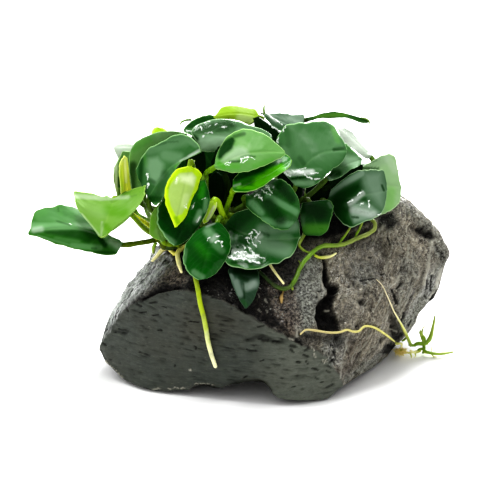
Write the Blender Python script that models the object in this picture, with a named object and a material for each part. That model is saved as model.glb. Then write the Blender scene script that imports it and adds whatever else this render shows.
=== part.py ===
"""Anubias on stone: a creeping water plant whose rhizome and roots grip a dark lava stone.

Every length is in millimetres until a mesh is made, and meshes are in metres, +Z up.
Points that are seen from the front are given on a sighting grid of 500 x 500 units, as (across, down, depth):
the sight line through that grid place is followed until it reaches the depth, which is the Y of the point.
"""

import math

import bmesh
import bpy
import numpy as np

# ------------------------------------------------------------------ driving sizes
UNIT = 0.43                 # mm per grid unit at the aim point
AIM = np.array([0.0, 0.0, 53.0])
SIGHT_ELEVATION = math.radians(22.0)
SIGHT_DISTANCE = 700.0
ORIGIN = np.array([-1.4, 6.2, 0.0])   # design place of the middle of the object's underside
GAP = 0.45                  # clear space between pieces that touch on the real plant

STONE_CENTRE = np.array([8.0, 2.0, 25.0])
STONE_STRETCH = np.array([1.55, 0.95, 0.72])
STONE_ROUNDING = 0.055      # radians over which an edge of the stone is worn round
STONE_SPREAD = 1.4          # mm that the corners stand out, so that the worn edges pass through the seen places
STONE_GRID = 13             # facets along each side of the six patches that cover the stone

BLADE_THICK = 0.9           # leaf blade
PETIOLE_R = 1.05            # leaf stalk, at the blade
PETIOLE_BASE_R = 1.35       # leaf stalk, at the rhizome
RHIZOME_R = 3.3

BLADE_RINGS = 6
STALK_RINGS = 4
RING_POINTS = 8
ROOT_SIDES = 5


# ------------------------------------------------------------------ sighting grid
FORWARD = np.array([0.0, math.cos(SIGHT_ELEVATION), -math.sin(SIGHT_ELEVATION)])
UPWARD = np.array([0.0, math.sin(SIGHT_ELEVATION), math.cos(SIGHT_ELEVATION)])
ACROSS = np.array([1.0, 0.0, 0.0])
EYE = AIM - FORWARD * SIGHT_DISTANCE


def ray(gx, gy):
    k = UNIT / SIGHT_DISTANCE
    return FORWARD + ACROSS * ((gx - 250.0) * k) - UPWARD * ((gy - 250.0) * k)


def sight(gx, gy, depth):
    """The point on the sight line through (gx, gy) whose Y is depth."""
    d = ray(gx, gy)
    return EYE + d * ((depth - EYE[1]) / d[1])


def unit(v):
    v = np.asarray(v, float)
    return v / max(1e-9, np.linalg.norm(v))


def seen(p):
    """Place of points on the sighting grid."""
    q = np.atleast_2d(p) - EYE
    far = q @ FORWARD
    k = UNIT / SIGHT_DISTANCE
    return np.stack([250 + q[:, 0] / far / k, 250 - (q @ UPWARD) / far / k], axis=1)


def enclosed(g, polygon):
    """Which places of the sighting grid the polygon encloses."""
    inside = np.zeros(len(g), bool)
    for a, b in zip(polygon, np.roll(polygon, -1, axis=0)):
        cross = (a[1] > g[:, 1]) != (b[1] > g[:, 1])
        at = (b[0] - a[0]) * (g[:, 1] - a[1]) / (b[1] - a[1] + 1e-12) + a[0]
        inside ^= cross & (g[:, 0] < at)
    return inside


# ------------------------------------------------------------------ smooth noise
def noise_table(seed):
    rng = np.random.RandomState(seed)
    return rng.permutation(256), rng.uniform(-1, 1, (256, 3))


def noise(p, size, seed=1):
    """Gradient noise in about -1..1 at the points p, with features of that size."""
    order, gradients = noise_table(seed)
    q = np.asarray(p, float) / size
    cell = np.floor(q).astype(int)
    f = q - cell
    w = f * f * f * (f * (f * 6 - 15) + 10)
    total = np.zeros(len(q))
    for dx in (0, 1):
        for dy in (0, 1):
            for dz in (0, 1):
                c = cell + (dx, dy, dz)
                h = order[(order[(order[c[:, 0] & 255] + c[:, 1]) & 255] + c[:, 2]) & 255]
                g = gradients[h]
                d = f - (dx, dy, dz)
                part = (g * d).sum(1)
                part *= np.where(dx, w[:, 0], 1 - w[:, 0])
                part *= np.where(dy, w[:, 1], 1 - w[:, 1])
                part *= np.where(dz, w[:, 2], 1 - w[:, 2])
                total += part
    return total * 1.4


# ------------------------------------------------------------------ stone
# Corners of the stone on the sighting grid, with their depth.
STONE_SEEN = [
    # outline of the broad smooth front face, from its left corner clockwise
    (99, 348, -11), (103, 335, -9), (118, 315, -12), (131, 303, -17), (160, 293, -23), (190, 289, -28),
    (227, 302, -33), (256, 320, -36), (289, 340, -39), (318, 351, -38), (335, 367, -35), (342, 384, -30),
    (329, 397.5, -35), (300, 400.5, -40), (281, 399.5, -41), (148, 391.5, -29), (129, 384, -22), (112, 370, -15),
    # left edge, further back
    (103, 333, 2), (113, 316, 6), (121, 298, 8), (129, 287, 9), (138, 278, 10), (148, 265, 10), (160, 248, 12),
    # shoulder under the plant
    (172, 256, -8), (205, 264, -20), (262, 280, -25), (322, 258, -5), (348, 232, 4), (382, 205, 18),
    # right edge, from the top to the floor
    (402, 196, 27), (413, 202, 27), (425, 213, 26), (436, 225, 24), (448, 240, 22), (454, 253, 20), (447, 262, 20),
    (443, 274, 21), (437, 292, 22), (425, 307, 21), (414, 321, 19), (408, 332, 16), (390, 350, 13), (380, 360, 3),
    (362, 370, -9), (345, 383, -25),
]
# Corners that the front hides, in millimetres.
STONE_HIDDEN = [
    (-52, 22, 4), (-48, 28, 30), (-35, 32, 46), (-22, 36, 58), (-10, 41, 63.5), (2, 44, 66.5), (23, 46, 68), (44, 45, 68),
    (58, 40, 67), (74, 36, 40),
    (64, 38, 6), (30, 47, 5), (-10, 45, 3), (-38, 34, 4),
    (-42, 24, 0), (-36, 30, 0), (0, 41, 0), (36, 43, 0), (56, 33, 0), (60, 20, 0), (40, -20, 0), (-36, -29, 0),
    (14, -40, 0), (30, -38, 0), (-48, -10, 0),
]


def stone_planes():
    bm = bmesh.new()
    for g in STONE_SEEN:
        p = sight(*g)
        p += unit((p - STONE_CENTRE) * (1, 0.6, 1)) * STONE_SPREAD
        p[2] = max(p[2], 0.0)
        bm.verts.new(p)
    for p in STONE_HIDDEN:
        bm.verts.new(p)
    bmesh.ops.convex_hull(bm, input=bm.verts)
    bm.normal_update()
    normals = np.array([f.normal[:] for f in bm.faces])
    centres = np.array([f.calc_center_median()[:] for f in bm.faces])
    bm.free()
    reach = ((centres - STONE_CENTRE) * normals).sum(1)
    keep = reach > 1.0
    return normals[keep], reach[keep]


NORMALS, REACHES = stone_planes()


def around(n_ring=6, rings=2):
    offsets = [(0.0, 0.0)]
    for r in range(1, rings + 1):
        for i in range(n_ring):
            a = 2 * math.pi * (i + 0.5 * r) / n_ring
            offsets.append((r / rings * math.cos(a), r / rings * math.sin(a)))
    return np.array(offsets)


def stone_radius(d):
    """Distance from the stone's centre to its worn surface in the unit directions d."""
    side = np.cross(d, (0.13, 0.27, 0.95))
    side /= np.linalg.norm(side, axis=1)[:, None]
    other = np.cross(d, side)
    total = np.zeros(len(d))
    offsets = around()
    for a, b in offsets:
        e = d + STONE_ROUNDING * (a * side + b * other)
        e /= np.linalg.norm(e, axis=1)[:, None]
        total += 1.0 / (e @ NORMALS.T / REACHES).max(1)
    return total / len(offsets)


ARCH_X = [-35, -26, -19, -12, -6, 0, 5, 8.5, 11, 13]
ARCH_Z = [0, 2.8, 4.2, 4.3, 6.7, 8.8, 8.2, 6.2, 2.5, 0]


def bump(p, centre, radius):
    d2 = ((p - centre) ** 2).sum(1) / radius ** 2
    return np.exp(-d2)


def stone_points(d):
    """Points of the stone's surface in the unit directions d, in millimetres."""
    r = stone_radius(d)
    p = STONE_CENTRE + d * r[:, None]
    push = 1.1 * noise(p, 21.0, 3) + 0.6 * noise(p, 9.0, 5)
    # two swellings either side of the split on the sloping right side, and the dip between them
    push += 2.0 * bump(p, sight(306, 305, -24), 11)
    push += 2.6 * bump(p, sight(356, 300, -14), 12)
    push -= 3.2 * bump(p, sight(331, 318, -22), 8)
    push -= 1.8 * bump(p, sight(326, 275, -10), 7)
    push -= 1.6 * bump(p, sight(424, 233, 20), 7)
    # the smooth front face is flatter than the rest
    front = np.clip((-d[:, 1] - 0.55) * 3, 0, 1) * np.clip((40 - p[:, 2]) / 10, 0, 1) * np.clip((36 - p[:, 0]) / 12, 0, 1)
    push *= 1 - 0.75 * front
    # the underside is worn flat
    low = np.clip((6.0 - p[:, 2]) / 4.0, 0, 1)
    push = push * (1 - low) + 1.0 * low
    p = p + d * push[:, None]
    # low hollow under the front, where the stone stands clear of the floor
    roof = np.interp(p[:, 0], ARCH_X, ARCH_Z) * np.clip((-4.0 - p[:, 1]) / 14.0, 0, 1)
    p[:, 2] = np.where(p[:, 2] < roof, roof, p[:, 2])
    p[:, 2] = np.maximum(p[:, 2], 0.0)
    return p


def stone_inside(p):
    q = np.atleast_2d(p) - STONE_CENTRE
    r = np.linalg.norm(q, axis=1)
    s = stone_points(q / np.maximum(r, 1e-6)[:, None])
    return np.linalg.norm(s - STONE_CENTRE, axis=1) - r


def on_stone(gx, gy, lift):
    """Where the sight line through (gx, gy) meets the stone, moved back toward the eye until it is clear by lift."""
    d = ray(gx, gy)
    steps = np.linspace(SIGHT_DISTANCE - 80, SIGHT_DISTANCE + 90, 341)
    line = EYE + d * steps[:, None]
    inside = stone_inside(line)
    hit = np.argmax(inside > 0)
    if inside[hit] <= 0:
        raise ValueError("no stone at %s, %s" % (gx, gy))
    lo, hi = steps[hit - 1], steps[hit]
    for _ in range(12):
        m = (lo + hi) / 2
        if stone_inside(EYE + d * m)[0] > 0:
            hi = m
        else:
            lo = m
    p = EYE + d * hi
    e = 1.5
    inward = unit([stone_inside(p + e * a)[0] - stone_inside(p - e * a)[0] for a in np.eye(3)])
    return p - unit(d) * lift / max(0.35, unit(d) @ inward)


def cube_sphere(n):
    """Directions and quads of a sphere in six square patches."""
    index, dirs, quads = {}, [], []

    def at(face, i, j):
        a, b = math.tan((i / n - 0.5) * math.pi / 2), math.tan((j / n - 0.5) * math.pi / 2)
        v = {0: (1, a, b), 1: (-1, -a, b), 2: (-a, 1, b), 3: (a, -1, b), 4: (-b, a, 1), 5: (b, a, -1)}[face]
        key = tuple(round(x, 6) for x in unit(v))
        if key not in index:
            index[key] = len(dirs)
            dirs.append(unit(v))
        return index[key]

    for face in range(6):
        for i in range(n):
            for j in range(n):
                quads.append((at(face, i, j), at(face, i + 1, j), at(face, i + 1, j + 1), at(face, i, j + 1)))
    return np.array(dirs), quads


# ------------------------------------------------------------------ tubes and leaves
def smooth_line(points, per_span):
    """A Catmull-Rom line through the points."""
    p = np.array(points, float)
    p = np.vstack([2 * p[0] - p[1], p, 2 * p[-1] - p[-2]])
    out = []
    for i in range(1, len(p) - 2):
        for k in range(per_span):
            t = k / per_span
            a, b, c, d = p[i - 1], p[i], p[i + 1], p[i + 2]
            out.append(0.5 * (2 * b + (c - a) * t + (2 * a - 5 * b + 4 * c - d) * t * t + (3 * b - a - 3 * c + d) * t ** 3))
    out.append(p[-2])
    return np.array(out)


def resample(line, n):
    along = np.concatenate([[0], np.cumsum(np.linalg.norm(np.diff(line, axis=0), axis=1))])
    at = np.linspace(0, along[-1], n)
    return np.stack([np.interp(at, along, line[:, k]) for k in range(3)], axis=1)


def tangents(line):
    t = np.gradient(line, axis=0)
    return t / np.linalg.norm(t, axis=1)[:, None]


def carried(side, t_from, t_to):
    """side turned by the least turn that takes t_from to t_to."""
    axis = np.cross(t_from, t_to)
    s, c = np.linalg.norm(axis), float(t_from @ t_to)
    if s < 1e-9:
        return side
    axis /= s
    a = math.atan2(s, c)
    return side * math.cos(a) + np.cross(axis, side) * math.sin(a) + axis * (axis @ side) * (1 - math.cos(a))


def tube_rings(line, radii, sides):
    t = tangents(line)
    side = unit(np.cross(t[0], (0.31, 0.17, 0.93)))
    rings = []
    for i, p in enumerate(line):
        if i:
            side = carried(side, t[i - 1], t[i])
        side = unit(side - t[i] * (side @ t[i]))
        up = np.cross(t[i], side)
        a = np.arange(sides) * 2 * math.pi / sides
        rings.append(p + radii[i] * (np.cos(a)[:, None] * side + np.sin(a)[:, None] * up))
    return rings


def bezier(p0, p1, p2, p3, n):
    t = np.linspace(0, 1, n)[:, None]
    return (1 - t) ** 3 * p0 + 3 * t * (1 - t) ** 2 * p1 + 3 * t * t * (1 - t) * p2 + t ** 3 * p3


class Leaf:
    """A leaf with its stalk. Base, mid, tip and the two sides are places of the blade on the sighting grid.

    edge, where it is given, is the margin of the blade on that grid."""

    def __init__(self, name, base, mid, tip, side_a, side_b, foot, rise=0.45, lead=0.4, base_round=0.5, tip_round=0.68,
                 fold=1.7, lobe=0.10, wave=0.5, under=False, r=PETIOLE_R, via=None, tone="mature", edge=None, coarse=False):
        self.name, self.tone, self.fold, self.lobe, self.wave, self.r, self.coarse = name, tone, fold, lobe, wave, r, coarse
        self.base, self.mid, self.tip = sight(*base), sight(*mid), sight(*tip)
        a, b = sight(*side_a), sight(*side_b)
        self.ctrl = 2 * self.mid - (self.base + self.tip) / 2
        self.ea, self.eb = base_round, tip_round
        self.wide = self.ea / (self.ea + self.eb)
        m = self.line(self.wide)
        facing = np.cross(b - a, self.tip - self.base) @ (EYE - m)
        if (facing < 0) != under:
            a, b = b, a
        self.va, self.vb = a - m, b - m
        self.half = (self.vb - self.va) / 2
        self.cup = (self.vb + self.va) / 2
        self.width = np.linalg.norm(self.half)
        self.length = np.linalg.norm(self.mid - self.base) + np.linalg.norm(self.tip - self.mid)
        self.t_wide = self.tangent(self.wide)
        self.reach = None if edge is None else self.reaches(np.array(edge, float))
        # stalk from the rhizome to the blade
        self.foot, out = foot
        back = -self.tangent(0.0)
        d = np.linalg.norm(self.base - self.foot)
        p1 = self.foot + (unit(out + np.array([0, 0, 0.8]))) * d * rise
        p2 = self.base + back * d * lead
        if via is None:
            self.stalk = bezier(self.foot, p1, p2, self.base, 40)
        else:
            pts = [self.foot] + [sight(*v) for v in via] + [self.base + back * 2.0, self.base]
            self.stalk = smooth_line(pts, 10)

    def line(self, s):
        return (1 - s) ** 2 * self.base + 2 * s * (1 - s) * self.ctrl + s * s * self.tip

    def tangent(self, s):
        return unit(2 * (1 - s) * (self.ctrl - self.base) + 2 * s * (self.tip - self.ctrl))

    def across(self, s):
        """The half width and the cup of the blade at s, turned to follow the midrib."""
        tan = self.tangent(s)
        return carried(self.half, self.t_wide, tan), carried(self.cup, self.t_wide, tan)

    def reaches(self, polygon):
        """How far the blade reaches to either side along its length, so that its margin is the polygon."""
        at = np.linspace(0, 1, 49)
        f = np.linspace(0, 2.4, 121)
        both = []
        for side in (-1, 1):
            reach = []
            for s in at:
                half, cup = self.across(s)
                inside = enclosed(seen(self.line(s) + f[:, None] * (side * half + cup)), polygon)
                start = int(np.argmax(inside))
                if not inside.any() or start > 8:
                    reach.append(0.0)
                else:
                    rest = inside[start:]
                    reach.append(f[-1] if rest.all() else f[start + int(np.argmin(rest)) - 1])
            both.append(np.convolve(np.pad(reach, 1, "edge"), (0.25, 0.5, 0.25), "valid"))
        return at, both[0], both[1]

    def outline(self, s, t):
        """The width of the blade at s, as a part of its greatest, on the side that t lies on."""
        if self.reach is not None:
            at, low, high = self.reach
            return np.where(t < 0, np.interp(s, at, low), np.interp(s, at, high))
        m = self.wide
        return (s / m) ** self.ea * ((1 - s) / (1 - m)) ** self.eb * np.ones_like(t)

    def ring(self, s, thetas, thick, rib):
        """One closed ring across the blade at s."""
        tan = self.tangent(s)
        half = carried(self.half, self.t_wide, tan)
        cup = carried(self.cup, self.t_wide, tan)
        side = unit(half - tan * (half @ tan))
        normal = unit(np.cross(side, tan))
        t = np.cos(thetas)
        k = np.sin(thetas)
        f = self.outline(min(max(s, 0.0), 1.0), t) * min(1.0, s / 0.02)
        least = self.r / self.width * max(0.0, 1 - s / 0.12) + 0.25 / self.width
        f = np.hypot(f, least)
        back = self.lobe * self.length * (np.abs(t) ** 2) * max(0.0, 1 - s / self.wide) ** 1.5 * min(1.0, s / 0.03)
        ripple = self.wave * np.abs(t) ** 3 * np.sin(9.0 * s + 2.0 * np.sign(t) + len(self.name)) * min(1.0, s * 4)
        centre = self.line(s)
        p = centre + f[:, None] * (half * t[:, None] + cup * (np.abs(t) ** self.fold)[:, None]) - tan * back[:, None] + normal * ripple[:, None]
        depth = np.where(k > 0, thick / 2, thick / 2 + rib * np.exp(-((t * f * self.width / max(self.r, 0.5)) ** 2)))
        return p + normal * (depth * k)[:, None]

    def rings(self, stalk_rings, blade_rings, points, thick):
        thetas = np.arange(points) * 2 * math.pi / points
        line = resample(self.stalk, stalk_rings + 1)
        t = tangents(line)
        tan0 = self.tangent(0.0)
        half = carried(self.half, self.t_wide, tan0)
        side = unit(half - tan0 * (half @ tan0))
        frames, last = [], tan0
        for i in range(stalk_rings, -1, -1):
            side = carried(side, last, t[i])
            side = unit(side - t[i] * (side @ t[i]))
            last = t[i]
            frames.append((line[i], side, np.cross(side, t[i])))
        frames.reverse()
        rings = []
        for i, (p, sd, up) in enumerate(frames[:-1]):
            u = i / stalk_rings
            r = PETIOLE_BASE_R * (1 - u) + self.r * u
            rings.append(p + r * (np.cos(thetas)[:, None] * sd + np.sin(thetas)[:, None] * up))
        for i in range(blade_rings + 1):
            s = (i / blade_rings) ** 1.15 * 0.985
            into = min(1.0, s / 0.10)
            th = 2 * self.r * (1 - into) + thick * into
            rib = (1 - s) * self.r * 0.7 * into
            rings.append(self.ring(max(s, 0.0), thetas, th, rib))
        return rings


# ------------------------------------------------------------------ meshes
def colour(name, rgb, roughness, coat=0.0):
    m = bpy.data.materials.new(name)
    m.use_nodes = True
    b = m.node_tree.nodes["Principled BSDF"]
    b.inputs["Base Color"].default_value = (*rgb, 1.0)
    b.inputs["Roughness"].default_value = roughness
    b.inputs["Metallic"].default_value = 0.0
    b.inputs["Coat Weight"].default_value = coat
    m.diffuse_color = (*rgb, 1.0)
    return m


def placed(p, pivot=(0, 0, 0)):
    """A design point in millimetres as metres from the pivot."""
    return (np.asarray(p, float) - ORIGIN - pivot) * 0.001


def add_object(name, bm, material, pivot=(0, 0, 0)):
    """Link the mesh as an object that stands at its pivot, under the empty that carries the whole plant."""
    bmesh.ops.recalc_face_normals(bm, faces=bm.faces)
    if bm.calc_volume(signed=True) < 0:
        bmesh.ops.reverse_faces(bm, faces=bm.faces)
    mesh = bpy.data.meshes.new(name)
    bm.to_mesh(mesh)
    bm.free()
    mesh.materials.append(material)
    mesh.shade_smooth()
    mesh.set_sharp_from_angle(angle=math.radians(40))
    o = bpy.data.objects.new(name, mesh)
    o.location = np.asarray(pivot, float) * 0.001
    o.parent = bpy.data.objects["anubias_on_stone"]
    bpy.context.scene.collection.objects.link(o)
    return o


def loft(name, rings, material):
    """A closed solid through rings of equal count; the object's pivot is where the first ring starts."""
    bm = bmesh.new()
    pivot = np.round(rings[0].mean(0) - ORIGIN, 2)
    rows = [[bm.verts.new(placed(p, pivot)) for p in ring] for ring in rings]
    n = len(rows[0])
    for a, b in zip(rows, rows[1:]):
        for i in range(n):
            bm.faces.new((a[i], a[(i + 1) % n], b[(i + 1) % n], b[i]))
    bm.faces.new(list(reversed(rows[0])))
    bm.faces.new(rows[-1])
    bmesh.ops.triangulate(bm, faces=bm.faces)
    return add_object(name, bm, material, pivot)


def build_stone(material):
    dirs, quads = cube_sphere(STONE_GRID)
    d = dirs * STONE_STRETCH
    d /= np.linalg.norm(d, axis=1)[:, None]
    pts = stone_points(d)
    bm = bmesh.new()
    verts = [bm.verts.new(placed(p)) for p in pts]
    for q in quads:
        bm.faces.new([verts[i] for i in q])
    bmesh.ops.triangulate(bm, faces=bm.faces)
    return add_object("stone", bm, material)


def build_root(name, points, radii, material, rings=10):
    line = resample(smooth_line(points, 8), rings)
    at = np.linspace(0, 1, rings)
    r = np.interp(at, np.linspace(0, 1, len(radii)), radii)
    return loft(name, tube_rings(line, r, ROOT_SIDES), material)


# ------------------------------------------------------------------ rhizome, the creeping stem
RHIZOME_MAIN = [(-37, -9), (-25, -5), (-11, -3), (3, 0), (15, 4)]
RHIZOME_BRANCH = [(22, 6), (30, 8.5), (38, 11.5), (46, 15)]


def stone_top(x, y):
    """Height of the stone's upper surface over the place (x, y)."""
    z = np.linspace(90, 20, 281)
    p = np.stack([np.full_like(z, x), np.full_like(z, y), z], axis=1)
    return z[int(np.argmax(stone_inside(p) > 0))]


def rhizome_line(points):
    """The creeping stem's centre line, laid over the high places of the stone."""
    flat = smooth_line([(x, y, 0.0) for x, y in points], 12)
    high = np.array([max(stone_top(x, y + dy) for dy in (-2.5, 0.0, 2.5)) for x, y, _ in flat])
    fit = np.polyfit(flat[:, 0], high, 2)
    line = np.polyval(fit, flat[:, 0])
    flat[:, 2] = line + (high - line).max() + RHIZOME_R + GAP + 0.4
    return flat


MAIN, BRANCH = rhizome_line(RHIZOME_MAIN), rhizome_line(RHIZOME_BRANCH)


def foot(which, u, out):
    """Where a stalk leaves the rhizome: its place u along it, and the way that it leaves."""
    line = MAIN if which == "main" else BRANCH
    at = resample(line, 101)[int(round(u * 100))]
    t = tangents(resample(line, 101))[int(round(u * 100))]
    o = np.array(out, float)
    o = unit(o - t * (o @ t))
    return at + o * (RHIZOME_R * 1.05 + GAP + 0.75), o


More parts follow.
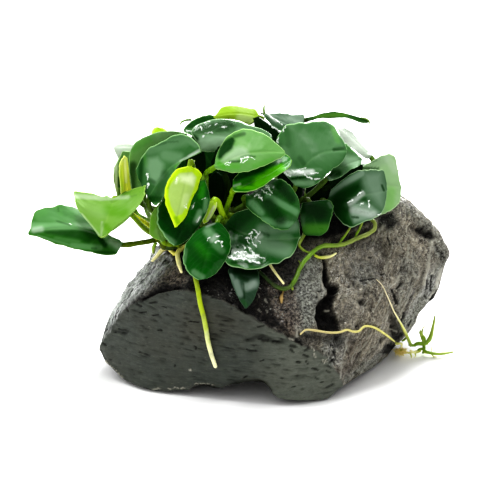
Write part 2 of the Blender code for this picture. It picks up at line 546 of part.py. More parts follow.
# ------------------------------------------------------------------ leaves
# base, mid, tip and the two widest places of each blade on the sighting grid, then where the stalk starts.
LEAVES = [
    Leaf("leaf_01", (122, 245, -7), (76, 229, -9), (28, 234, -13), (62, 205, 6), (78, 251, -17),
         foot("main", 0.0, (-0.4, -0.8, 0.2)), fold=1.3, wave=0.4, lobe=0.03, rise=0.3,
         edge=[(27, 236), (29, 230), (30.5, 225), (31.5, 219), (34, 213), (38, 209.5), (43, 208), (50, 207.5), (56, 206), (60, 204.3),
               (65, 205.3), (74, 206), (82, 211), (92, 220), (102, 230), (112, 237), (121, 240.5), (123, 245), (122.5, 250), (119, 252.8),
               (110, 254.3), (102, 254.6), (92, 253.5), (80, 251), (66, 246.5), (50, 241.5), (38, 237.5)]),
    Leaf("leaf_02", (114, 200, 2), (108, 216, -8), (101.2, 238.5, -16), (74, 191, 1), (145, 186, -5),
         foot("main", 0.05, (0, 0.1, 1)), fold=1.8, wave=0.2, lobe=0.05,
         edge=[(73, 191.5), (78, 191), (86, 192.3), (94, 194), (101, 197.5), (110, 196.5), (120, 194.5), (130, 190.5), (138, 187.5),
               (145.5, 185), (146, 191), (143, 200), (138, 207.5), (131, 214.5), (124, 219.5), (117, 225), (112, 230.5), (107, 235),
               (101, 239), (98.5, 236.5), (94, 230), (88, 222.5), (81, 214.5), (76.5, 207), (74, 198)],
         via=[(148, 231, -5), (131, 214, 3), (118, 202, 6)], tone="young"),
    Leaf("leaf_03", (127, 205, 7), (125, 180, 4), (123.5, 156, 3), (118, 173, 1), (131, 175, 6),
         foot("main", 0.0, (0, 0.9, 0.6)), lobe=0, wave=0.2, tone="yellow",
         edge=[(119.5, 163), (121.5, 158.5), (124.5, 155.5), (127.8, 158), (128.5, 167), (129.7, 177), (131, 186), (132, 196), (131, 206),
               (123, 206), (121, 194), (119.8, 185), (118.8, 174)]),
    Leaf("leaf_04", (132, 205, 15), (127, 178, 14), (123, 151, 16), (113, 176, 10), (142, 174, 17),
         foot("main", 0.06, (0, 1, 0.3)), lobe=0.03,
         edge=[(113, 174), (114, 168), (116.5, 162.5), (119, 157), (122, 151), (132, 151), (139, 158), (142, 170), (141, 185), (136, 204),
               (120, 204), (116.3, 194), (114, 186), (112.8, 180)]),
    Leaf("leaf_05", (149.5, 199.3, -8.1), (170, 168, -4.6), (201.8, 151.2, -5.1), (160, 137, 6), (167, 181.2, -12.9),
         foot("main", 0.13, (0, -0.4, 1)), lobe=0.02, fold=1.6, wave=0.3,
         edge=[(145, 187), (141, 186.5), (136.5, 187), (135.2, 180), (135, 172), (137.5, 164), (141, 156.5), (145, 151.5), (150, 148),
               (156, 144.5), (162, 140.5), (168, 137), (174, 134.5), (180, 133.6), (186, 133.8), (190, 135.7), (194, 139.5), (198, 143.5),
               (200.5, 147.5), (200.3, 151), (197, 154), (190, 157.5), (182.5, 161), (178, 165.5), (175.5, 170.5), (171, 176), (167.5, 182.5),
               (165.5, 189), (163.5, 195.5), (160.5, 201.5), (156, 204.3), (151.5, 203), (148.5, 197.5), (147, 191)]),
    Leaf("leaf_06", (139, 195, 11), (152, 161, 12), (188, 135, 14), (129, 150, 8), (178, 176, 16),
         foot("main", 0.22, (0, 0.7, 0.8)), lobe=0.02,
         edge=[(132, 192), (130, 178), (128.5, 165), (128.3, 155), (130, 148), (136, 142.3), (144, 137.2), (152, 133.8), (160, 131.8),
               (170, 130.8), (180, 131.2), (188, 133.5), (192, 140), (189, 152), (180, 165), (165, 178), (152, 188), (142, 193)]),
    Leaf("leaf_07", (165, 172, 19), (161, 148, 19), (160, 127.8, 19), (151, 142, 18), (172, 145, 20),
         foot("main", 0.3, (0, 1, 0.3)), tone="yellow", coarse=True),
    Leaf("leaf_08", (234, 144, 27), (208, 130, 22), (183, 130, 17), (209, 115, 28), (212, 146, 15),
         foot("main", 0.5, (0, 1, 0.3)), lobe=0.03,
         edge=[(182.5, 132.8), (184, 128), (187, 124.3), (192, 120.6), (200, 116.8), (208, 114.8), (215, 114.3), (222, 116), (232, 123),
               (240, 134), (238, 146), (222, 148), (202, 141), (191, 135.5)],
         via=[(232, 212, 14), (236, 184, 21), (238, 160, 26)]),
    Leaf("leaf_09", (272, 147, 7), (233, 138, 6), (191, 133.5, 4), (236, 119.5, 13), (222, 157, 3),
         foot("main", 0.54, (0, 0.5, 0.9)), lobe=0.03,
         edge=[(191, 131.5), (193, 127.5), (197, 124.3), (205, 121.3), (213, 119.3), (222, 118.8), (230, 119.3), (240, 121.7), (250, 124.7),
               (258, 127.3), (266, 131.3), (272, 136), (277, 141), (275, 148), (262, 155), (245, 156.5), (230, 155), (216, 152.7),
               (208, 151.7), (201, 151.2), (199, 146), (195, 141), (192, 136)],
         via=[(248, 202, 1), (270, 178, 3), (279, 158, 6)]),
    Leaf("leaf_10", (215.5, 167, -13), (248, 154, -15), (285.5, 153, -13), (241, 128.5, -3), (246, 172.8, -21),
         foot("main", 0.44, (0, 0.1, 1)), fold=1.9, lobe=0.02, wave=0.2,
         edge=[(214.8, 168), (215.8, 162.5), (217, 155), (220, 147), (224, 141), (228, 136.3), (234, 131.7), (240, 129.2), (248, 128.6),
               (256, 130.2), (264, 133.7), (270, 137.6), (275, 141.6), (280, 146), (284, 150), (285.8, 154), (282, 157.7), (274, 161.3),
               (265, 165.7), (257, 169.3), (248, 171.8), (240, 172.8), (232, 172.4), (225, 170.5), (219, 169)],
         via=[(212, 215, 1), (205, 190, 0), (205, 175, -6)], tone="bright"),
    Leaf("leaf_11", (233, 189.5, -15), (262, 177, -13), (292, 160, -7), (252, 160, -6), (266, 189, -19),
         foot("main", 0.6, (0, -0.3, 1)), lobe=0.02, wave=0.2, tone="bright",
         edge=[(232.5, 191), (232, 184), (236, 176), (245, 166), (262, 158), (278, 152), (285, 153.5), (289, 155.5), (292, 160),
               (291, 165.5), (285.5, 170.5), (278, 175.5), (270, 181.3), (263, 186.3), (255, 189.8), (248, 191.6), (240, 192.2), (236, 191.5)]),
    Leaf("leaf_12", (190, 166, -17), (183, 195, -22), (175, 228, -27), (164.5, 191, -22), (199, 184, -17),
         foot("main", 0.27, (0, 0.2, 1)), fold=2.0, lobe=0.0, wave=0.5,
         edge=[(163.8, 197), (165, 190), (166.3, 184), (169, 179), (172, 174.5), (175, 170.5), (177, 167.8), (183, 167.3), (189, 166.6),
               (194, 167.6), (198, 169.3), (201, 172.5), (202.5, 176), (199.3, 180), (198.5, 186), (197.5, 190.5), (194, 196), (191.5, 202),
               (189.3, 209), (186.7, 215), (183.5, 220), (179, 223.8), (175, 228.3), (173.2, 223.5), (170.7, 218), (167.7, 211), (165, 204)],
         via=[(196, 225, -1), (197, 195, -3), (194, 171, -8)], tone="yellow"),
    Leaf("leaf_13", (204, 180, -8), (190, 212, -15), (174, 246, -21), (157, 213, -17), (211, 206, -13),
         foot("main", 0.34, (0, -0.2, 1)), lobe=0.02, wave=0.3,
         edge=[(203, 179), (206.5, 185.5), (209, 192), (210, 198), (209.3, 205), (206.8, 212), (203.2, 219), (199.2, 226.7), (194, 233),
               (189, 239), (182, 243.8), (175.5, 246.3), (169, 243), (165, 237.5), (161, 232), (157.5, 226), (156, 218), (157, 210),
               (160, 203), (165, 196), (180, 184), (195, 178)],
         via=[(204, 226, -7), (206, 200, -5.5)], tone="glossy"),
    Leaf("leaf_14", (212, 200, -8.7), (211, 210, -9.5), (204, 224, -11), (204.5, 207, -7.5), (217.5, 206, -10),
         foot("main", 0.52, (0, -0.5, 0.9)), lobe=0, wave=0.1, tone="yellow", r=1.3,
         edge=[(209, 194), (213.5, 196.5), (217.3, 201.5), (217, 207), (213, 214.5), (208, 221.7), (203.5, 224), (202, 221), (206, 213),
               (209, 204)],
         via=[(223, 215, -8), (219.5, 206.5, -8.3), (216, 200.5, -8.5)]),
    Leaf("leaf_15", (163, 241.5, -15), (159, 222, -13), (161.5, 201, -11), (149.5, 227, -13), (171, 222, -11),
         foot("main", 0.11, (0, -1, 0.0)), lobe=0, wave=0.2, tone="young", rise=0.2, lead=0.2,
         edge=[(161, 201), (155.5, 207.3), (151, 214), (149.7, 220), (149.2, 227), (149.3, 234), (152, 237.8), (158, 240), (164, 241.3),
               (169, 241.5), (172, 232), (171, 222), (168, 208)]),
    Leaf("leaf_16", (217, 223, -20), (208, 250, -28), (199.5, 280.3, -32), (183, 256, -28), (231.5, 245, -24),
         foot("main", 0.48, (0, -1, 0.3)), fold=2.2, lobe=0.02, wave=0.2, tone="glossy",
         edge=[(212, 220.8), (206, 223.3), (200, 227.7), (195, 232.3), (190, 238), (186, 243.3), (183.8, 248.5), (182.8, 255), (182.8, 262),
               (184.8, 268), (188, 272.7), (193, 277.7), (197, 279.8), (203, 280), (210, 277.3), (216, 274), (220, 269.3), (223.3, 264),
               (227, 259), (229.3, 254), (230.8, 248.5), (231.3, 243), (230, 236), (227, 231), (222.5, 226), (218.5, 222.5)]),
    Leaf("leaf_17", (226.5, 223.9, -12), (260, 237.8, -18.5), (301.4, 237.4, -14.5), (261.1, 207.3, -13.4), (248.6, 267, -30.5),
         foot("main", 0.64, (0, -1, 0.2)), lobe=0.02, wave=0.7, fold=1.5, tone="wet",
         edge=[(220, 225.5), (226, 221), (232, 216.3), (238, 212.3), (244, 209.8), (252, 208), (270, 206), (290, 206.5), (296, 209),
               (298.7, 214), (299.7, 222), (300, 232), (299.2, 240), (296.7, 249), (293.2, 255), (289, 258.2), (285, 258.8), (281.5, 262.2),
               (278, 264.3), (272, 265), (268, 266.3), (262, 268.8), (254, 270), (246, 269.5), (238, 268.5), (232, 266.5), (225, 263.5),
               (223, 250), (221, 236)]),
    Leaf("leaf_18", (247, 197, -10), (274, 203, -18), (298, 217.5, -16), (283, 181, -9), (264, 222.5, -20),
         foot("main", 0.7, (0, -0.6, 0.9)), fold=1.3, lobe=0.02, wave=0.3,
         edge=[(244.7, 199), (245.7, 205), (250, 210.3), (255, 214.8), (262, 220.3), (268, 224.8), (274, 228.8), (281, 230.3), (289, 229.8),
               (295, 226.2), (297.7, 220), (299, 214), (299.4, 206), (298.2, 198), (295.2, 191.7), (290.5, 184.5), (284, 180), (276, 178),
               (268, 181.5), (262, 186.5), (256, 191.5), (250, 196.5)]),
    Leaf("leaf_19", (296, 186, -4), (315, 157, 0), (347, 152, 5), (297, 124, 15), (325, 177, -6),
         foot("main", 0.86, (0, -0.1, 1)), fold=1.8, lobe=0.02, wave=0.4, tone="wet",
         edge=[(275.5, 140), (278.7, 134), (281, 129.3), (285, 126.3), (290, 124.2), (297, 122.8), (305, 121.8), (315, 120.8), (323, 120.3),
               (328, 120.8), (331.5, 122.8), (335, 125), (336.5, 130), (339, 135), (341.5, 139), (344, 143), (346, 147), (347.2, 152),
               (345.7, 157), (343, 161.2), (340, 164.7), (336, 167.2), (332.5, 169.3), (330, 172.3), (326, 176.3), (321, 180.3), (316, 184.3),
               (308, 186.8), (300, 188), (294, 187.7), (290.5, 184.7), (285.5, 182), (281.5, 178), (278, 170), (275, 155)]),
    Leaf("leaf_20", (327, 179, 5), (345, 166, 9), (362, 160.5, 12), (345, 147, 15), (347, 173.5, 4),
         foot("main", 0.97, (0, -0.3, 1)), lobe=0.02,
         edge=[(326, 180.3), (331, 171), (338, 160), (344, 150), (344.5, 142.5), (350, 146.7), (355.5, 151.2), (361.5, 158.8), (362, 163),
               (357, 167.3), (350, 170.8), (344, 174.3), (338, 177.8), (332, 180)],
         via=[(300, 201, 3), (313, 192, 4)]),
    Leaf("leaf_21", (328, 202, 3.2), (362.2, 195.9, -1.5), (387.5, 190.3, 1.4), (361, 169.9, 3.9), (355.9, 228, -10.4),
         foot("branch", 0.36, (0, -0.6, 0.8)), lobe=0.02, fold=1.6, wave=0.3, tone="wet",
         edge=[(326.2, 198.3), (329, 193.7), (333, 188.3), (338, 183.8), (343, 179.7), (348, 175.7), (354, 172.2), (360, 170.2), (368, 169.2),
               (376, 169.2), (383.3, 170.2), (385, 175), (386, 182), (387, 190), (386.7, 198), (385.2, 206), (383.2, 212), (380, 215.3),
               (375, 218.3), (370, 220.8), (363, 223.3), (357, 225.8), (350, 228), (343, 224.5), (337, 217), (332.5, 208.5), (328.5, 203)]),
    Leaf("leaf_22", (352.3, 187.8, 17), (378.5, 185.9, 12), (401.9, 187.6, 12), (380.9, 151.4, 18.5), (384.7, 217.2, 3.5),
         foot("branch", 0.62, (0, 0.1, 1)), lobe=0.0, wave=0.2,
         edge=[(361.5, 166.7), (368, 162.7), (376, 159.2), (379, 156.2), (384, 154), (388, 153.3), (393.5, 154.6), (396.4, 158), (397.4, 165),
               (398.4, 173), (399.5, 180), (401, 187), (401.3, 193), (400.5, 200), (399, 204.4), (395, 208.3), (390, 211.8), (385, 214.3),
               (380, 215.3), (368, 212), (358, 202), (352, 188), (354, 174)]),
    Leaf("leaf_23", (309, 202, -6), (314, 218, -9), (320, 236, -12), (300, 217, -8), (334, 211, -6),
         foot("branch", 0.04, (0, -0.7, 0.7)), lobe=0.02, wave=0.3, lead=0.2, tone="dark",
         edge=[(302, 203.3), (312, 201.3), (322, 200.8), (329, 200.3), (332.3, 201.8), (333.8, 206), (333.3, 212), (331.7, 218), (330, 224),
               (328, 230), (325, 233.8), (320, 235.3), (312, 235.8), (305, 236.2), (301.8, 230), (300.3, 220), (300.5, 210)]),
    Leaf("leaf_24", (243, 266, -25), (245, 287, -35), (245.5, 309, -40), (228.5, 278, -32), (260, 279, -32),
         foot("main", 0.78, (0, -1, 0)), lobe=0.0, wave=0.2, tone="dark", rise=0.6,
         edge=[(227.5, 269), (232, 266), (240, 265), (250, 265), (257, 268), (259.5, 276), (259.7, 284), (257.2, 291), (254.2, 299),
               (251, 304.3), (248, 307), (245.7, 309), (243.2, 306.3), (239.8, 301), (236.3, 294), (232.8, 286), (230, 278)]),
    Leaf("leaf_25", (258, 117, 26), (238, 114, 25), (213.3, 116.5, 24), (238, 106, 34), (237, 122.5, 21),
         foot("main", 0.58, (0, 1, 0.5)), lobe=0.0, wave=0.2, tone="yellow",
         edge=[(213, 118), (215.7, 114.3), (218.8, 109.8), (222, 107.2), (226, 106.2), (234, 106.4), (242, 106.6), (250, 108.2), (257, 109.8),
               (260.3, 112), (258.3, 116.5), (255.8, 120.3), (252, 124.3), (249, 124.8), (242, 122.3), (233, 119.3), (224, 119.3), (216, 119.3)],
         via=[(246, 160, 24), (255, 136, 26)]),
    Leaf("leaf_26", (302, 135, 27), (283, 122, 31), (260, 113, 32), (287, 114, 38), (279, 131, 26),
         foot("main", 0.79, (0, 1, 0.5)), lobe=0.0,
         edge=[(261, 112.3), (268, 113), (280, 113.7), (292, 114.2), (304, 113.8), (305.7, 117), (305, 123), (300, 130), (294, 134.5),
               (286, 134.5), (279.3, 131), (272, 124.5), (265, 118)],
         via=[(275, 190, 13), (298, 158, 24)]),
    Leaf("leaf_27", (306, 120, 44), (336, 113.5, 43), (368.5, 121.5, 40), (338, 112.8, 52), (339, 118.2, 35),
         foot("main", 0.87, (0, 1, 0.4)), lobe=0.02, wave=0.4,
         via=[(296, 195, 19), (305, 155, 36)]),
    Leaf("leaf_28", (371, 157, 24), (353, 139, 27), (337, 127, 28), (355, 136.5, 34), (350, 147, 22),
         foot("branch", 0.38, (0, 1, 0.4)), lobe=0.03),
    Leaf("leaf_29", (219, 207, 6), (218, 190, 6), (216.5, 173, 7), (204, 187, 6), (231.5, 187, 5),
         foot("main", 0.35, (0, 1, 0.3)), lobe=0.0, tone="dark",
         edge=[(203.5, 179), (207.5, 174.3), (215, 172.7), (222, 175.2), (228, 179.7), (231.7, 186), (229, 197), (223, 205), (212, 205),
               (206, 193)]),
    Leaf("leaf_35", (142, 150.5, 23), (129, 147, 22), (113.3, 147.5, 20), (127, 138.5, 30), (125, 158, 18),
         foot("main", 0.13, (0, 1, 0.2)), lobe=0.0, wave=0.5, coarse=True,
         edge=[(113, 147), (115.3, 142.2), (121, 139), (126, 138), (131, 139), (137, 140), (142, 144), (142, 152), (136, 157), (128, 158.5),
               (121, 159), (117.5, 157), (114, 151.5)],
         via=[(150, 217, 18), (143, 190, 26), (142, 165, 24)]),
    Leaf("leaf_36", (283, 150, 16), (268, 134, 17), (253.5, 118, 18), (259, 139, 14), (281, 131, 20),
         foot("main", 0.65, (0, 1, 0.4)), lobe=0.0, tone="dark", coarse=True,
         edge=[(252.5, 118), (258, 116), (263, 118.5), (270, 124.5), (280, 131.5), (285, 140), (281, 151), (268, 147), (256, 134)],
         via=[(251, 203, 9), (270, 176, 13)]),
    Leaf("leaf_37", (226, 172, -2), (229, 159, -3), (233, 147, -3), (210.5, 158, -2), (246, 163, -5),
         foot("main", 0.46, (0, 0.7, 0.7)), lobe=0.0, tone="dark", coarse=True,
         edge=[(210.5, 169), (211, 161), (213.8, 153), (218, 146.5), (226, 144), (238, 146), (248, 152), (249, 163), (238, 171), (222, 172)],
         via=[(221, 213, 4), (229, 190, 0)]),
    # leaves that the front ones hide
    Leaf("leaf_30", (166, 190, 26), (174, 170, 30), (185, 153, 36), (155, 163, 29), (192, 176, 32),
         foot("main", 0.2, (0, 1, 0.1)), tone="dark", coarse=True),
    Leaf("leaf_31", (226, 186, 32), (212, 165, 34), (199, 146, 38), (196, 172, 33), (228, 154, 38),
         foot("main", 0.43, (0, 1, 0.1)), tone="dark", coarse=True,
         via=[(220, 212, 18), (224, 200, 27)]),
    Leaf("leaf_32", (276, 176, 32), (276, 158, 42), (280, 152, 52), (256, 158, 42), (298, 156, 44),
         foot("main", 0.72, (0, 1, 0.3)), coarse=True,
         via=[(268, 200, 22)]),
    Leaf("leaf_33", (322, 172, 36), (328, 158, 44), (334, 156, 54), (308, 158, 46), (350, 158, 45),
         foot("branch", 0.2, (0, 1, 0.4)), coarse=True),
    Leaf("leaf_34", (372, 176, 35), (380, 168, 42), (387, 168, 49), (362, 164, 44), (398, 172, 40),
         foot("branch", 0.95, (0, 1, 0.4)), coarse=True),
]

TONES = {
    "mature": ((0.045, 0.135, 0.050), 0.30),
    "wet": ((0.060, 0.150, 0.070), 0.18),
    "glossy": ((0.008, 0.075, 0.006), 0.18),
    "dark": ((0.010, 0.060, 0.012), 0.35),
    "bright": ((0.065, 0.330, 0.020), 0.25),
    "young": ((0.230, 0.480, 0.100), 0.35),
    "yellow": ((0.520, 0.700, 0.050), 0.35),
}


# ------------------------------------------------------------------ roots
def place(spec):
    """('s', gx, gy, lift) lies on the stone, ('g', gx, gy, depth) hangs free, ('r', stem, u, out) starts at the rhizome."""
    if spec[0] == "s":
        return on_stone(spec[1], spec[2], spec[3])
    if spec[0] == "g":
        return sight(*spec[1:])
    return foot(spec[1], spec[2], spec[3])[0]


ROOTS = [
    ("root_01", [("r", "main", 0.36, (0, -0.8, -0.6)), ("s", 194, 266, 2.4), ("s", 197, 282, 2.2), ("s", 199.4, 300, 2.0),
                 ("s", 204.4, 320, 1.7), ("s", 207.8, 340, 1.6), ("s", 210.3, 351, 1.5), ("s", 215.4, 366.3, 1.5)],
     [1.0, 1.0, 1.0, 1.05, 1.05, 1.05, 1.0, 0.85], 12),
    ("root_02", [("r", "main", 0.17, (0, -0.9, -0.4)), ("s", 178, 252, 2.6), ("s", 178.8, 263, 2.2), ("s", 181.6, 272, 1.7)],
     [1.0, 1.05, 1.05, 0.6], 7),
    ("root_03", [("r", "main", 0.06, (-0.1, -0.7, -0.8)), ("s", 166, 247, 2.8), ("s", 160.5, 252.5, 2.4), ("s", 152.5, 260.8, 2.0)], [0.9, 1.0, 1.0, 0.6], 6),
    ("root_04", [("r", "branch", 0.97, (0, -0.7, -0.7)), ("s", 375.5, 224, 3.2), ("s", 371, 232, 2.5), ("s", 357, 238.5, 2.2),
                 ("s", 340, 245, 2.1), ("s", 321, 246.5, 2.2), ("s", 308, 257, 2.3), ("s", 300.5, 267, 2.0),
                 ("s", 295, 280, 1.9), ("s", 287, 288.5, 1.9), ("s", 274.5, 285.5, 1.9), ("s", 259, 271, 2.1)],
     [0.9, 1.05, 1.1, 1.1, 1.1, 1.15, 1.1, 1.1, 1.1, 1.1, 1.0, 0.8], 26),
    ("root_05", [("r", "main", 0.86, (0, -0.8, -0.6)), ("s", 268, 258, 3.6), ("s", 277, 275, 4.2), ("s", 283.5, 283.5, 4.6)],
     [0.7, 0.75, 0.45], 7),
    ("root_06", [("r", "branch", 0.1, (0, -0.7, -0.7)), ("s", 299, 246, 2.8), ("s", 303.5, 250.5, 2.0)], [0.7, 0.8, 0.5], 6),
    ("root_07", [("s", 315, 255.5, 1.4), ("s", 320, 257.6, 1.4), ("s", 330, 256.5, 1.4), ("s", 336, 253.3, 1.4)],
     [0.6, 0.75, 0.4], 7),
    ("root_08", [("s", 341.5, 240, 2.0), ("s", 346, 234, 2.6), ("s", 350, 228, 3.4)], [0.6, 0.5, 0.4], 4),
    ("root_09", [("s", 356.5, 234, 2.2), ("s", 359.5, 229, 2.8), ("s", 363, 221, 3.6)], [0.6, 0.5, 0.4], 4),
    ("root_10", [("s", 300.4, 334.3, 1.3), ("s", 307, 329.7, 1.3), ("s", 329, 332.6, 1.4), ("s", 340.5, 332, 1.5),
                 ("s", 347.4, 329.7, 1.4), ("s", 357, 332.4, 1.4), ("s", 363.5, 326.6, 1.5), ("s", 373.8, 327.4, 1.3),
                 ("s", 385.3, 334.3, 1.3), ("s", 394.5, 341.5, 1.5)],
     [0.35, 0.5, 0.5, 0.5, 0.5, 0.5, 0.5, 0.5, 0.45, 0.35], 20),
    ("root_11", [("s", 376.4, 279.4, 1.1), ("s", 381, 283, 1.1), ("s", 388.5, 298.7, 1.2), ("s", 394, 311.5, 1.5),
                 ("s", 400.6, 323, 2.2), ("s", 405.4, 333, 2.6), ("g", 410.5, 344.5, 8)],
     [0.3, 0.4, 0.5, 0.6, 0.85, 0.8, 0.7], 14),
    ("root_12", [("g", 414.5, 345.4, 8), ("g", 418, 343.4, 8), ("g", 425, 343.2, 8), ("g", 429.7, 338.7, 9),
                 ("g", 432.2, 330.3, 10), ("g", 435, 316.3, 11)], [0.7, 0.9, 1.0, 0.8, 0.6, 0.35], 12),
    ("root_13", [("g", 422, 348.5, 6), ("g", 428, 352.3, 4), ("g", 440.6, 354, 3.5), ("g", 452.7, 352, 6)],
     [0.5, 0.7, 0.55, 0.35], 8),
    ("root_14", [("g", 422.3, 338.5, 8), ("g", 421.6, 335, 9), ("g", 420.6, 330.5, 9)], [0.5, 0.5, 0.3], 4),
    ("root_15", [("g", 420.5, 351, 5), ("g", 414.5, 352.5, 3.5), ("g", 410.5, 350.5, 3)], [0.4, 0.55, 0.45], 5),
    ("root_16", [("g", 155.5, 243.5, 0), ("g", 153.5, 248, 1), ("g", 153.5, 252.5, 2)], [0.8, 0.9, 0.6], 4),
]


GREEN_ROOTS = ("root_04", "root_06", "root_08", "root_09", "root_13", "root_14", "root_16")


def clump(name, centre, size, material):
    """A loose tuft of fibres, as one lumpy closed body."""
    dirs, quads = cube_sphere(3)
    bm = bmesh.new()
    lumps = 1 + 0.22 * noise(dirs * 3.0, 1.7, 11)
    pivot = np.round(centre - ORIGIN, 2)
    verts = [bm.verts.new(placed(centre + d * size * k, pivot)) for d, k in zip(dirs, lumps)]
    for q in quads:
        bm.faces.new([verts[i] for i in q])
    bmesh.ops.triangulate(bm, faces=bm.faces)
    return add_object(name, bm, material, pivot)


# ------------------------------------------------------------------ build
def main():
    for o in list(bpy.data.objects):
        bpy.data.objects.remove(o, do_unlink=True)
    plant = bpy.data.objects.new("anubias_on_stone", None)
    bpy.context.scene.collection.objects.link(plant)

    build_stone(colour("stone", (0.045, 0.045, 0.038), 0.55))
    for name, line in (("rhizome_main", MAIN), ("rhizome_branch", BRANCH)):
        line = resample(line, 11)
        r = [RHIZOME_R * math.sqrt(max(0.12, 1 - (2 * u - 1) ** 8)) * (1 + 0.05 * math.sin(17 * u)) for u in np.linspace(0, 1, 11)]
        loft(name, tube_rings(line, r, 9), colour(name, (0.085, 0.19, 0.030), 0.45))
    for leaf in LEAVES:
        rgb, rough = TONES[leaf.tone]
        fewer = 1 if leaf.coarse else 0
        rings = leaf.rings(STALK_RINGS - fewer, BLADE_RINGS - fewer, RING_POINTS, BLADE_THICK)
        loft(leaf.name, rings, colour(leaf.name, rgb, rough, 0.5))
    for name, points, radii, rings in ROOTS:
        rgb = (0.30, 0.42, 0.06) if name in GREEN_ROOTS else (0.62, 0.56, 0.22)
        build_root(name, [place(p) for p in points], radii, colour(name, rgb, 0.45), rings)
    clump("fibre_tuft", sight(400.5, 351.5, 3.5), np.array([3.0, 2.2, 2.0]), colour("fibre_tuft", (0.40, 0.22, 0.04), 0.9))


main()
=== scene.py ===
"""Anubias on stone: the fine surfaces, materials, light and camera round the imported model.

Lengths are in millimetres until a mesh is made. Points that are seen from the front are given on a sighting grid of
500 x 500 units as (across, down, depth); depth is the Y of the point.
"""
import math

import bmesh
import bpy
import numpy as np
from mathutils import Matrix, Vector


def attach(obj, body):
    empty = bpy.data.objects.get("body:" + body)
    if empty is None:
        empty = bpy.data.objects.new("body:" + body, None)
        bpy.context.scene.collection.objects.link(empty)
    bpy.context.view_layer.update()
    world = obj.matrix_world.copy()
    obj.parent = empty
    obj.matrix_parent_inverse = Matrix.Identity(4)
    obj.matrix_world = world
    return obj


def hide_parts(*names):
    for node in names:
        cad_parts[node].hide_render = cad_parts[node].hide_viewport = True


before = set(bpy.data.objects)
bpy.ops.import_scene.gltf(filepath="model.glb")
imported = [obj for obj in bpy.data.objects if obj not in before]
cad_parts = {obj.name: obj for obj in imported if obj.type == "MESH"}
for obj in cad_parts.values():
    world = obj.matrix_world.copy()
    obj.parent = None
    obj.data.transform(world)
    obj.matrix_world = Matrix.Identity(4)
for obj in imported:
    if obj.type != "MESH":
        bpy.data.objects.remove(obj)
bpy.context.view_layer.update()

# ------------------------------------------------------------------ driving sizes
UNIT = 0.43                 # mm per grid unit at the aim point
AIM = np.array([0.0, 0.0, 53.0])
SIGHT_ELEVATION = math.radians(22.0)
SIGHT_DISTANCE = 700.0
ORIGIN = np.array([-1.4, 6.2, 0.0])   # design place of the middle of the object's underside
GAP = 0.45                  # clear space between pieces that touch on the real plant

STONE_CENTRE = np.array([8.0, 2.0, 25.0])
STONE_STRETCH = np.array([1.55, 0.95, 0.72])
STONE_ROUNDING = 0.055      # radians over which an edge of the stone is worn round
STONE_SPREAD = 1.4          # mm that the corners stand out, so that the worn edges pass through the seen places
STONE_GRID = 13             # facets along each side of the six patches that cover the stone

BLADE_THICK = 0.9           # leaf blade
PETIOLE_R = 1.05            # leaf stalk, at the blade
PETIOLE_BASE_R = 1.35       # leaf stalk, at the rhizome
RHIZOME_R = 3.3

BLADE_RINGS = 6
STALK_RINGS = 4
RING_POINTS = 8
ROOT_SIDES = 5


# ------------------------------------------------------------------ sighting grid
FORWARD = np.array([0.0, math.cos(SIGHT_ELEVATION), -math.sin(SIGHT_ELEVATION)])
UPWARD = np.array([0.0, math.sin(SIGHT_ELEVATION), math.cos(SIGHT_ELEVATION)])
ACROSS = np.array([1.0, 0.0, 0.0])
EYE = AIM - FORWARD * SIGHT_DISTANCE


def ray(gx, gy):
    k = UNIT / SIGHT_DISTANCE
    return FORWARD + ACROSS * ((gx - 250.0) * k) - UPWARD * ((gy - 250.0) * k)


def sight(gx, gy, depth):
    """The point on the sight line through (gx, gy) whose Y is depth."""
    d = ray(gx, gy)
    return EYE + d * ((depth - EYE[1]) / d[1])


def unit(v):
    v = np.asarray(v, float)
    return v / max(1e-9, np.linalg.norm(v))


def seen(p):
    """Place of points on the sighting grid."""
    q = np.atleast_2d(p) - EYE
    far = q @ FORWARD
    k = UNIT / SIGHT_DISTANCE
    return np.stack([250 + q[:, 0] / far / k, 250 - (q @ UPWARD) / far / k], axis=1)


def enclosed(g, polygon):
    """Which places of the sighting grid the polygon encloses."""
    inside = np.zeros(len(g), bool)
    for a, b in zip(polygon, np.roll(polygon, -1, axis=0)):
        cross = (a[1] > g[:, 1]) != (b[1] > g[:, 1])
        at = (b[0] - a[0]) * (g[:, 1] - a[1]) / (b[1] - a[1] + 1e-12) + a[0]
        inside ^= cross & (g[:, 0] < at)
    return inside


# ------------------------------------------------------------------ smooth noise
def noise_table(seed):
    rng = np.random.RandomState(seed)
    return rng.permutation(256), rng.uniform(-1, 1, (256, 3))


def noise(p, size, seed=1):
    """Gradient noise in about -1..1 at the points p, with features of that size."""
    order, gradients = noise_table(seed)
    q = np.asarray(p, float) / size
    cell = np.floor(q).astype(int)
    f = q - cell
    w = f * f * f * (f * (f * 6 - 15) + 10)
    total = np.zeros(len(q))
    for dx in (0, 1):
        for dy in (0, 1):
            for dz in (0, 1):
                c = cell + (dx, dy, dz)
                h = order[(order[(order[c[:, 0] & 255] + c[:, 1]) & 255] + c[:, 2]) & 255]
                g = gradients[h]
                d = f - (dx, dy, dz)
                part = (g * d).sum(1)
                part *= np.where(dx, w[:, 0], 1 - w[:, 0])
                part *= np.where(dy, w[:, 1], 1 - w[:, 1])
                part *= np.where(dz, w[:, 2], 1 - w[:, 2])
                total += part
    return total * 1.4


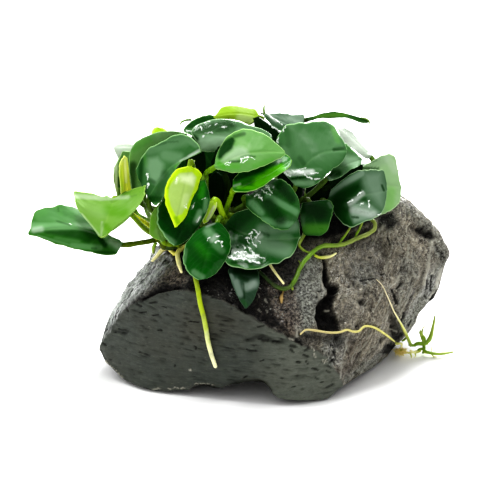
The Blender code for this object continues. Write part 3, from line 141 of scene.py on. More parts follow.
# ------------------------------------------------------------------ stone
# Corners of the stone on the sighting grid, with their depth.
STONE_SEEN = [
    # outline of the broad smooth front face, from its left corner clockwise
    (99, 348, -11), (103, 335, -9), (118, 315, -12), (131, 303, -17), (160, 293, -23), (190, 289, -28),
    (227, 302, -33), (256, 320, -36), (289, 340, -39), (318, 351, -38), (335, 367, -35), (342, 384, -30),
    (329, 397.5, -35), (300, 400.5, -40), (281, 399.5, -41), (148, 391.5, -29), (129, 384, -22), (112, 370, -15),
    # left edge, further back
    (103, 333, 2), (113, 316, 6), (121, 298, 8), (129, 287, 9), (138, 278, 10), (148, 265, 10), (160, 248, 12),
    # shoulder under the plant
    (172, 256, -8), (205, 264, -20), (262, 280, -25), (322, 258, -5), (348, 232, 4), (382, 205, 18),
    # right edge, from the top to the floor
    (402, 196, 27), (413, 202, 27), (425, 213, 26), (436, 225, 24), (448, 240, 22), (454, 253, 20), (447, 262, 20),
    (443, 274, 21), (437, 292, 22), (425, 307, 21), (414, 321, 19), (408, 332, 16), (390, 350, 13), (380, 360, 3),
    (362, 370, -9), (345, 383, -25),
]
# Corners that the front hides, in millimetres.
STONE_HIDDEN = [
    (-52, 22, 4), (-48, 28, 30), (-35, 32, 46), (-22, 36, 58), (-10, 41, 63.5), (2, 44, 66.5), (23, 46, 68), (44, 45, 68),
    (58, 40, 67), (74, 36, 40),
    (64, 38, 6), (30, 47, 5), (-10, 45, 3), (-38, 34, 4),
    (-42, 24, 0), (-36, 30, 0), (0, 41, 0), (36, 43, 0), (56, 33, 0), (60, 20, 0), (40, -20, 0), (-36, -29, 0),
    (14, -40, 0), (30, -38, 0), (-48, -10, 0),
]


def stone_planes():
    bm = bmesh.new()
    for g in STONE_SEEN:
        p = sight(*g)
        p += unit((p - STONE_CENTRE) * (1, 0.6, 1)) * STONE_SPREAD
        p[2] = max(p[2], 0.0)
        bm.verts.new(p)
    for p in STONE_HIDDEN:
        bm.verts.new(p)
    bmesh.ops.convex_hull(bm, input=bm.verts)
    bm.normal_update()
    normals = np.array([f.normal[:] for f in bm.faces])
    centres = np.array([f.calc_center_median()[:] for f in bm.faces])
    bm.free()
    reach = ((centres - STONE_CENTRE) * normals).sum(1)
    keep = reach > 1.0
    return normals[keep], reach[keep]


NORMALS, REACHES = stone_planes()


def around(n_ring=6, rings=2):
    offsets = [(0.0, 0.0)]
    for r in range(1, rings + 1):
        for i in range(n_ring):
            a = 2 * math.pi * (i + 0.5 * r) / n_ring
            offsets.append((r / rings * math.cos(a), r / rings * math.sin(a)))
    return np.array(offsets)


def stone_radius(d):
    """Distance from the stone's centre to its worn surface in the unit directions d."""
    side = np.cross(d, (0.13, 0.27, 0.95))
    side /= np.linalg.norm(side, axis=1)[:, None]
    other = np.cross(d, side)
    total = np.zeros(len(d))
    offsets = around()
    for a, b in offsets:
        e = d + STONE_ROUNDING * (a * side + b * other)
        e /= np.linalg.norm(e, axis=1)[:, None]
        total += 1.0 / (e @ NORMALS.T / REACHES).max(1)
    return total / len(offsets)


ARCH_X = [-35, -26, -19, -12, -6, 0, 5, 8.5, 11, 13]
ARCH_Z = [0, 2.8, 4.2, 4.3, 6.7, 8.8, 8.2, 6.2, 2.5, 0]


def bump(p, centre, radius):
    d2 = ((p - centre) ** 2).sum(1) / radius ** 2
    return np.exp(-d2)


def stone_points(d):
    """Points of the stone's surface in the unit directions d, in millimetres."""
    r = stone_radius(d)
    p = STONE_CENTRE + d * r[:, None]
    push = 1.1 * noise(p, 21.0, 3) + 0.6 * noise(p, 9.0, 5)
    # two swellings either side of the split on the sloping right side, and the dip between them
    push += 2.0 * bump(p, sight(306, 305, -24), 11)
    push += 2.6 * bump(p, sight(356, 300, -14), 12)
    push -= 3.2 * bump(p, sight(331, 318, -22), 8)
    push -= 1.8 * bump(p, sight(326, 275, -10), 7)
    push -= 1.6 * bump(p, sight(424, 233, 20), 7)
    # the smooth front face is flatter than the rest
    front = np.clip((-d[:, 1] - 0.55) * 3, 0, 1) * np.clip((40 - p[:, 2]) / 10, 0, 1) * np.clip((36 - p[:, 0]) / 12, 0, 1)
    push *= 1 - 0.75 * front
    # the underside is worn flat
    low = np.clip((6.0 - p[:, 2]) / 4.0, 0, 1)
    push = push * (1 - low) + 1.0 * low
    p = p + d * push[:, None]
    # low hollow under the front, where the stone stands clear of the floor
    roof = np.interp(p[:, 0], ARCH_X, ARCH_Z) * np.clip((-4.0 - p[:, 1]) / 14.0, 0, 1)
    p[:, 2] = np.where(p[:, 2] < roof, roof, p[:, 2])
    p[:, 2] = np.maximum(p[:, 2], 0.0)
    return p


def stone_inside(p):
    q = np.atleast_2d(p) - STONE_CENTRE
    r = np.linalg.norm(q, axis=1)
    s = stone_points(q / np.maximum(r, 1e-6)[:, None])
    return np.linalg.norm(s - STONE_CENTRE, axis=1) - r


def on_stone(gx, gy, lift):
    """Where the sight line through (gx, gy) meets the stone, moved back toward the eye until it is clear by lift."""
    d = ray(gx, gy)
    steps = np.linspace(SIGHT_DISTANCE - 80, SIGHT_DISTANCE + 90, 341)
    line = EYE + d * steps[:, None]
    inside = stone_inside(line)
    hit = np.argmax(inside > 0)
    if inside[hit] <= 0:
        raise ValueError("no stone at %s, %s" % (gx, gy))
    lo, hi = steps[hit - 1], steps[hit]
    for _ in range(12):
        m = (lo + hi) / 2
        if stone_inside(EYE + d * m)[0] > 0:
            hi = m
        else:
            lo = m
    p = EYE + d * hi
    e = 1.5
    inward = unit([stone_inside(p + e * a)[0] - stone_inside(p - e * a)[0] for a in np.eye(3)])
    return p - unit(d) * lift / max(0.35, unit(d) @ inward)


def cube_sphere(n):
    """Directions and quads of a sphere in six square patches."""
    index, dirs, quads = {}, [], []

    def at(face, i, j):
        a, b = math.tan((i / n - 0.5) * math.pi / 2), math.tan((j / n - 0.5) * math.pi / 2)
        v = {0: (1, a, b), 1: (-1, -a, b), 2: (-a, 1, b), 3: (a, -1, b), 4: (-b, a, 1), 5: (b, a, -1)}[face]
        key = tuple(round(x, 6) for x in unit(v))
        if key not in index:
            index[key] = len(dirs)
            dirs.append(unit(v))
        return index[key]

    for face in range(6):
        for i in range(n):
            for j in range(n):
                quads.append((at(face, i, j), at(face, i + 1, j), at(face, i + 1, j + 1), at(face, i, j + 1)))
    return np.array(dirs), quads


# ------------------------------------------------------------------ tubes and leaves
def smooth_line(points, per_span):
    """A Catmull-Rom line through the points."""
    p = np.array(points, float)
    p = np.vstack([2 * p[0] - p[1], p, 2 * p[-1] - p[-2]])
    out = []
    for i in range(1, len(p) - 2):
        for k in range(per_span):
            t = k / per_span
            a, b, c, d = p[i - 1], p[i], p[i + 1], p[i + 2]
            out.append(0.5 * (2 * b + (c - a) * t + (2 * a - 5 * b + 4 * c - d) * t * t + (3 * b - a - 3 * c + d) * t ** 3))
    out.append(p[-2])
    return np.array(out)


def resample(line, n):
    along = np.concatenate([[0], np.cumsum(np.linalg.norm(np.diff(line, axis=0), axis=1))])
    at = np.linspace(0, along[-1], n)
    return np.stack([np.interp(at, along, line[:, k]) for k in range(3)], axis=1)


def tangents(line):
    t = np.gradient(line, axis=0)
    return t / np.linalg.norm(t, axis=1)[:, None]


def carried(side, t_from, t_to):
    """side turned by the least turn that takes t_from to t_to."""
    axis = np.cross(t_from, t_to)
    s, c = np.linalg.norm(axis), float(t_from @ t_to)
    if s < 1e-9:
        return side
    axis /= s
    a = math.atan2(s, c)
    return side * math.cos(a) + np.cross(axis, side) * math.sin(a) + axis * (axis @ side) * (1 - math.cos(a))


def tube_rings(line, radii, sides):
    t = tangents(line)
    side = unit(np.cross(t[0], (0.31, 0.17, 0.93)))
    rings = []
    for i, p in enumerate(line):
        if i:
            side = carried(side, t[i - 1], t[i])
        side = unit(side - t[i] * (side @ t[i]))
        up = np.cross(t[i], side)
        a = np.arange(sides) * 2 * math.pi / sides
        rings.append(p + radii[i] * (np.cos(a)[:, None] * side + np.sin(a)[:, None] * up))
    return rings


def bezier(p0, p1, p2, p3, n):
    t = np.linspace(0, 1, n)[:, None]
    return (1 - t) ** 3 * p0 + 3 * t * (1 - t) ** 2 * p1 + 3 * t * t * (1 - t) * p2 + t ** 3 * p3


class Leaf:
    """A leaf with its stalk. Base, mid, tip and the two sides are places of the blade on the sighting grid.

    edge, where it is given, is the margin of the blade on that grid."""

    def __init__(self, name, base, mid, tip, side_a, side_b, foot, rise=0.45, lead=0.4, base_round=0.5, tip_round=0.68,
                 fold=1.7, lobe=0.10, wave=0.5, under=False, r=PETIOLE_R, via=None, tone="mature", edge=None, coarse=False):
        self.name, self.tone, self.fold, self.lobe, self.wave, self.r, self.coarse = name, tone, fold, lobe, wave, r, coarse
        self.base, self.mid, self.tip = sight(*base), sight(*mid), sight(*tip)
        a, b = sight(*side_a), sight(*side_b)
        self.ctrl = 2 * self.mid - (self.base + self.tip) / 2
        self.ea, self.eb = base_round, tip_round
        self.wide = self.ea / (self.ea + self.eb)
        m = self.line(self.wide)
        facing = np.cross(b - a, self.tip - self.base) @ (EYE - m)
        if (facing < 0) != under:
            a, b = b, a
        self.va, self.vb = a - m, b - m
        self.half = (self.vb - self.va) / 2
        self.cup = (self.vb + self.va) / 2
        self.width = np.linalg.norm(self.half)
        self.length = np.linalg.norm(self.mid - self.base) + np.linalg.norm(self.tip - self.mid)
        self.t_wide = self.tangent(self.wide)
        self.reach = None if edge is None else self.reaches(np.array(edge, float))
        # stalk from the rhizome to the blade
        self.foot, out = foot
        back = -self.tangent(0.0)
        d = np.linalg.norm(self.base - self.foot)
        p1 = self.foot + (unit(out + np.array([0, 0, 0.8]))) * d * rise
        p2 = self.base + back * d * lead
        if via is None:
            self.stalk = bezier(self.foot, p1, p2, self.base, 40)
        else:
            pts = [self.foot] + [sight(*v) for v in via] + [self.base + back * 2.0, self.base]
            self.stalk = smooth_line(pts, 10)

    def line(self, s):
        return (1 - s) ** 2 * self.base + 2 * s * (1 - s) * self.ctrl + s * s * self.tip

    def tangent(self, s):
        return unit(2 * (1 - s) * (self.ctrl - self.base) + 2 * s * (self.tip - self.ctrl))

    def across(self, s):
        """The half width and the cup of the blade at s, turned to follow the midrib."""
        tan = self.tangent(s)
        return carried(self.half, self.t_wide, tan), carried(self.cup, self.t_wide, tan)

    def reaches(self, polygon):
        """How far the blade reaches to either side along its length, so that its margin is the polygon."""
        at = np.linspace(0, 1, 49)
        f = np.linspace(0, 2.4, 121)
        both = []
        for side in (-1, 1):
            reach = []
            for s in at:
                half, cup = self.across(s)
                inside = enclosed(seen(self.line(s) + f[:, None] * (side * half + cup)), polygon)
                start = int(np.argmax(inside))
                if not inside.any() or start > 8:
                    reach.append(0.0)
                else:
                    rest = inside[start:]
                    reach.append(f[-1] if rest.all() else f[start + int(np.argmin(rest)) - 1])
            both.append(np.convolve(np.pad(reach, 1, "edge"), (0.25, 0.5, 0.25), "valid"))
        return at, both[0], both[1]

    def outline(self, s, t):
        """The width of the blade at s, as a part of its greatest, on the side that t lies on."""
        if self.reach is not None:
            at, low, high = self.reach
            return np.where(t < 0, np.interp(s, at, low), np.interp(s, at, high))
        m = self.wide
        return (s / m) ** self.ea * ((1 - s) / (1 - m)) ** self.eb * np.ones_like(t)

    def ring(self, s, thetas, thick, rib):
        """One closed ring across the blade at s."""
        tan = self.tangent(s)
        half = carried(self.half, self.t_wide, tan)
        cup = carried(self.cup, self.t_wide, tan)
        side = unit(half - tan * (half @ tan))
        normal = unit(np.cross(side, tan))
        t = np.cos(thetas)
        k = np.sin(thetas)
        f = self.outline(min(max(s, 0.0), 1.0), t) * min(1.0, s / 0.02)
        least = self.r / self.width * max(0.0, 1 - s / 0.12) + 0.25 / self.width
        f = np.hypot(f, least)
        back = self.lobe * self.length * (np.abs(t) ** 2) * max(0.0, 1 - s / self.wide) ** 1.5 * min(1.0, s / 0.03)
        ripple = self.wave * np.abs(t) ** 3 * np.sin(9.0 * s + 2.0 * np.sign(t) + len(self.name)) * min(1.0, s * 4)
        centre = self.line(s)
        p = centre + f[:, None] * (half * t[:, None] + cup * (np.abs(t) ** self.fold)[:, None]) - tan * back[:, None] + normal * ripple[:, None]
        depth = np.where(k > 0, thick / 2, thick / 2 + rib * np.exp(-((t * f * self.width / max(self.r, 0.5)) ** 2)))
        return p + normal * (depth * k)[:, None]

    def rings(self, stalk_rings, blade_rings, points, thick):
        thetas = np.arange(points) * 2 * math.pi / points
        line = resample(self.stalk, stalk_rings + 1)
        t = tangents(line)
        tan0 = self.tangent(0.0)
        half = carried(self.half, self.t_wide, tan0)
        side = unit(half - tan0 * (half @ tan0))
        frames, last = [], tan0
        for i in range(stalk_rings, -1, -1):
            side = carried(side, last, t[i])
            side = unit(side - t[i] * (side @ t[i]))
            last = t[i]
            frames.append((line[i], side, np.cross(side, t[i])))
        frames.reverse()
        rings = []
        for i, (p, sd, up) in enumerate(frames[:-1]):
            u = i / stalk_rings
            r = PETIOLE_BASE_R * (1 - u) + self.r * u
            rings.append(p + r * (np.cos(thetas)[:, None] * sd + np.sin(thetas)[:, None] * up))
        for i in range(blade_rings + 1):
            s = (i / blade_rings) ** 1.15 * 0.985
            into = min(1.0, s / 0.10)
            th = 2 * self.r * (1 - into) + thick * into
            rib = (1 - s) * self.r * 0.7 * into
            rings.append(self.ring(max(s, 0.0), thetas, th, rib))
        return rings


# ------------------------------------------------------------------ rhizome, the creeping stem
RHIZOME_MAIN = [(-37, -9), (-25, -5), (-11, -3), (3, 0), (15, 4)]
RHIZOME_BRANCH = [(22, 6), (30, 8.5), (38, 11.5), (46, 15)]


def stone_top(x, y):
    """Height of the stone's upper surface over the place (x, y)."""
    z = np.linspace(90, 20, 281)
    p = np.stack([np.full_like(z, x), np.full_like(z, y), z], axis=1)
    return z[int(np.argmax(stone_inside(p) > 0))]


def rhizome_line(points):
    """The creeping stem's centre line, laid over the high places of the stone."""
    flat = smooth_line([(x, y, 0.0) for x, y in points], 12)
    high = np.array([max(stone_top(x, y + dy) for dy in (-2.5, 0.0, 2.5)) for x, y, _ in flat])
    fit = np.polyfit(flat[:, 0], high, 2)
    line = np.polyval(fit, flat[:, 0])
    flat[:, 2] = line + (high - line).max() + RHIZOME_R + GAP + 0.4
    return flat


MAIN, BRANCH = rhizome_line(RHIZOME_MAIN), rhizome_line(RHIZOME_BRANCH)


def foot(which, u, out):
    """Where a stalk leaves the rhizome: its place u along it, and the way that it leaves."""
    line = MAIN if which == "main" else BRANCH
    at = resample(line, 101)[int(round(u * 100))]
    t = tangents(resample(line, 101))[int(round(u * 100))]
    o = np.array(out, float)
    o = unit(o - t * (o @ t))
    return at + o * (RHIZOME_R * 1.05 + GAP + 0.75), o


# ------------------------------------------------------------------ leaves
# base, mid, tip and the two widest places of each blade on the sighting grid, then where the stalk starts.
LEAVES = [
    Leaf("leaf_01", (122, 245, -7), (76, 229, -9), (28, 234, -13), (62, 205, 6), (78, 251, -17),
         foot("main", 0.0, (-0.4, -0.8, 0.2)), fold=1.3, wave=0.4, lobe=0.03, rise=0.3,
         edge=[(27, 236), (29, 230), (30.5, 225), (31.5, 219), (34, 213), (38, 209.5), (43, 208), (50, 207.5), (56, 206), (60, 204.3),
               (65, 205.3), (74, 206), (82, 211), (92, 220), (102, 230), (112, 237), (121, 240.5), (123, 245), (122.5, 250), (119, 252.8),
               (110, 254.3), (102, 254.6), (92, 253.5), (80, 251), (66, 246.5), (50, 241.5), (38, 237.5)]),
    Leaf("leaf_02", (114, 200, 2), (108, 216, -8), (101.2, 238.5, -16), (74, 191, 1), (145, 186, -5),
         foot("main", 0.05, (0, 0.1, 1)), fold=1.8, wave=0.2, lobe=0.05,
         edge=[(73, 191.5), (78, 191), (86, 192.3), (94, 194), (101, 197.5), (110, 196.5), (120, 194.5), (130, 190.5), (138, 187.5),
               (145.5, 185), (146, 191), (143, 200), (138, 207.5), (131, 214.5), (124, 219.5), (117, 225), (112, 230.5), (107, 235),
               (101, 239), (98.5, 236.5), (94, 230), (88, 222.5), (81, 214.5), (76.5, 207), (74, 198)],
         via=[(148, 231, -5), (131, 214, 3), (118, 202, 6)], tone="young"),
    Leaf("leaf_03", (127, 205, 7), (125, 180, 4), (123.5, 156, 3), (118, 173, 1), (131, 175, 6),
         foot("main", 0.0, (0, 0.9, 0.6)), lobe=0, wave=0.2, tone="yellow",
         edge=[(119.5, 163), (121.5, 158.5), (124.5, 155.5), (127.8, 158), (128.5, 167), (129.7, 177), (131, 186), (132, 196), (131, 206),
               (123, 206), (121, 194), (119.8, 185), (118.8, 174)]),
    Leaf("leaf_04", (132, 205, 15), (127, 178, 14), (123, 151, 16), (113, 176, 10), (142, 174, 17),
         foot("main", 0.06, (0, 1, 0.3)), lobe=0.03,
         edge=[(113, 174), (114, 168), (116.5, 162.5), (119, 157), (122, 151), (132, 151), (139, 158), (142, 170), (141, 185), (136, 204),
               (120, 204), (116.3, 194), (114, 186), (112.8, 180)]),
    Leaf("leaf_05", (149.5, 199.3, -8.1), (170, 168, -4.6), (201.8, 151.2, -5.1), (160, 137, 6), (167, 181.2, -12.9),
         foot("main", 0.13, (0, -0.4, 1)), lobe=0.02, fold=1.6, wave=0.3,
         edge=[(145, 187), (141, 186.5), (136.5, 187), (135.2, 180), (135, 172), (137.5, 164), (141, 156.5), (145, 151.5), (150, 148),
               (156, 144.5), (162, 140.5), (168, 137), (174, 134.5), (180, 133.6), (186, 133.8), (190, 135.7), (194, 139.5), (198, 143.5),
               (200.5, 147.5), (200.3, 151), (197, 154), (190, 157.5), (182.5, 161), (178, 165.5), (175.5, 170.5), (171, 176), (167.5, 182.5),
               (165.5, 189), (163.5, 195.5), (160.5, 201.5), (156, 204.3), (151.5, 203), (148.5, 197.5), (147, 191)]),
    Leaf("leaf_06", (139, 195, 11), (152, 161, 12), (188, 135, 14), (129, 150, 8), (178, 176, 16),
         foot("main", 0.22, (0, 0.7, 0.8)), lobe=0.02,
         edge=[(132, 192), (130, 178), (128.5, 165), (128.3, 155), (130, 148), (136, 142.3), (144, 137.2), (152, 133.8), (160, 131.8),
               (170, 130.8), (180, 131.2), (188, 133.5), (192, 140), (189, 152), (180, 165), (165, 178), (152, 188), (142, 193)]),
    Leaf("leaf_07", (165, 172, 19), (161, 148, 19), (160, 127.8, 19), (151, 142, 18), (172, 145, 20),
         foot("main", 0.3, (0, 1, 0.3)), tone="yellow", coarse=True),
    Leaf("leaf_08", (234, 144, 27), (208, 130, 22), (183, 130, 17), (209, 115, 28), (212, 146, 15),
         foot("main", 0.5, (0, 1, 0.3)), lobe=0.03,
         edge=[(182.5, 132.8), (184, 128), (187, 124.3), (192, 120.6), (200, 116.8), (208, 114.8), (215, 114.3), (222, 116), (232, 123),
               (240, 134), (238, 146), (222, 148), (202, 141), (191, 135.5)],
         via=[(232, 212, 14), (236, 184, 21), (238, 160, 26)]),
    Leaf("leaf_09", (272, 147, 7), (233, 138, 6), (191, 133.5, 4), (236, 119.5, 13), (222, 157, 3),
         foot("main", 0.54, (0, 0.5, 0.9)), lobe=0.03,
         edge=[(191, 131.5), (193, 127.5), (197, 124.3), (205, 121.3), (213, 119.3), (222, 118.8), (230, 119.3), (240, 121.7), (250, 124.7),
               (258, 127.3), (266, 131.3), (272, 136), (277, 141), (275, 148), (262, 155), (245, 156.5), (230, 155), (216, 152.7),
               (208, 151.7), (201, 151.2), (199, 146), (195, 141), (192, 136)],
         via=[(248, 202, 1), (270, 178, 3), (279, 158, 6)]),
    Leaf("leaf_10", (215.5, 167, -13), (248, 154, -15), (285.5, 153, -13), (241, 128.5, -3), (246, 172.8, -21),
         foot("main", 0.44, (0, 0.1, 1)), fold=1.9, lobe=0.02, wave=0.2,
         edge=[(214.8, 168), (215.8, 162.5), (217, 155), (220, 147), (224, 141), (228, 136.3), (234, 131.7), (240, 129.2), (248, 128.6),
               (256, 130.2), (264, 133.7), (270, 137.6), (275, 141.6), (280, 146), (284, 150), (285.8, 154), (282, 157.7), (274, 161.3),
               (265, 165.7), (257, 169.3), (248, 171.8), (240, 172.8), (232, 172.4), (225, 170.5), (219, 169)],
         via=[(212, 215, 1), (205, 190, 0), (205, 175, -6)], tone="bright"),
    Leaf("leaf_11", (233, 189.5, -15), (262, 177, -13), (292, 160, -7), (252, 160, -6), (266, 189, -19),
         foot("main", 0.6, (0, -0.3, 1)), lobe=0.02, wave=0.2, tone="bright",
         edge=[(232.5, 191), (232, 184), (236, 176), (245, 166), (262, 158), (278, 152), (285, 153.5), (289, 155.5), (292, 160),
               (291, 165.5), (285.5, 170.5), (278, 175.5), (270, 181.3), (263, 186.3), (255, 189.8), (248, 191.6), (240, 192.2), (236, 191.5)]),
    Leaf("leaf_12", (190, 166, -17), (183, 195, -22), (175, 228, -27), (164.5, 191, -22), (199, 184, -17),
         foot("main", 0.27, (0, 0.2, 1)), fold=2.0, lobe=0.0, wave=0.5,
         edge=[(163.8, 197), (165, 190), (166.3, 184), (169, 179), (172, 174.5), (175, 170.5), (177, 167.8), (183, 167.3), (189, 166.6),
               (194, 167.6), (198, 169.3), (201, 172.5), (202.5, 176), (199.3, 180), (198.5, 186), (197.5, 190.5), (194, 196), (191.5, 202),
               (189.3, 209), (186.7, 215), (183.5, 220), (179, 223.8), (175, 228.3), (173.2, 223.5), (170.7, 218), (167.7, 211), (165, 204)],
         via=[(196, 225, -1), (197, 195, -3), (194, 171, -8)], tone="yellow"),
    Leaf("leaf_13", (204, 180, -8), (190, 212, -15), (174, 246, -21), (157, 213, -17), (211, 206, -13),
         foot("main", 0.34, (0, -0.2, 1)), lobe=0.02, wave=0.3,
         edge=[(203, 179), (206.5, 185.5), (209, 192), (210, 198), (209.3, 205), (206.8, 212), (203.2, 219), (199.2, 226.7), (194, 233),
               (189, 239), (182, 243.8), (175.5, 246.3), (169, 243), (165, 237.5), (161, 232), (157.5, 226), (156, 218), (157, 210),
               (160, 203), (165, 196), (180, 184), (195, 178)],
         via=[(204, 226, -7), (206, 200, -5.5)], tone="glossy"),
    Leaf("leaf_14", (212, 200, -8.7), (211, 210, -9.5), (204, 224, -11), (204.5, 207, -7.5), (217.5, 206, -10),
         foot("main", 0.52, (0, -0.5, 0.9)), lobe=0, wave=0.1, tone="yellow", r=1.3,
         edge=[(209, 194), (213.5, 196.5), (217.3, 201.5), (217, 207), (213, 214.5), (208, 221.7), (203.5, 224), (202, 221), (206, 213),
               (209, 204)],
         via=[(223, 215, -8), (219.5, 206.5, -8.3), (216, 200.5, -8.5)]),
    Leaf("leaf_15", (163, 241.5, -15), (159, 222, -13), (161.5, 201, -11), (149.5, 227, -13), (171, 222, -11),
         foot("main", 0.11, (0, -1, 0.0)), lobe=0, wave=0.2, tone="young", rise=0.2, lead=0.2,
         edge=[(161, 201), (155.5, 207.3), (151, 214), (149.7, 220), (149.2, 227), (149.3, 234), (152, 237.8), (158, 240), (164, 241.3),
               (169, 241.5), (172, 232), (171, 222), (168, 208)]),
    Leaf("leaf_16", (217, 223, -20), (208, 250, -28), (199.5, 280.3, -32), (183, 256, -28), (231.5, 245, -24),
         foot("main", 0.48, (0, -1, 0.3)), fold=2.2, lobe=0.02, wave=0.2, tone="glossy",
         edge=[(212, 220.8), (206, 223.3), (200, 227.7), (195, 232.3), (190, 238), (186, 243.3), (183.8, 248.5), (182.8, 255), (182.8, 262),
               (184.8, 268), (188, 272.7), (193, 277.7), (197, 279.8), (203, 280), (210, 277.3), (216, 274), (220, 269.3), (223.3, 264),
               (227, 259), (229.3, 254), (230.8, 248.5), (231.3, 243), (230, 236), (227, 231), (222.5, 226), (218.5, 222.5)]),
    Leaf("leaf_17", (226.5, 223.9, -12), (260, 237.8, -18.5), (301.4, 237.4, -14.5), (261.1, 207.3, -13.4), (248.6, 267, -30.5),
         foot("main", 0.64, (0, -1, 0.2)), lobe=0.02, wave=0.7, fold=1.5, tone="wet",
         edge=[(220, 225.5), (226, 221), (232, 216.3), (238, 212.3), (244, 209.8), (252, 208), (270, 206), (290, 206.5), (296, 209),
               (298.7, 214), (299.7, 222), (300, 232), (299.2, 240), (296.7, 249), (293.2, 255), (289, 258.2), (285, 258.8), (281.5, 262.2),
               (278, 264.3), (272, 265), (268, 266.3), (262, 268.8), (254, 270), (246, 269.5), (238, 268.5), (232, 266.5), (225, 263.5),
               (223, 250), (221, 236)]),
    Leaf("leaf_18", (247, 197, -10), (274, 203, -18), (298, 217.5, -16), (283, 181, -9), (264, 222.5, -20),
         foot("main", 0.7, (0, -0.6, 0.9)), fold=1.3, lobe=0.02, wave=0.3,
         edge=[(244.7, 199), (245.7, 205), (250, 210.3), (255, 214.8), (262, 220.3), (268, 224.8), (274, 228.8), (281, 230.3), (289, 229.8),
               (295, 226.2), (297.7, 220), (299, 214), (299.4, 206), (298.2, 198), (295.2, 191.7), (290.5, 184.5), (284, 180), (276, 178),
               (268, 181.5), (262, 186.5), (256, 191.5), (250, 196.5)]),
    Leaf("leaf_19", (296, 186, -4), (315, 157, 0), (347, 152, 5), (297, 124, 15), (325, 177, -6),
         foot("main", 0.86, (0, -0.1, 1)), fold=1.8, lobe=0.02, wave=0.4, tone="wet",
         edge=[(275.5, 140), (278.7, 134), (281, 129.3), (285, 126.3), (290, 124.2), (297, 122.8), (305, 121.8), (315, 120.8), (323, 120.3),
               (328, 120.8), (331.5, 122.8), (335, 125), (336.5, 130), (339, 135), (341.5, 139), (344, 143), (346, 147), (347.2, 152),
               (345.7, 157), (343, 161.2), (340, 164.7), (336, 167.2), (332.5, 169.3), (330, 172.3), (326, 176.3), (321, 180.3), (316, 184.3),
               (308, 186.8), (300, 188), (294, 187.7), (290.5, 184.7), (285.5, 182), (281.5, 178), (278, 170), (275, 155)]),
    Leaf("leaf_20", (327, 179, 5), (345, 166, 9), (362, 160.5, 12), (345, 147, 15), (347, 173.5, 4),
         foot("main", 0.97, (0, -0.3, 1)), lobe=0.02,
         edge=[(326, 180.3), (331, 171), (338, 160), (344, 150), (344.5, 142.5), (350, 146.7), (355.5, 151.2), (361.5, 158.8), (362, 163),
               (357, 167.3), (350, 170.8), (344, 174.3), (338, 177.8), (332, 180)],
         via=[(300, 201, 3), (313, 192, 4)]),
    Leaf("leaf_21", (328, 202, 3.2), (362.2, 195.9, -1.5), (387.5, 190.3, 1.4), (361, 169.9, 3.9), (355.9, 228, -10.4),
         foot("branch", 0.36, (0, -0.6, 0.8)), lobe=0.02, fold=1.6, wave=0.3, tone="wet",
         edge=[(326.2, 198.3), (329, 193.7), (333, 188.3), (338, 183.8), (343, 179.7), (348, 175.7), (354, 172.2), (360, 170.2), (368, 169.2),
               (376, 169.2), (383.3, 170.2), (385, 175), (386, 182), (387, 190), (386.7, 198), (385.2, 206), (383.2, 212), (380, 215.3),
               (375, 218.3), (370, 220.8), (363, 223.3), (357, 225.8), (350, 228), (343, 224.5), (337, 217), (332.5, 208.5), (328.5, 203)]),
    Leaf("leaf_22", (352.3, 187.8, 17), (378.5, 185.9, 12), (401.9, 187.6, 12), (380.9, 151.4, 18.5), (384.7, 217.2, 3.5),
         foot("branch", 0.62, (0, 0.1, 1)), lobe=0.0, wave=0.2,
         edge=[(361.5, 166.7), (368, 162.7), (376, 159.2), (379, 156.2), (384, 154), (388, 153.3), (393.5, 154.6), (396.4, 158), (397.4, 165),
               (398.4, 173), (399.5, 180), (401, 187), (401.3, 193), (400.5, 200), (399, 204.4), (395, 208.3), (390, 211.8), (385, 214.3),
               (380, 215.3), (368, 212), (358, 202), (352, 188), (354, 174)]),
    Leaf("leaf_23", (309, 202, -6), (314, 218, -9), (320, 236, -12), (300, 217, -8), (334, 211, -6),
         foot("branch", 0.04, (0, -0.7, 0.7)), lobe=0.02, wave=0.3, lead=0.2, tone="dark",
         edge=[(302, 203.3), (312, 201.3), (322, 200.8), (329, 200.3), (332.3, 201.8), (333.8, 206), (333.3, 212), (331.7, 218), (330, 224),
               (328, 230), (325, 233.8), (320, 235.3), (312, 235.8), (305, 236.2), (301.8, 230), (300.3, 220), (300.5, 210)]),
    Leaf("leaf_24", (243, 266, -25), (245, 287, -35), (245.5, 309, -40), (228.5, 278, -32), (260, 279, -32),
         foot("main", 0.78, (0, -1, 0)), lobe=0.0, wave=0.2, tone="dark", rise=0.6,
         edge=[(227.5, 269), (232, 266), (240, 265), (250, 265), (257, 268), (259.5, 276), (259.7, 284), (257.2, 291), (254.2, 299),
               (251, 304.3), (248, 307), (245.7, 309), (243.2, 306.3), (239.8, 301), (236.3, 294), (232.8, 286), (230, 278)]),
    Leaf("leaf_25", (258, 117, 26), (238, 114, 25), (213.3, 116.5, 24), (238, 106, 34), (237, 122.5, 21),
         foot("main", 0.58, (0, 1, 0.5)), lobe=0.0, wave=0.2, tone="yellow",
         edge=[(213, 118), (215.7, 114.3), (218.8, 109.8), (222, 107.2), (226, 106.2), (234, 106.4), (242, 106.6), (250, 108.2), (257, 109.8),
               (260.3, 112), (258.3, 116.5), (255.8, 120.3), (252, 124.3), (249, 124.8), (242, 122.3), (233, 119.3), (224, 119.3), (216, 119.3)],
         via=[(246, 160, 24), (255, 136, 26)]),
    Leaf("leaf_26", (302, 135, 27), (283, 122, 31), (260, 113, 32), (287, 114, 38), (279, 131, 26),
         foot("main", 0.79, (0, 1, 0.5)), lobe=0.0,
         edge=[(261, 112.3), (268, 113), (280, 113.7), (292, 114.2), (304, 113.8), (305.7, 117), (305, 123), (300, 130), (294, 134.5),
               (286, 134.5), (279.3, 131), (272, 124.5), (265, 118)],
         via=[(275, 190, 13), (298, 158, 24)]),
    Leaf("leaf_27", (306, 120, 44), (336, 113.5, 43), (368.5, 121.5, 40), (338, 112.8, 52), (339, 118.2, 35),
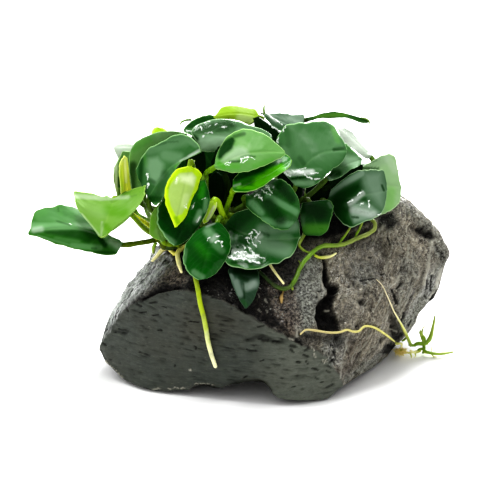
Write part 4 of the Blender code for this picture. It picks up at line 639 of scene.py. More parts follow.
         foot("main", 0.87, (0, 1, 0.4)), lobe=0.02, wave=0.4,
         via=[(296, 195, 19), (305, 155, 36)]),
    Leaf("leaf_28", (371, 157, 24), (353, 139, 27), (337, 127, 28), (355, 136.5, 34), (350, 147, 22),
         foot("branch", 0.38, (0, 1, 0.4)), lobe=0.03),
    Leaf("leaf_29", (219, 207, 6), (218, 190, 6), (216.5, 173, 7), (204, 187, 6), (231.5, 187, 5),
         foot("main", 0.35, (0, 1, 0.3)), lobe=0.0, tone="dark",
         edge=[(203.5, 179), (207.5, 174.3), (215, 172.7), (222, 175.2), (228, 179.7), (231.7, 186), (229, 197), (223, 205), (212, 205),
               (206, 193)]),
    Leaf("leaf_35", (142, 150.5, 23), (129, 147, 22), (113.3, 147.5, 20), (127, 138.5, 30), (125, 158, 18),
         foot("main", 0.13, (0, 1, 0.2)), lobe=0.0, wave=0.5, coarse=True,
         edge=[(113, 147), (115.3, 142.2), (121, 139), (126, 138), (131, 139), (137, 140), (142, 144), (142, 152), (136, 157), (128, 158.5),
               (121, 159), (117.5, 157), (114, 151.5)],
         via=[(150, 217, 18), (143, 190, 26), (142, 165, 24)]),
    Leaf("leaf_36", (283, 150, 16), (268, 134, 17), (253.5, 118, 18), (259, 139, 14), (281, 131, 20),
         foot("main", 0.65, (0, 1, 0.4)), lobe=0.0, tone="dark", coarse=True,
         edge=[(252.5, 118), (258, 116), (263, 118.5), (270, 124.5), (280, 131.5), (285, 140), (281, 151), (268, 147), (256, 134)],
         via=[(251, 203, 9), (270, 176, 13)]),
    Leaf("leaf_37", (226, 172, -2), (229, 159, -3), (233, 147, -3), (210.5, 158, -2), (246, 163, -5),
         foot("main", 0.46, (0, 0.7, 0.7)), lobe=0.0, tone="dark", coarse=True,
         edge=[(210.5, 169), (211, 161), (213.8, 153), (218, 146.5), (226, 144), (238, 146), (248, 152), (249, 163), (238, 171), (222, 172)],
         via=[(221, 213, 4), (229, 190, 0)]),
    # leaves that the front ones hide
    Leaf("leaf_30", (166, 190, 26), (174, 170, 30), (185, 153, 36), (155, 163, 29), (192, 176, 32),
         foot("main", 0.2, (0, 1, 0.1)), tone="dark", coarse=True),
    Leaf("leaf_31", (226, 186, 32), (212, 165, 34), (199, 146, 38), (196, 172, 33), (228, 154, 38),
         foot("main", 0.43, (0, 1, 0.1)), tone="dark", coarse=True,
         via=[(220, 212, 18), (224, 200, 27)]),
    Leaf("leaf_32", (276, 176, 32), (276, 158, 42), (280, 152, 52), (256, 158, 42), (298, 156, 44),
         foot("main", 0.72, (0, 1, 0.3)), coarse=True,
         via=[(268, 200, 22)]),
    Leaf("leaf_33", (322, 172, 36), (328, 158, 44), (334, 156, 54), (308, 158, 46), (350, 158, 45),
         foot("branch", 0.2, (0, 1, 0.4)), coarse=True),
    Leaf("leaf_34", (372, 176, 35), (380, 168, 42), (387, 168, 49), (362, 164, 44), (398, 172, 40),
         foot("branch", 0.95, (0, 1, 0.4)), coarse=True),
]

TONES = {
    "mature": ((0.045, 0.135, 0.050), 0.30),
    "wet": ((0.060, 0.150, 0.070), 0.18),
    "glossy": ((0.008, 0.075, 0.006), 0.18),
    "dark": ((0.010, 0.060, 0.012), 0.35),
    "bright": ((0.065, 0.330, 0.020), 0.25),
    "young": ((0.230, 0.480, 0.100), 0.35),
    "yellow": ((0.520, 0.700, 0.050), 0.35),
}


# ------------------------------------------------------------------ roots
def place(spec):
    """('s', gx, gy, lift) lies on the stone, ('g', gx, gy, depth) hangs free, ('r', stem, u, out) starts at the rhizome."""
    if spec[0] == "s":
        return on_stone(spec[1], spec[2], spec[3])
    if spec[0] == "g":
        return sight(*spec[1:])
    return foot(spec[1], spec[2], spec[3])[0]


ROOTS = [
    ("root_01", [("r", "main", 0.36, (0, -0.8, -0.6)), ("s", 194, 266, 2.4), ("s", 197, 282, 2.2), ("s", 199.4, 300, 2.0),
                 ("s", 204.4, 320, 1.7), ("s", 207.8, 340, 1.6), ("s", 210.3, 351, 1.5), ("s", 215.4, 366.3, 1.5)],
     [1.0, 1.0, 1.0, 1.05, 1.05, 1.05, 1.0, 0.85], 12),
    ("root_02", [("r", "main", 0.17, (0, -0.9, -0.4)), ("s", 178, 252, 2.6), ("s", 178.8, 263, 2.2), ("s", 181.6, 272, 1.7)],
     [1.0, 1.05, 1.05, 0.6], 7),
    ("root_03", [("r", "main", 0.06, (-0.1, -0.7, -0.8)), ("s", 166, 247, 2.8), ("s", 160.5, 252.5, 2.4), ("s", 152.5, 260.8, 2.0)], [0.9, 1.0, 1.0, 0.6], 6),
    ("root_04", [("r", "branch", 0.97, (0, -0.7, -0.7)), ("s", 375.5, 224, 3.2), ("s", 371, 232, 2.5), ("s", 357, 238.5, 2.2),
                 ("s", 340, 245, 2.1), ("s", 321, 246.5, 2.2), ("s", 308, 257, 2.3), ("s", 300.5, 267, 2.0),
                 ("s", 295, 280, 1.9), ("s", 287, 288.5, 1.9), ("s", 274.5, 285.5, 1.9), ("s", 259, 271, 2.1)],
     [0.9, 1.05, 1.1, 1.1, 1.1, 1.15, 1.1, 1.1, 1.1, 1.1, 1.0, 0.8], 26),
    ("root_05", [("r", "main", 0.86, (0, -0.8, -0.6)), ("s", 268, 258, 3.6), ("s", 277, 275, 4.2), ("s", 283.5, 283.5, 4.6)],
     [0.7, 0.75, 0.45], 7),
    ("root_06", [("r", "branch", 0.1, (0, -0.7, -0.7)), ("s", 299, 246, 2.8), ("s", 303.5, 250.5, 2.0)], [0.7, 0.8, 0.5], 6),
    ("root_07", [("s", 315, 255.5, 1.4), ("s", 320, 257.6, 1.4), ("s", 330, 256.5, 1.4), ("s", 336, 253.3, 1.4)],
     [0.6, 0.75, 0.4], 7),
    ("root_08", [("s", 341.5, 240, 2.0), ("s", 346, 234, 2.6), ("s", 350, 228, 3.4)], [0.6, 0.5, 0.4], 4),
    ("root_09", [("s", 356.5, 234, 2.2), ("s", 359.5, 229, 2.8), ("s", 363, 221, 3.6)], [0.6, 0.5, 0.4], 4),
    ("root_10", [("s", 300.4, 334.3, 1.3), ("s", 307, 329.7, 1.3), ("s", 329, 332.6, 1.4), ("s", 340.5, 332, 1.5),
                 ("s", 347.4, 329.7, 1.4), ("s", 357, 332.4, 1.4), ("s", 363.5, 326.6, 1.5), ("s", 373.8, 327.4, 1.3),
                 ("s", 385.3, 334.3, 1.3), ("s", 394.5, 341.5, 1.5)],
     [0.35, 0.5, 0.5, 0.5, 0.5, 0.5, 0.5, 0.5, 0.45, 0.35], 20),
    ("root_11", [("s", 376.4, 279.4, 1.1), ("s", 381, 283, 1.1), ("s", 388.5, 298.7, 1.2), ("s", 394, 311.5, 1.5),
                 ("s", 400.6, 323, 2.2), ("s", 405.4, 333, 2.6), ("g", 410.5, 344.5, 8)],
     [0.3, 0.4, 0.5, 0.6, 0.85, 0.8, 0.7], 14),
    ("root_12", [("g", 414.5, 345.4, 8), ("g", 418, 343.4, 8), ("g", 425, 343.2, 8), ("g", 429.7, 338.7, 9),
                 ("g", 432.2, 330.3, 10), ("g", 435, 316.3, 11)], [0.7, 0.9, 1.0, 0.8, 0.6, 0.35], 12),
    ("root_13", [("g", 422, 348.5, 6), ("g", 428, 352.3, 4), ("g", 440.6, 354, 3.5), ("g", 452.7, 352, 6)],
     [0.5, 0.7, 0.55, 0.35], 8),
    ("root_14", [("g", 422.3, 338.5, 8), ("g", 421.6, 335, 9), ("g", 420.6, 330.5, 9)], [0.5, 0.5, 0.3], 4),
    ("root_15", [("g", 420.5, 351, 5), ("g", 414.5, 352.5, 3.5), ("g", 410.5, 350.5, 3)], [0.4, 0.55, 0.45], 5),
    ("root_16", [("g", 155.5, 243.5, 0), ("g", 153.5, 248, 1), ("g", 153.5, 252.5, 2)], [0.8, 0.9, 0.6], 4),
]


GREEN_ROOTS = ("root_04", "root_06", "root_08", "root_09", "root_13", "root_14", "root_16")


# ------------------------------------------------------------------ small helpers for fine meshes
def within(g, polygon, soft):
    """1 inside the polygon on the sighting grid, 0 outside, and a soft step of that width between."""
    poly = np.array(polygon, float)
    inside = np.zeros(len(g), bool)
    near = np.full(len(g), 1e9)
    for a, b in zip(poly, np.roll(poly, -1, axis=0)):
        cross = (a[1] > g[:, 1]) != (b[1] > g[:, 1])
        at = (b[0] - a[0]) * (g[:, 1] - a[1]) / (b[1] - a[1] + 1e-12) + a[0]
        inside ^= cross & (g[:, 0] < at)
        e = b - a
        u = np.clip(((g - a) @ e) / (e @ e), 0, 1)
        near = np.minimum(near, np.linalg.norm(g - a - u[:, None] * e, axis=1))
    signed = np.where(inside, near, -near)
    return np.clip(0.5 + signed / (2 * soft), 0, 1)


def step(x, a, b):
    u = np.clip((x - a) / (b - a), 0, 1)
    return u * u * (3 - 2 * u)


def sphere_grid(n):
    """Directions and quads of a sphere in six square patches, for many facets."""
    g = np.tan((np.arange(n + 1) / n - 0.5) * math.pi / 2)
    a, b = np.meshgrid(g, g, indexing="ij")
    one = np.ones_like(a)
    patches = [(one, a, b), (-one, -a, b), (-a, one, b), (a, -one, b), (-b, a, one), (b, a, -one)]
    dirs = np.concatenate([np.stack(q, axis=-1).reshape(-1, 3) for q in patches])
    dirs /= np.linalg.norm(dirs, axis=1)[:, None]
    i, j = np.meshgrid(np.arange(n), np.arange(n), indexing="ij")
    k = (i * (n + 1) + j).ravel()
    quad = np.stack([k, k + n + 1, k + n + 2, k + 1], axis=1)
    quads = np.concatenate([quad + f * (n + 1) ** 2 for f in range(6)])
    _, first, back = np.unique(np.round(dirs, 5), axis=0, return_index=True, return_inverse=True)
    return dirs[first], back.ravel()[quads]


def normals_of(p, faces):
    n = np.zeros_like(p)
    t = np.vstack([faces[:, [0, 1, 2]], faces[:, [0, 2, 3]]]) if faces.shape[1] == 4 else faces
    c = np.cross(p[t[:, 1]] - p[t[:, 0]], p[t[:, 2]] - p[t[:, 0]])
    for k in range(3):
        for m in range(3):
            n[:, m] += np.bincount(t[:, k], weights=c[:, m], minlength=len(p))
    return n / np.maximum(1e-12, np.linalg.norm(n, axis=1))[:, None]


def make(name, points, faces, material, attributes=None, smooth=True, nodes=()):
    """A mesh piece from points in millimetres."""
    mesh = bpy.data.meshes.new(name)
    mesh.from_pydata(((np.asarray(points) - ORIGIN) * 0.001).tolist(), [], [list(map(int, f)) for f in faces])
    for key, values in (attributes or {}).items():
        a = mesh.attributes.new(key, "FLOAT_VECTOR", "POINT")
        a.data.foreach_set("vector", np.asarray(values, np.float32).ravel())
    if smooth:
        mesh.shade_smooth()
    mesh.materials.append(material)
    mesh.update()
    o = bpy.data.objects.new(name, mesh)
    bpy.context.scene.collection.objects.link(o)
    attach(o, "root")
    if nodes:
        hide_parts(*nodes)
    return o


def skin(rings):
    """Quads through rings of equal count, and a fan at each end."""
    n = len(rings[0])
    faces = []
    for r in range(len(rings) - 1):
        a = r * n
        faces += [(a + i, a + (i + 1) % n, a + n + (i + 1) % n, a + n + i) for i in range(n)]
    pts = np.vstack(rings)
    first, last = len(pts), len(pts) + 1
    pts = np.vstack([pts, rings[0].mean(0), rings[-1].mean(0)])
    faces += [(first, (i + 1) % n, i) for i in range(n)]
    a = (len(rings) - 1) * n
    faces += [(last, a + i, a + (i + 1) % n) for i in range(n)]
    return pts, faces


def outward(points, faces):
    """The faces, turned round if they point in."""
    p = np.asarray(points)
    v = 0.0
    for f in faces[::7]:
        a, b, c = p[f[0]], p[f[1]], p[f[2]]
        v += np.dot(a - p.mean(0), np.cross(b - a, c - a))
    return faces if v > 0 else [tuple(reversed(f)) for f in faces]


# ------------------------------------------------------------------ node material helpers
class Nodes:
    def __init__(self, name):
        self.m = bpy.data.materials.new(name)
        self.m.use_nodes = True
        self.t = self.m.node_tree
        self.p = self.t.nodes["Principled BSDF"]

    def new(self, kind, **props):
        n = self.t.nodes.new(kind)
        for k, v in props.items():
            setattr(n, k, v)
        return n

    def put(self, socket, value):
        if isinstance(value, bpy.types.NodeSocket):
            self.t.links.new(value, socket)
        elif isinstance(value, (tuple, list)) and len(value) == 3 and socket.type == "RGBA":
            socket.default_value = (*value, 1.0)
        else:
            socket.default_value = value

    def math(self, op, a, b=0.0, c=0.0, clamp=False):
        n = self.new("ShaderNodeMath", operation=op, use_clamp=clamp)
        for s, v in zip(n.inputs, (a, b, c)):
            self.put(s, v)
        return n.outputs[0]

    def ramp(self, value, a, b, lo=0.0, hi=1.0, smooth=True):
        n = self.new("ShaderNodeMapRange", interpolation_type="SMOOTHSTEP" if smooth else "LINEAR")
        for s, v in zip(n.inputs, (value, a, b, lo, hi)):
            self.put(s, v)
        return n.outputs[0]

    def mix(self, factor, a, b, kind="MIX"):
        n = self.new("ShaderNodeMix", data_type="RGBA", blend_type=kind)
        self.put(n.inputs[0], factor)
        self.put(n.inputs[6], a)
        self.put(n.inputs[7], b)
        return n.outputs[2]

    def noise(self, scale, detail=3.0, rough=0.55, vector=None, distortion=0.0):
        n = self.new("ShaderNodeTexNoise")
        n.inputs["Scale"].default_value = scale
        n.inputs["Detail"].default_value = detail
        n.inputs["Roughness"].default_value = rough
        n.inputs["Distortion"].default_value = distortion
        self.put(n.inputs["Vector"], vector if vector is not None else self.where())
        return n.outputs["Fac"]

    def cells(self, scale, vector=None, feature="F1", randomness=1.0):
        n = self.new("ShaderNodeTexVoronoi", feature=feature)
        n.inputs["Scale"].default_value = scale
        n.inputs["Randomness"].default_value = randomness
        self.put(n.inputs["Vector"], vector if vector is not None else self.where())
        return n.outputs["Distance"]

    def where(self):
        if not hasattr(self, "_where"):
            self._where = self.new("ShaderNodeTexCoord").outputs["Object"]
        return self._where

    def stretched(self, scale, turn=(0, 0, 0)):
        n = self.new("ShaderNodeMapping")
        self.put(n.inputs["Vector"], self.where())
        n.inputs["Rotation"].default_value = turn
        n.inputs["Scale"].default_value = scale
        return n.outputs[0]

    def attribute(self, name):
        n = self.new("ShaderNodeAttribute", attribute_name=name)
        s = self.new("ShaderNodeSeparateXYZ")
        self.t.links.new(n.outputs["Vector"], s.inputs[0])
        return s.outputs

    def bump(self, height, strength, distance, below=None):
        n = self.new("ShaderNodeBump")
        self.put(n.inputs["Strength"], strength)
        n.inputs["Distance"].default_value = distance
        self.put(n.inputs["Height"], height)
        if below is not None:
            self.t.links.new(below, n.inputs["Normal"])
        return n.outputs[0]

    def shaken(self, place_, at, scale, amount):
        """The place, moved about a little by noise."""
        field = self.new("ShaderNodeTexNoise")
        field.inputs["Scale"].default_value = scale
        field.inputs["Detail"].default_value = 2
        self.put(field.inputs["Vector"], at)
        centred = self.new("ShaderNodeVectorMath", operation="SUBTRACT")
        self.put(centred.inputs[0], field.outputs["Color"])
        centred.inputs[1].default_value = (0.5, 0.5, 0.5)
        wobble = self.new("ShaderNodeVectorMath", operation="SCALE")
        self.put(wobble.inputs[0], centred.outputs[0])
        wobble.inputs["Scale"].default_value = amount
        level_ = self.new("ShaderNodeVectorMath", operation="MULTIPLY")
        self.put(level_.inputs[0], wobble.outputs[0])
        level_.inputs[1].default_value = (1, 1, 0)
        n = self.new("ShaderNodeVectorMath", operation="ADD")
        self.put(n.inputs[0], place_)
        self.put(n.inputs[1], level_.outputs[0])
        return n.outputs[0]

    def capsules(self, here, specs, outer, inner):
        """1 along rounded strokes given by two ends, half width and strength, 0 elsewhere."""
        total = None
        for (ax, ay), (bx, by), wide, strength in specs:
            ex, ey = bx - ax, by - ay
            long2 = max(1e-6, ex * ex + ey * ey)
            off = self.new("ShaderNodeVectorMath", operation="SUBTRACT")
            self.put(off.inputs[0], here)
            off.inputs[1].default_value = (ax, ay, 0)
            dot = self.new("ShaderNodeVectorMath", operation="DOT_PRODUCT")
            self.put(dot.inputs[0], off.outputs[0])
            dot.inputs[1].default_value = (ex / long2, ey / long2, 0)
            h = self.math("ADD", dot.outputs["Value"], 0.0, clamp=True)
            foot_ = self.new("ShaderNodeVectorMath", operation="SCALE")
            foot_.inputs[0].default_value = (ex, ey, 0)
            self.put(foot_.inputs["Scale"], h)
            gap = self.new("ShaderNodeVectorMath", operation="DISTANCE")
            self.put(gap.inputs[0], off.outputs[0])
            self.put(gap.inputs[1], foot_.outputs[0])
            g = self.ramp(gap.outputs["Value"], outer * wide, inner * wide, 0.0, strength)
            total = g if total is None else self.math("MAXIMUM", total, g)
        return total

    def set(self, **values):
        for k, v in values.items():
            self.put(self.p.inputs[k.replace("_", " ")], v)
        return self.m


# ------------------------------------------------------------------ stone
FINE = 124
FINE_ROUNDING = 0.020     # radians: the seen edges are crisper than in the worn outline
FRONT_FACE = [(96, 348), (104, 341), (119, 314), (130, 304.5), (141, 301), (161, 292.5), (175, 289.5), (190, 290), (202.5, 293.6), (227.8, 301.7), (245, 312), (256.5, 319),
              (272, 329), (289, 338), (303, 346), (317.6, 350), (328, 357), (334.8, 367.6), (340.5, 379), (345, 396), (300, 408), (200, 398), (125, 392), (96, 362)]
LEDGE = [(114, 332), (118, 298), (160, 280), (200, 280), (270, 308), (330, 342), (348, 384), (334, 380), (300, 358), (240, 328), (190, 306), (150, 310), (126, 326)]
LEFT_STRIP = [(96, 350), (96, 330), (108, 312), (116, 294), (125, 282), (134, 273), (144, 260), (156, 244), (181, 251), (172, 264), (152, 284),
              (131, 302), (119, 314), (104, 342)]
CRACK = [(321, 250, 0.5, 0.5), (322, 254, 1.0, 0.6), (324.4, 260.6, 1.8, 0.65), (325.5, 267, 2.4, 0.75), (325, 273, 2.6, 0.8), (326, 279, 3.0, 0.95), (328, 284, 3.4, 1.3), (333, 289, 3.0, 1.8)]
SIDE_CRACK = [(318, 308, 1.2, 1.0), (322, 303, 1.8, 1.2), (328, 298, 1.8, 1.2)]
CLEFT = [(322, 258), (323.5, 263), (325, 268), (324.4, 275), (324.5, 280), (326, 285), (328, 289), (328.5, 296), (327, 300), (321, 303.5), (319, 307), (316.5, 312), (316.5, 320), (318, 326), (322, 331),
         (341, 331), (339, 322), (336, 316), (333.5, 309), (331.5, 304.5), (334, 300), (336, 296), (339, 290.5), (338.5, 286), (334, 285.5), (330, 284), (328.5, 278), (327.5, 272), (325.5, 266), (324.5, 258)]
# the outline of the stone on the sighting grid, open above where the plant stands
OUTLINE = [(150, 150), (150, 262), (145, 263.5), (142.5, 267.5), (137, 272), (135, 277), (128, 283), (123, 292), (117, 303), (111, 312), (107, 322), (104, 332), (101.5, 341), (99.7, 346), (99, 351),
           (100, 356), (104, 359), (105, 362), (110, 366), (115, 371), (121, 377), (125, 380), (127.5, 383.5), (137, 386.5), (142, 389.3), (146, 391), (150, 392), (163, 392), (175, 390.5), (190, 390),
           (192, 386), (205, 385), (213, 387.5), (219, 388.3), (228, 385.5), (231, 384), (240, 383.3), (245, 381.3), (262, 381), (266, 384), (270, 388), (273, 394), (278, 398), (285, 399.5), (300, 400.5),
           (316, 400.2), (326, 399), (331, 396), (338, 389.5), (347, 383.5), (360, 375), (375, 366.5), (386, 357.5), (394, 347), (403, 339), (410, 331), (416, 322.5), (418, 314), (423, 309), (428, 303),
           (434, 298), (439, 288), (442, 276), (445.5, 263.5), (449, 257), (450, 253), (448, 247), (444.5, 242), (440, 232), (436.5, 225), (429, 216), (420, 207), (410, 200), (402, 196), (396, 150)]
SCARS = [[(399, 258), (396, 268), (390, 285), (381, 299), (372, 312)], [(415, 215), (426, 230), (430, 240)], [(431, 242), (427, 270), (423, 284)]]
CREASES = [[(126, 306, 0.5, 0.9), (145, 299, 0.7, 1.0), (165, 291, 0.6, 0.9), (180, 288, 0.5, 0.9)], [(112, 330, 0.4, 0.8), (124, 333, 0.9, 0.9), (128, 331, 0.5, 0.8)],
           [(248, 340, 0.5, 0.8), (262, 337, 0.9, 0.9), (276, 342, 0.7, 0.9), (289, 341, 0.5, 0.8)], [(352, 258, 0.5, 0.9), (366, 262, 0.8, 1.0), (378, 268, 0.5, 0.8)],
           [(389, 318, 0.7, 0.8), (392, 330, 1.1, 1.1), (396, 340, 0.8, 0.9)], [(404, 268, 0.7, 1.1), (412, 280, 0.9, 1.2), (408, 296, 0.6, 1.0)],
           [(424, 262, 0.8, 1.0), (421, 280, 1.0, 1.2), (410, 300, 0.8, 1.0), (400, 318, 0.6, 1.0)], [(414, 228, 0.8, 1.6), (426, 234, 1.0, 1.8)],
           [(366, 340, 0.5, 0.8), (358, 356, 0.7, 0.9), (350, 372, 0.5, 0.8)], [(343, 262, 0.6, 0.9), (348, 276, 0.8, 1.1), (356, 286, 0.5, 0.9)]]
STREAK = unit(sight(362, 370, -9) - sight(425, 213, 26))

LEFT_STREAK = unit(on_stone(108, 333, 0.0) - on_stone(140, 276, 0.0))

# Parts of the surface on the sighting grid that are darker, greyer, redder, browner or more sparkling than the rest:
# kind, corners, softness of the border, strength. The dark parts are painted shade, under the plant and in the crevices
# and hollows; the sparkling parts get painted glints.
PATCHES = [
    ("dark", [(126, 307), (136, 300), (150, 291), (166, 283), (183, 287), (196, 274), (215, 272), (262, 268), (268, 290), (276, 318), (289, 334), (272, 327), (256.5, 318), (245, 311), (227.8, 300.7),
              (202.5, 292.6), (190, 289), (175, 288.5), (161, 291.5), (141, 300)], 2.0, 0.9),
    ("dark", [(150, 240), (182, 215), (215, 150), (260, 120), (345, 140), (398, 152), (399, 203), (380, 216), (368, 224), (350, 232), (330, 240), (300, 240), (290, 262), (262, 275), (225, 282), (196, 280),
              (178, 266), (168, 256)], 3.0, 1.0),
    ("dark", [(330, 238), (372, 226), (382, 222), (374, 236), (352, 243), (331, 247)], 2.0, 0.8),
    ("dark", [(303, 334), (345, 334), (347, 344), (336, 349), (318, 343), (305, 341)], 2.5, 0.6),
    ("dark", [(150, 262), (176, 252), (170, 268), (152, 285), (140, 286), (146, 270)], 3.0, 0.35),
    ("dark", [(385, 343), (395, 343), (397, 350), (388, 355), (380, 352)], 1.5, 0.9),
    ("dark", [(376, 214), (392, 211), (399, 222), (390, 231), (377, 228)], 2.0, 0.9),
    ("dark", [(345, 244), (372, 236), (384, 234), (380, 243), (360, 250), (346, 252)], 4.0, 0.45),
    ("dark", [(415, 228), (425, 226), (434, 232), (434, 240), (424, 240)], 2.2, 0.45),
    ("dark", [(381, 213), (396, 210), (399, 224), (388, 232), (379, 226)], 3.0, 0.55),
    ("dark", [(413, 224), (428, 228), (433, 240), (420, 240), (409, 234)], 4.0, 0.35),
    ("dark", [(296, 345), (318, 348), (330, 356), (322, 362), (300, 354)], 3.0, 0.5),
    ("dark", [(389, 315), (397, 317), (400, 330), (399, 342), (391, 343)], 1.6, 0.8),
    ("dark", [(256, 262), (290, 258), (293, 276), (270, 284), (258, 276)], 2.0, 0.5),
    ("grey", [(296, 283), (301, 262), (311, 253), (321, 260), (325, 284), (330, 290), (321, 304), (316, 322), (306, 334), (294, 327), (291, 305)], 3.0, 0.9),
    ("grey", [(322, 340), (344, 335), (347, 350), (342, 366), (331, 366), (322, 352)], 2.5, 0.8),
    ("grey", [(352, 266), (374, 262), (378, 280), (366, 288), (352, 282)], 4.0, 0.5),
    ("grey", [(438, 262), (449, 257), (436, 292), (418, 318), (401, 338), (386, 352), (396, 330), (412, 300), (426, 276)], 3.0, 0.85),
    # painted highlight along the ridge of the right edge
    ("grey", [(398, 198), (412, 203), (430, 222), (440, 236), (451, 252), (443, 262), (434, 256), (427, 238), (417, 224), (404, 210)], 2.0, 0.6),
    ("grey", [(345, 384), (375, 366), (392, 350), (380, 352), (358, 366), (344, 378)], 2.0, 0.7),
    ("grey", [(399, 260), (412, 250), (420, 268), (410, 300), (396, 318), (398, 290)], 4.0, 0.5),
    ("rust", [(250, 288), (262, 284), (292, 284), (300, 304), (302, 328), (292, 337), (274, 327), (258, 315)], 3.0, 0.75),
    ("rust", [(178, 312), (196, 304), (236, 312), (240, 330), (214, 346), (184, 340)], 8.0, 0.3),
    ("rust", [(160, 272), (182, 262), (186, 284), (168, 286)], 3.0, 0.5),
    ("rust", [(334, 352), (352, 336), (366, 340), (352, 372), (340, 378)], 3.0, 0.4),
    ("spark", [(296, 283), (301, 262), (311, 253), (325, 262), (328, 288), (316, 322), (306, 334), (294, 330), (291, 305)], 3.0, 0.8),
    ("spark", [(326, 256), (350, 246), (380, 240), (386, 262), (374, 284), (352, 290), (338, 286), (330, 272)], 4.0, 1.0),
    ("spark", [(340, 288), (366, 284), (372, 300), (362, 318), (350, 318), (344, 300)], 3.0, 0.7),
    ("spark", [(322, 338), (345, 334), (347, 350), (342, 368), (330, 366)], 2.5, 1.0),
    ("spark", [(254, 284), (292, 282), (300, 300), (292, 322), (276, 318), (262, 304)], 3.0, 0.9),
    ("spark", [(202, 284), (236, 288), (240, 300), (226, 300), (204, 292)], 2.0, 0.7),
    ("spark", [(376, 216), (400, 208), (402, 228), (386, 238)], 3.0, 0.9),
    ("spark", [(120, 290), (150, 262), (180, 250), (184, 262), (160, 280), (134, 300)], 3.0, 0.6),
    ("spark", [(156, 240), (184, 248), (178, 262), (160, 262), (148, 258)], 2.0, 0.8),
]


# Small strokes on the stone on the sighting grid: ends and half width. The dark strokes are painted shade in the split
# and crevices, with dark flecks of the stone's own on the smooth face; the light strokes are pale scars, painted
# highlights along the ridges on the right and a painted reflection of the floor along the lower edge.
DARK_STROKES = [
    ((323, 259), (325, 268), 0.9), ((325, 268), (324.8, 276), 0.9), ((324.8, 276), (327, 285), 1.2), ((326.5, 273), (328.5, 279), 0.8), ((329, 286), (338, 287.5), 1.2), ((331, 289), (333, 297), 2.9),
    ((335.5, 289), (336, 291), 2.2), ((333, 297), (331, 303), 2.4), ((329, 302), (324, 308), 3.0), ((332, 304), (332, 308), 0.9), ((322, 311), (321, 319), 3.6), ((327, 315), (330, 326), 4.5),
    ((334, 318), (336, 326), 3.2), ((323, 322), (326, 327), 3.2),
    ((119, 329), (126, 330), 1.0), ((114, 333), (116, 333), 0.5), ((153, 315.5), (158, 314.5), 0.8), ((139, 352), (142, 352.5), 0.6), ((145, 354), (149, 356), 0.7), ((158, 330), (162, 330.5), 0.5),
    ((175, 365), (176, 366), 0.6), ((103, 343), (106, 345), 0.9), ((108, 360), (114, 361), 0.6), ((189, 321.5), (199, 322), 0.7), ((244, 378), (247, 376), 0.8), ((195, 346), (196, 349), 0.7),
    ((220, 331), (224, 331.5), 0.5), ((227, 300), (233, 303), 1.2), ((137, 304), (141, 306), 1.2), ((150, 303), (156, 302), 1.0), ((127, 308), (129, 311), 0.8), ((163, 307), (167, 307.5), 0.5),
    ((140, 313), (146, 312), 0.5), ((248, 350), (256, 351), 0.9), ((252, 345), (255, 346), 0.6), ((142, 301), (148, 297), 1.4), ((150, 296), (158, 292), 1.4), ((160, 291), (168, 288), 1.2),
    ((170, 290), (178, 287), 1.0), ((240, 308), (246, 312), 1.3), ((212, 297), (219, 299), 1.0),
    ((259, 338.5), (262, 339), 1.0), ((262, 340), (268, 341), 1.3), ((272, 342), (277, 342), 0.8), ((281, 339), (283, 340), 0.9), ((246, 349), (250, 351), 0.8), ((260, 361), (264, 360), 0.6),
    ((290, 346), (296, 347), 1.4), ((291, 350), (293, 352), 1.2), ((305, 350), (309, 348), 1.3), ((304, 355), (308, 356), 1.2), ((297, 362), (300, 362), 0.8), ((306, 361), (308, 364), 0.7),
    ((312, 368), (318, 370), 0.9), ((327, 371), (330, 372), 0.8), ((316, 378), (318, 379), 0.8), ((320, 382), (323, 382), 0.7), ((327, 387), (333, 384), 1.2), ((330, 362), (334, 360), 1.4),
    ((329, 366), (331, 368), 1.0), ((333, 348), (335, 357), 0.8), ((331, 345), (333, 346), 1.0), ((291, 387), (296, 386), 0.6), ((280, 378), (283, 379), 0.5), ((262, 320), (268, 321), 1.0),
    ((258, 327), (263, 326), 0.8), ((272, 318), (276, 320), 0.8), ((282, 310), (287, 311), 0.8), ((300, 341), (302, 345), 1.4), ((286, 320), (287, 327), 1.0),
    ((430, 233), (433, 238), 2.4), ((426, 234), (430, 239), 1.8), ((417, 229), (423, 229), 0.9), ((411, 228), (413, 229), 0.8), ((436, 245), (437, 252), 1.1), ((441, 252), (444, 258), 1.4),
    ((440, 255), (441, 262), 1.0), ((427, 281), (425, 292), 1.6), ((432, 276), (430, 290), 1.2), ((424, 294), (425, 297), 1.4), ((432, 294), (430, 299), 1.4), ((436, 290), (432, 297), 1.0),
    ((387, 235), (390, 245), 0.8), ((402, 267), (400, 272), 1.0), ((391, 291), (394, 296), 1.8), ((393, 296), (396, 303), 1.6), ((396, 289), (401, 284), 1.2), ((360, 280), (374, 279.5), 0.5),
    ((368, 257), (371, 258), 0.8), ((381, 275), (385, 274), 0.8), ((385, 218), (392, 215), 1.0), ((381, 219), (384, 218), 1.0), ((388, 226), (393, 224), 1.0), ((404, 313), (402, 322), 1.0),
    ((411, 320), (409, 326), 0.8), ((388, 346), (392, 348), 1.8), ((398, 338), (402, 334), 2.2), ((394, 350), (396, 349), 1.0),
]
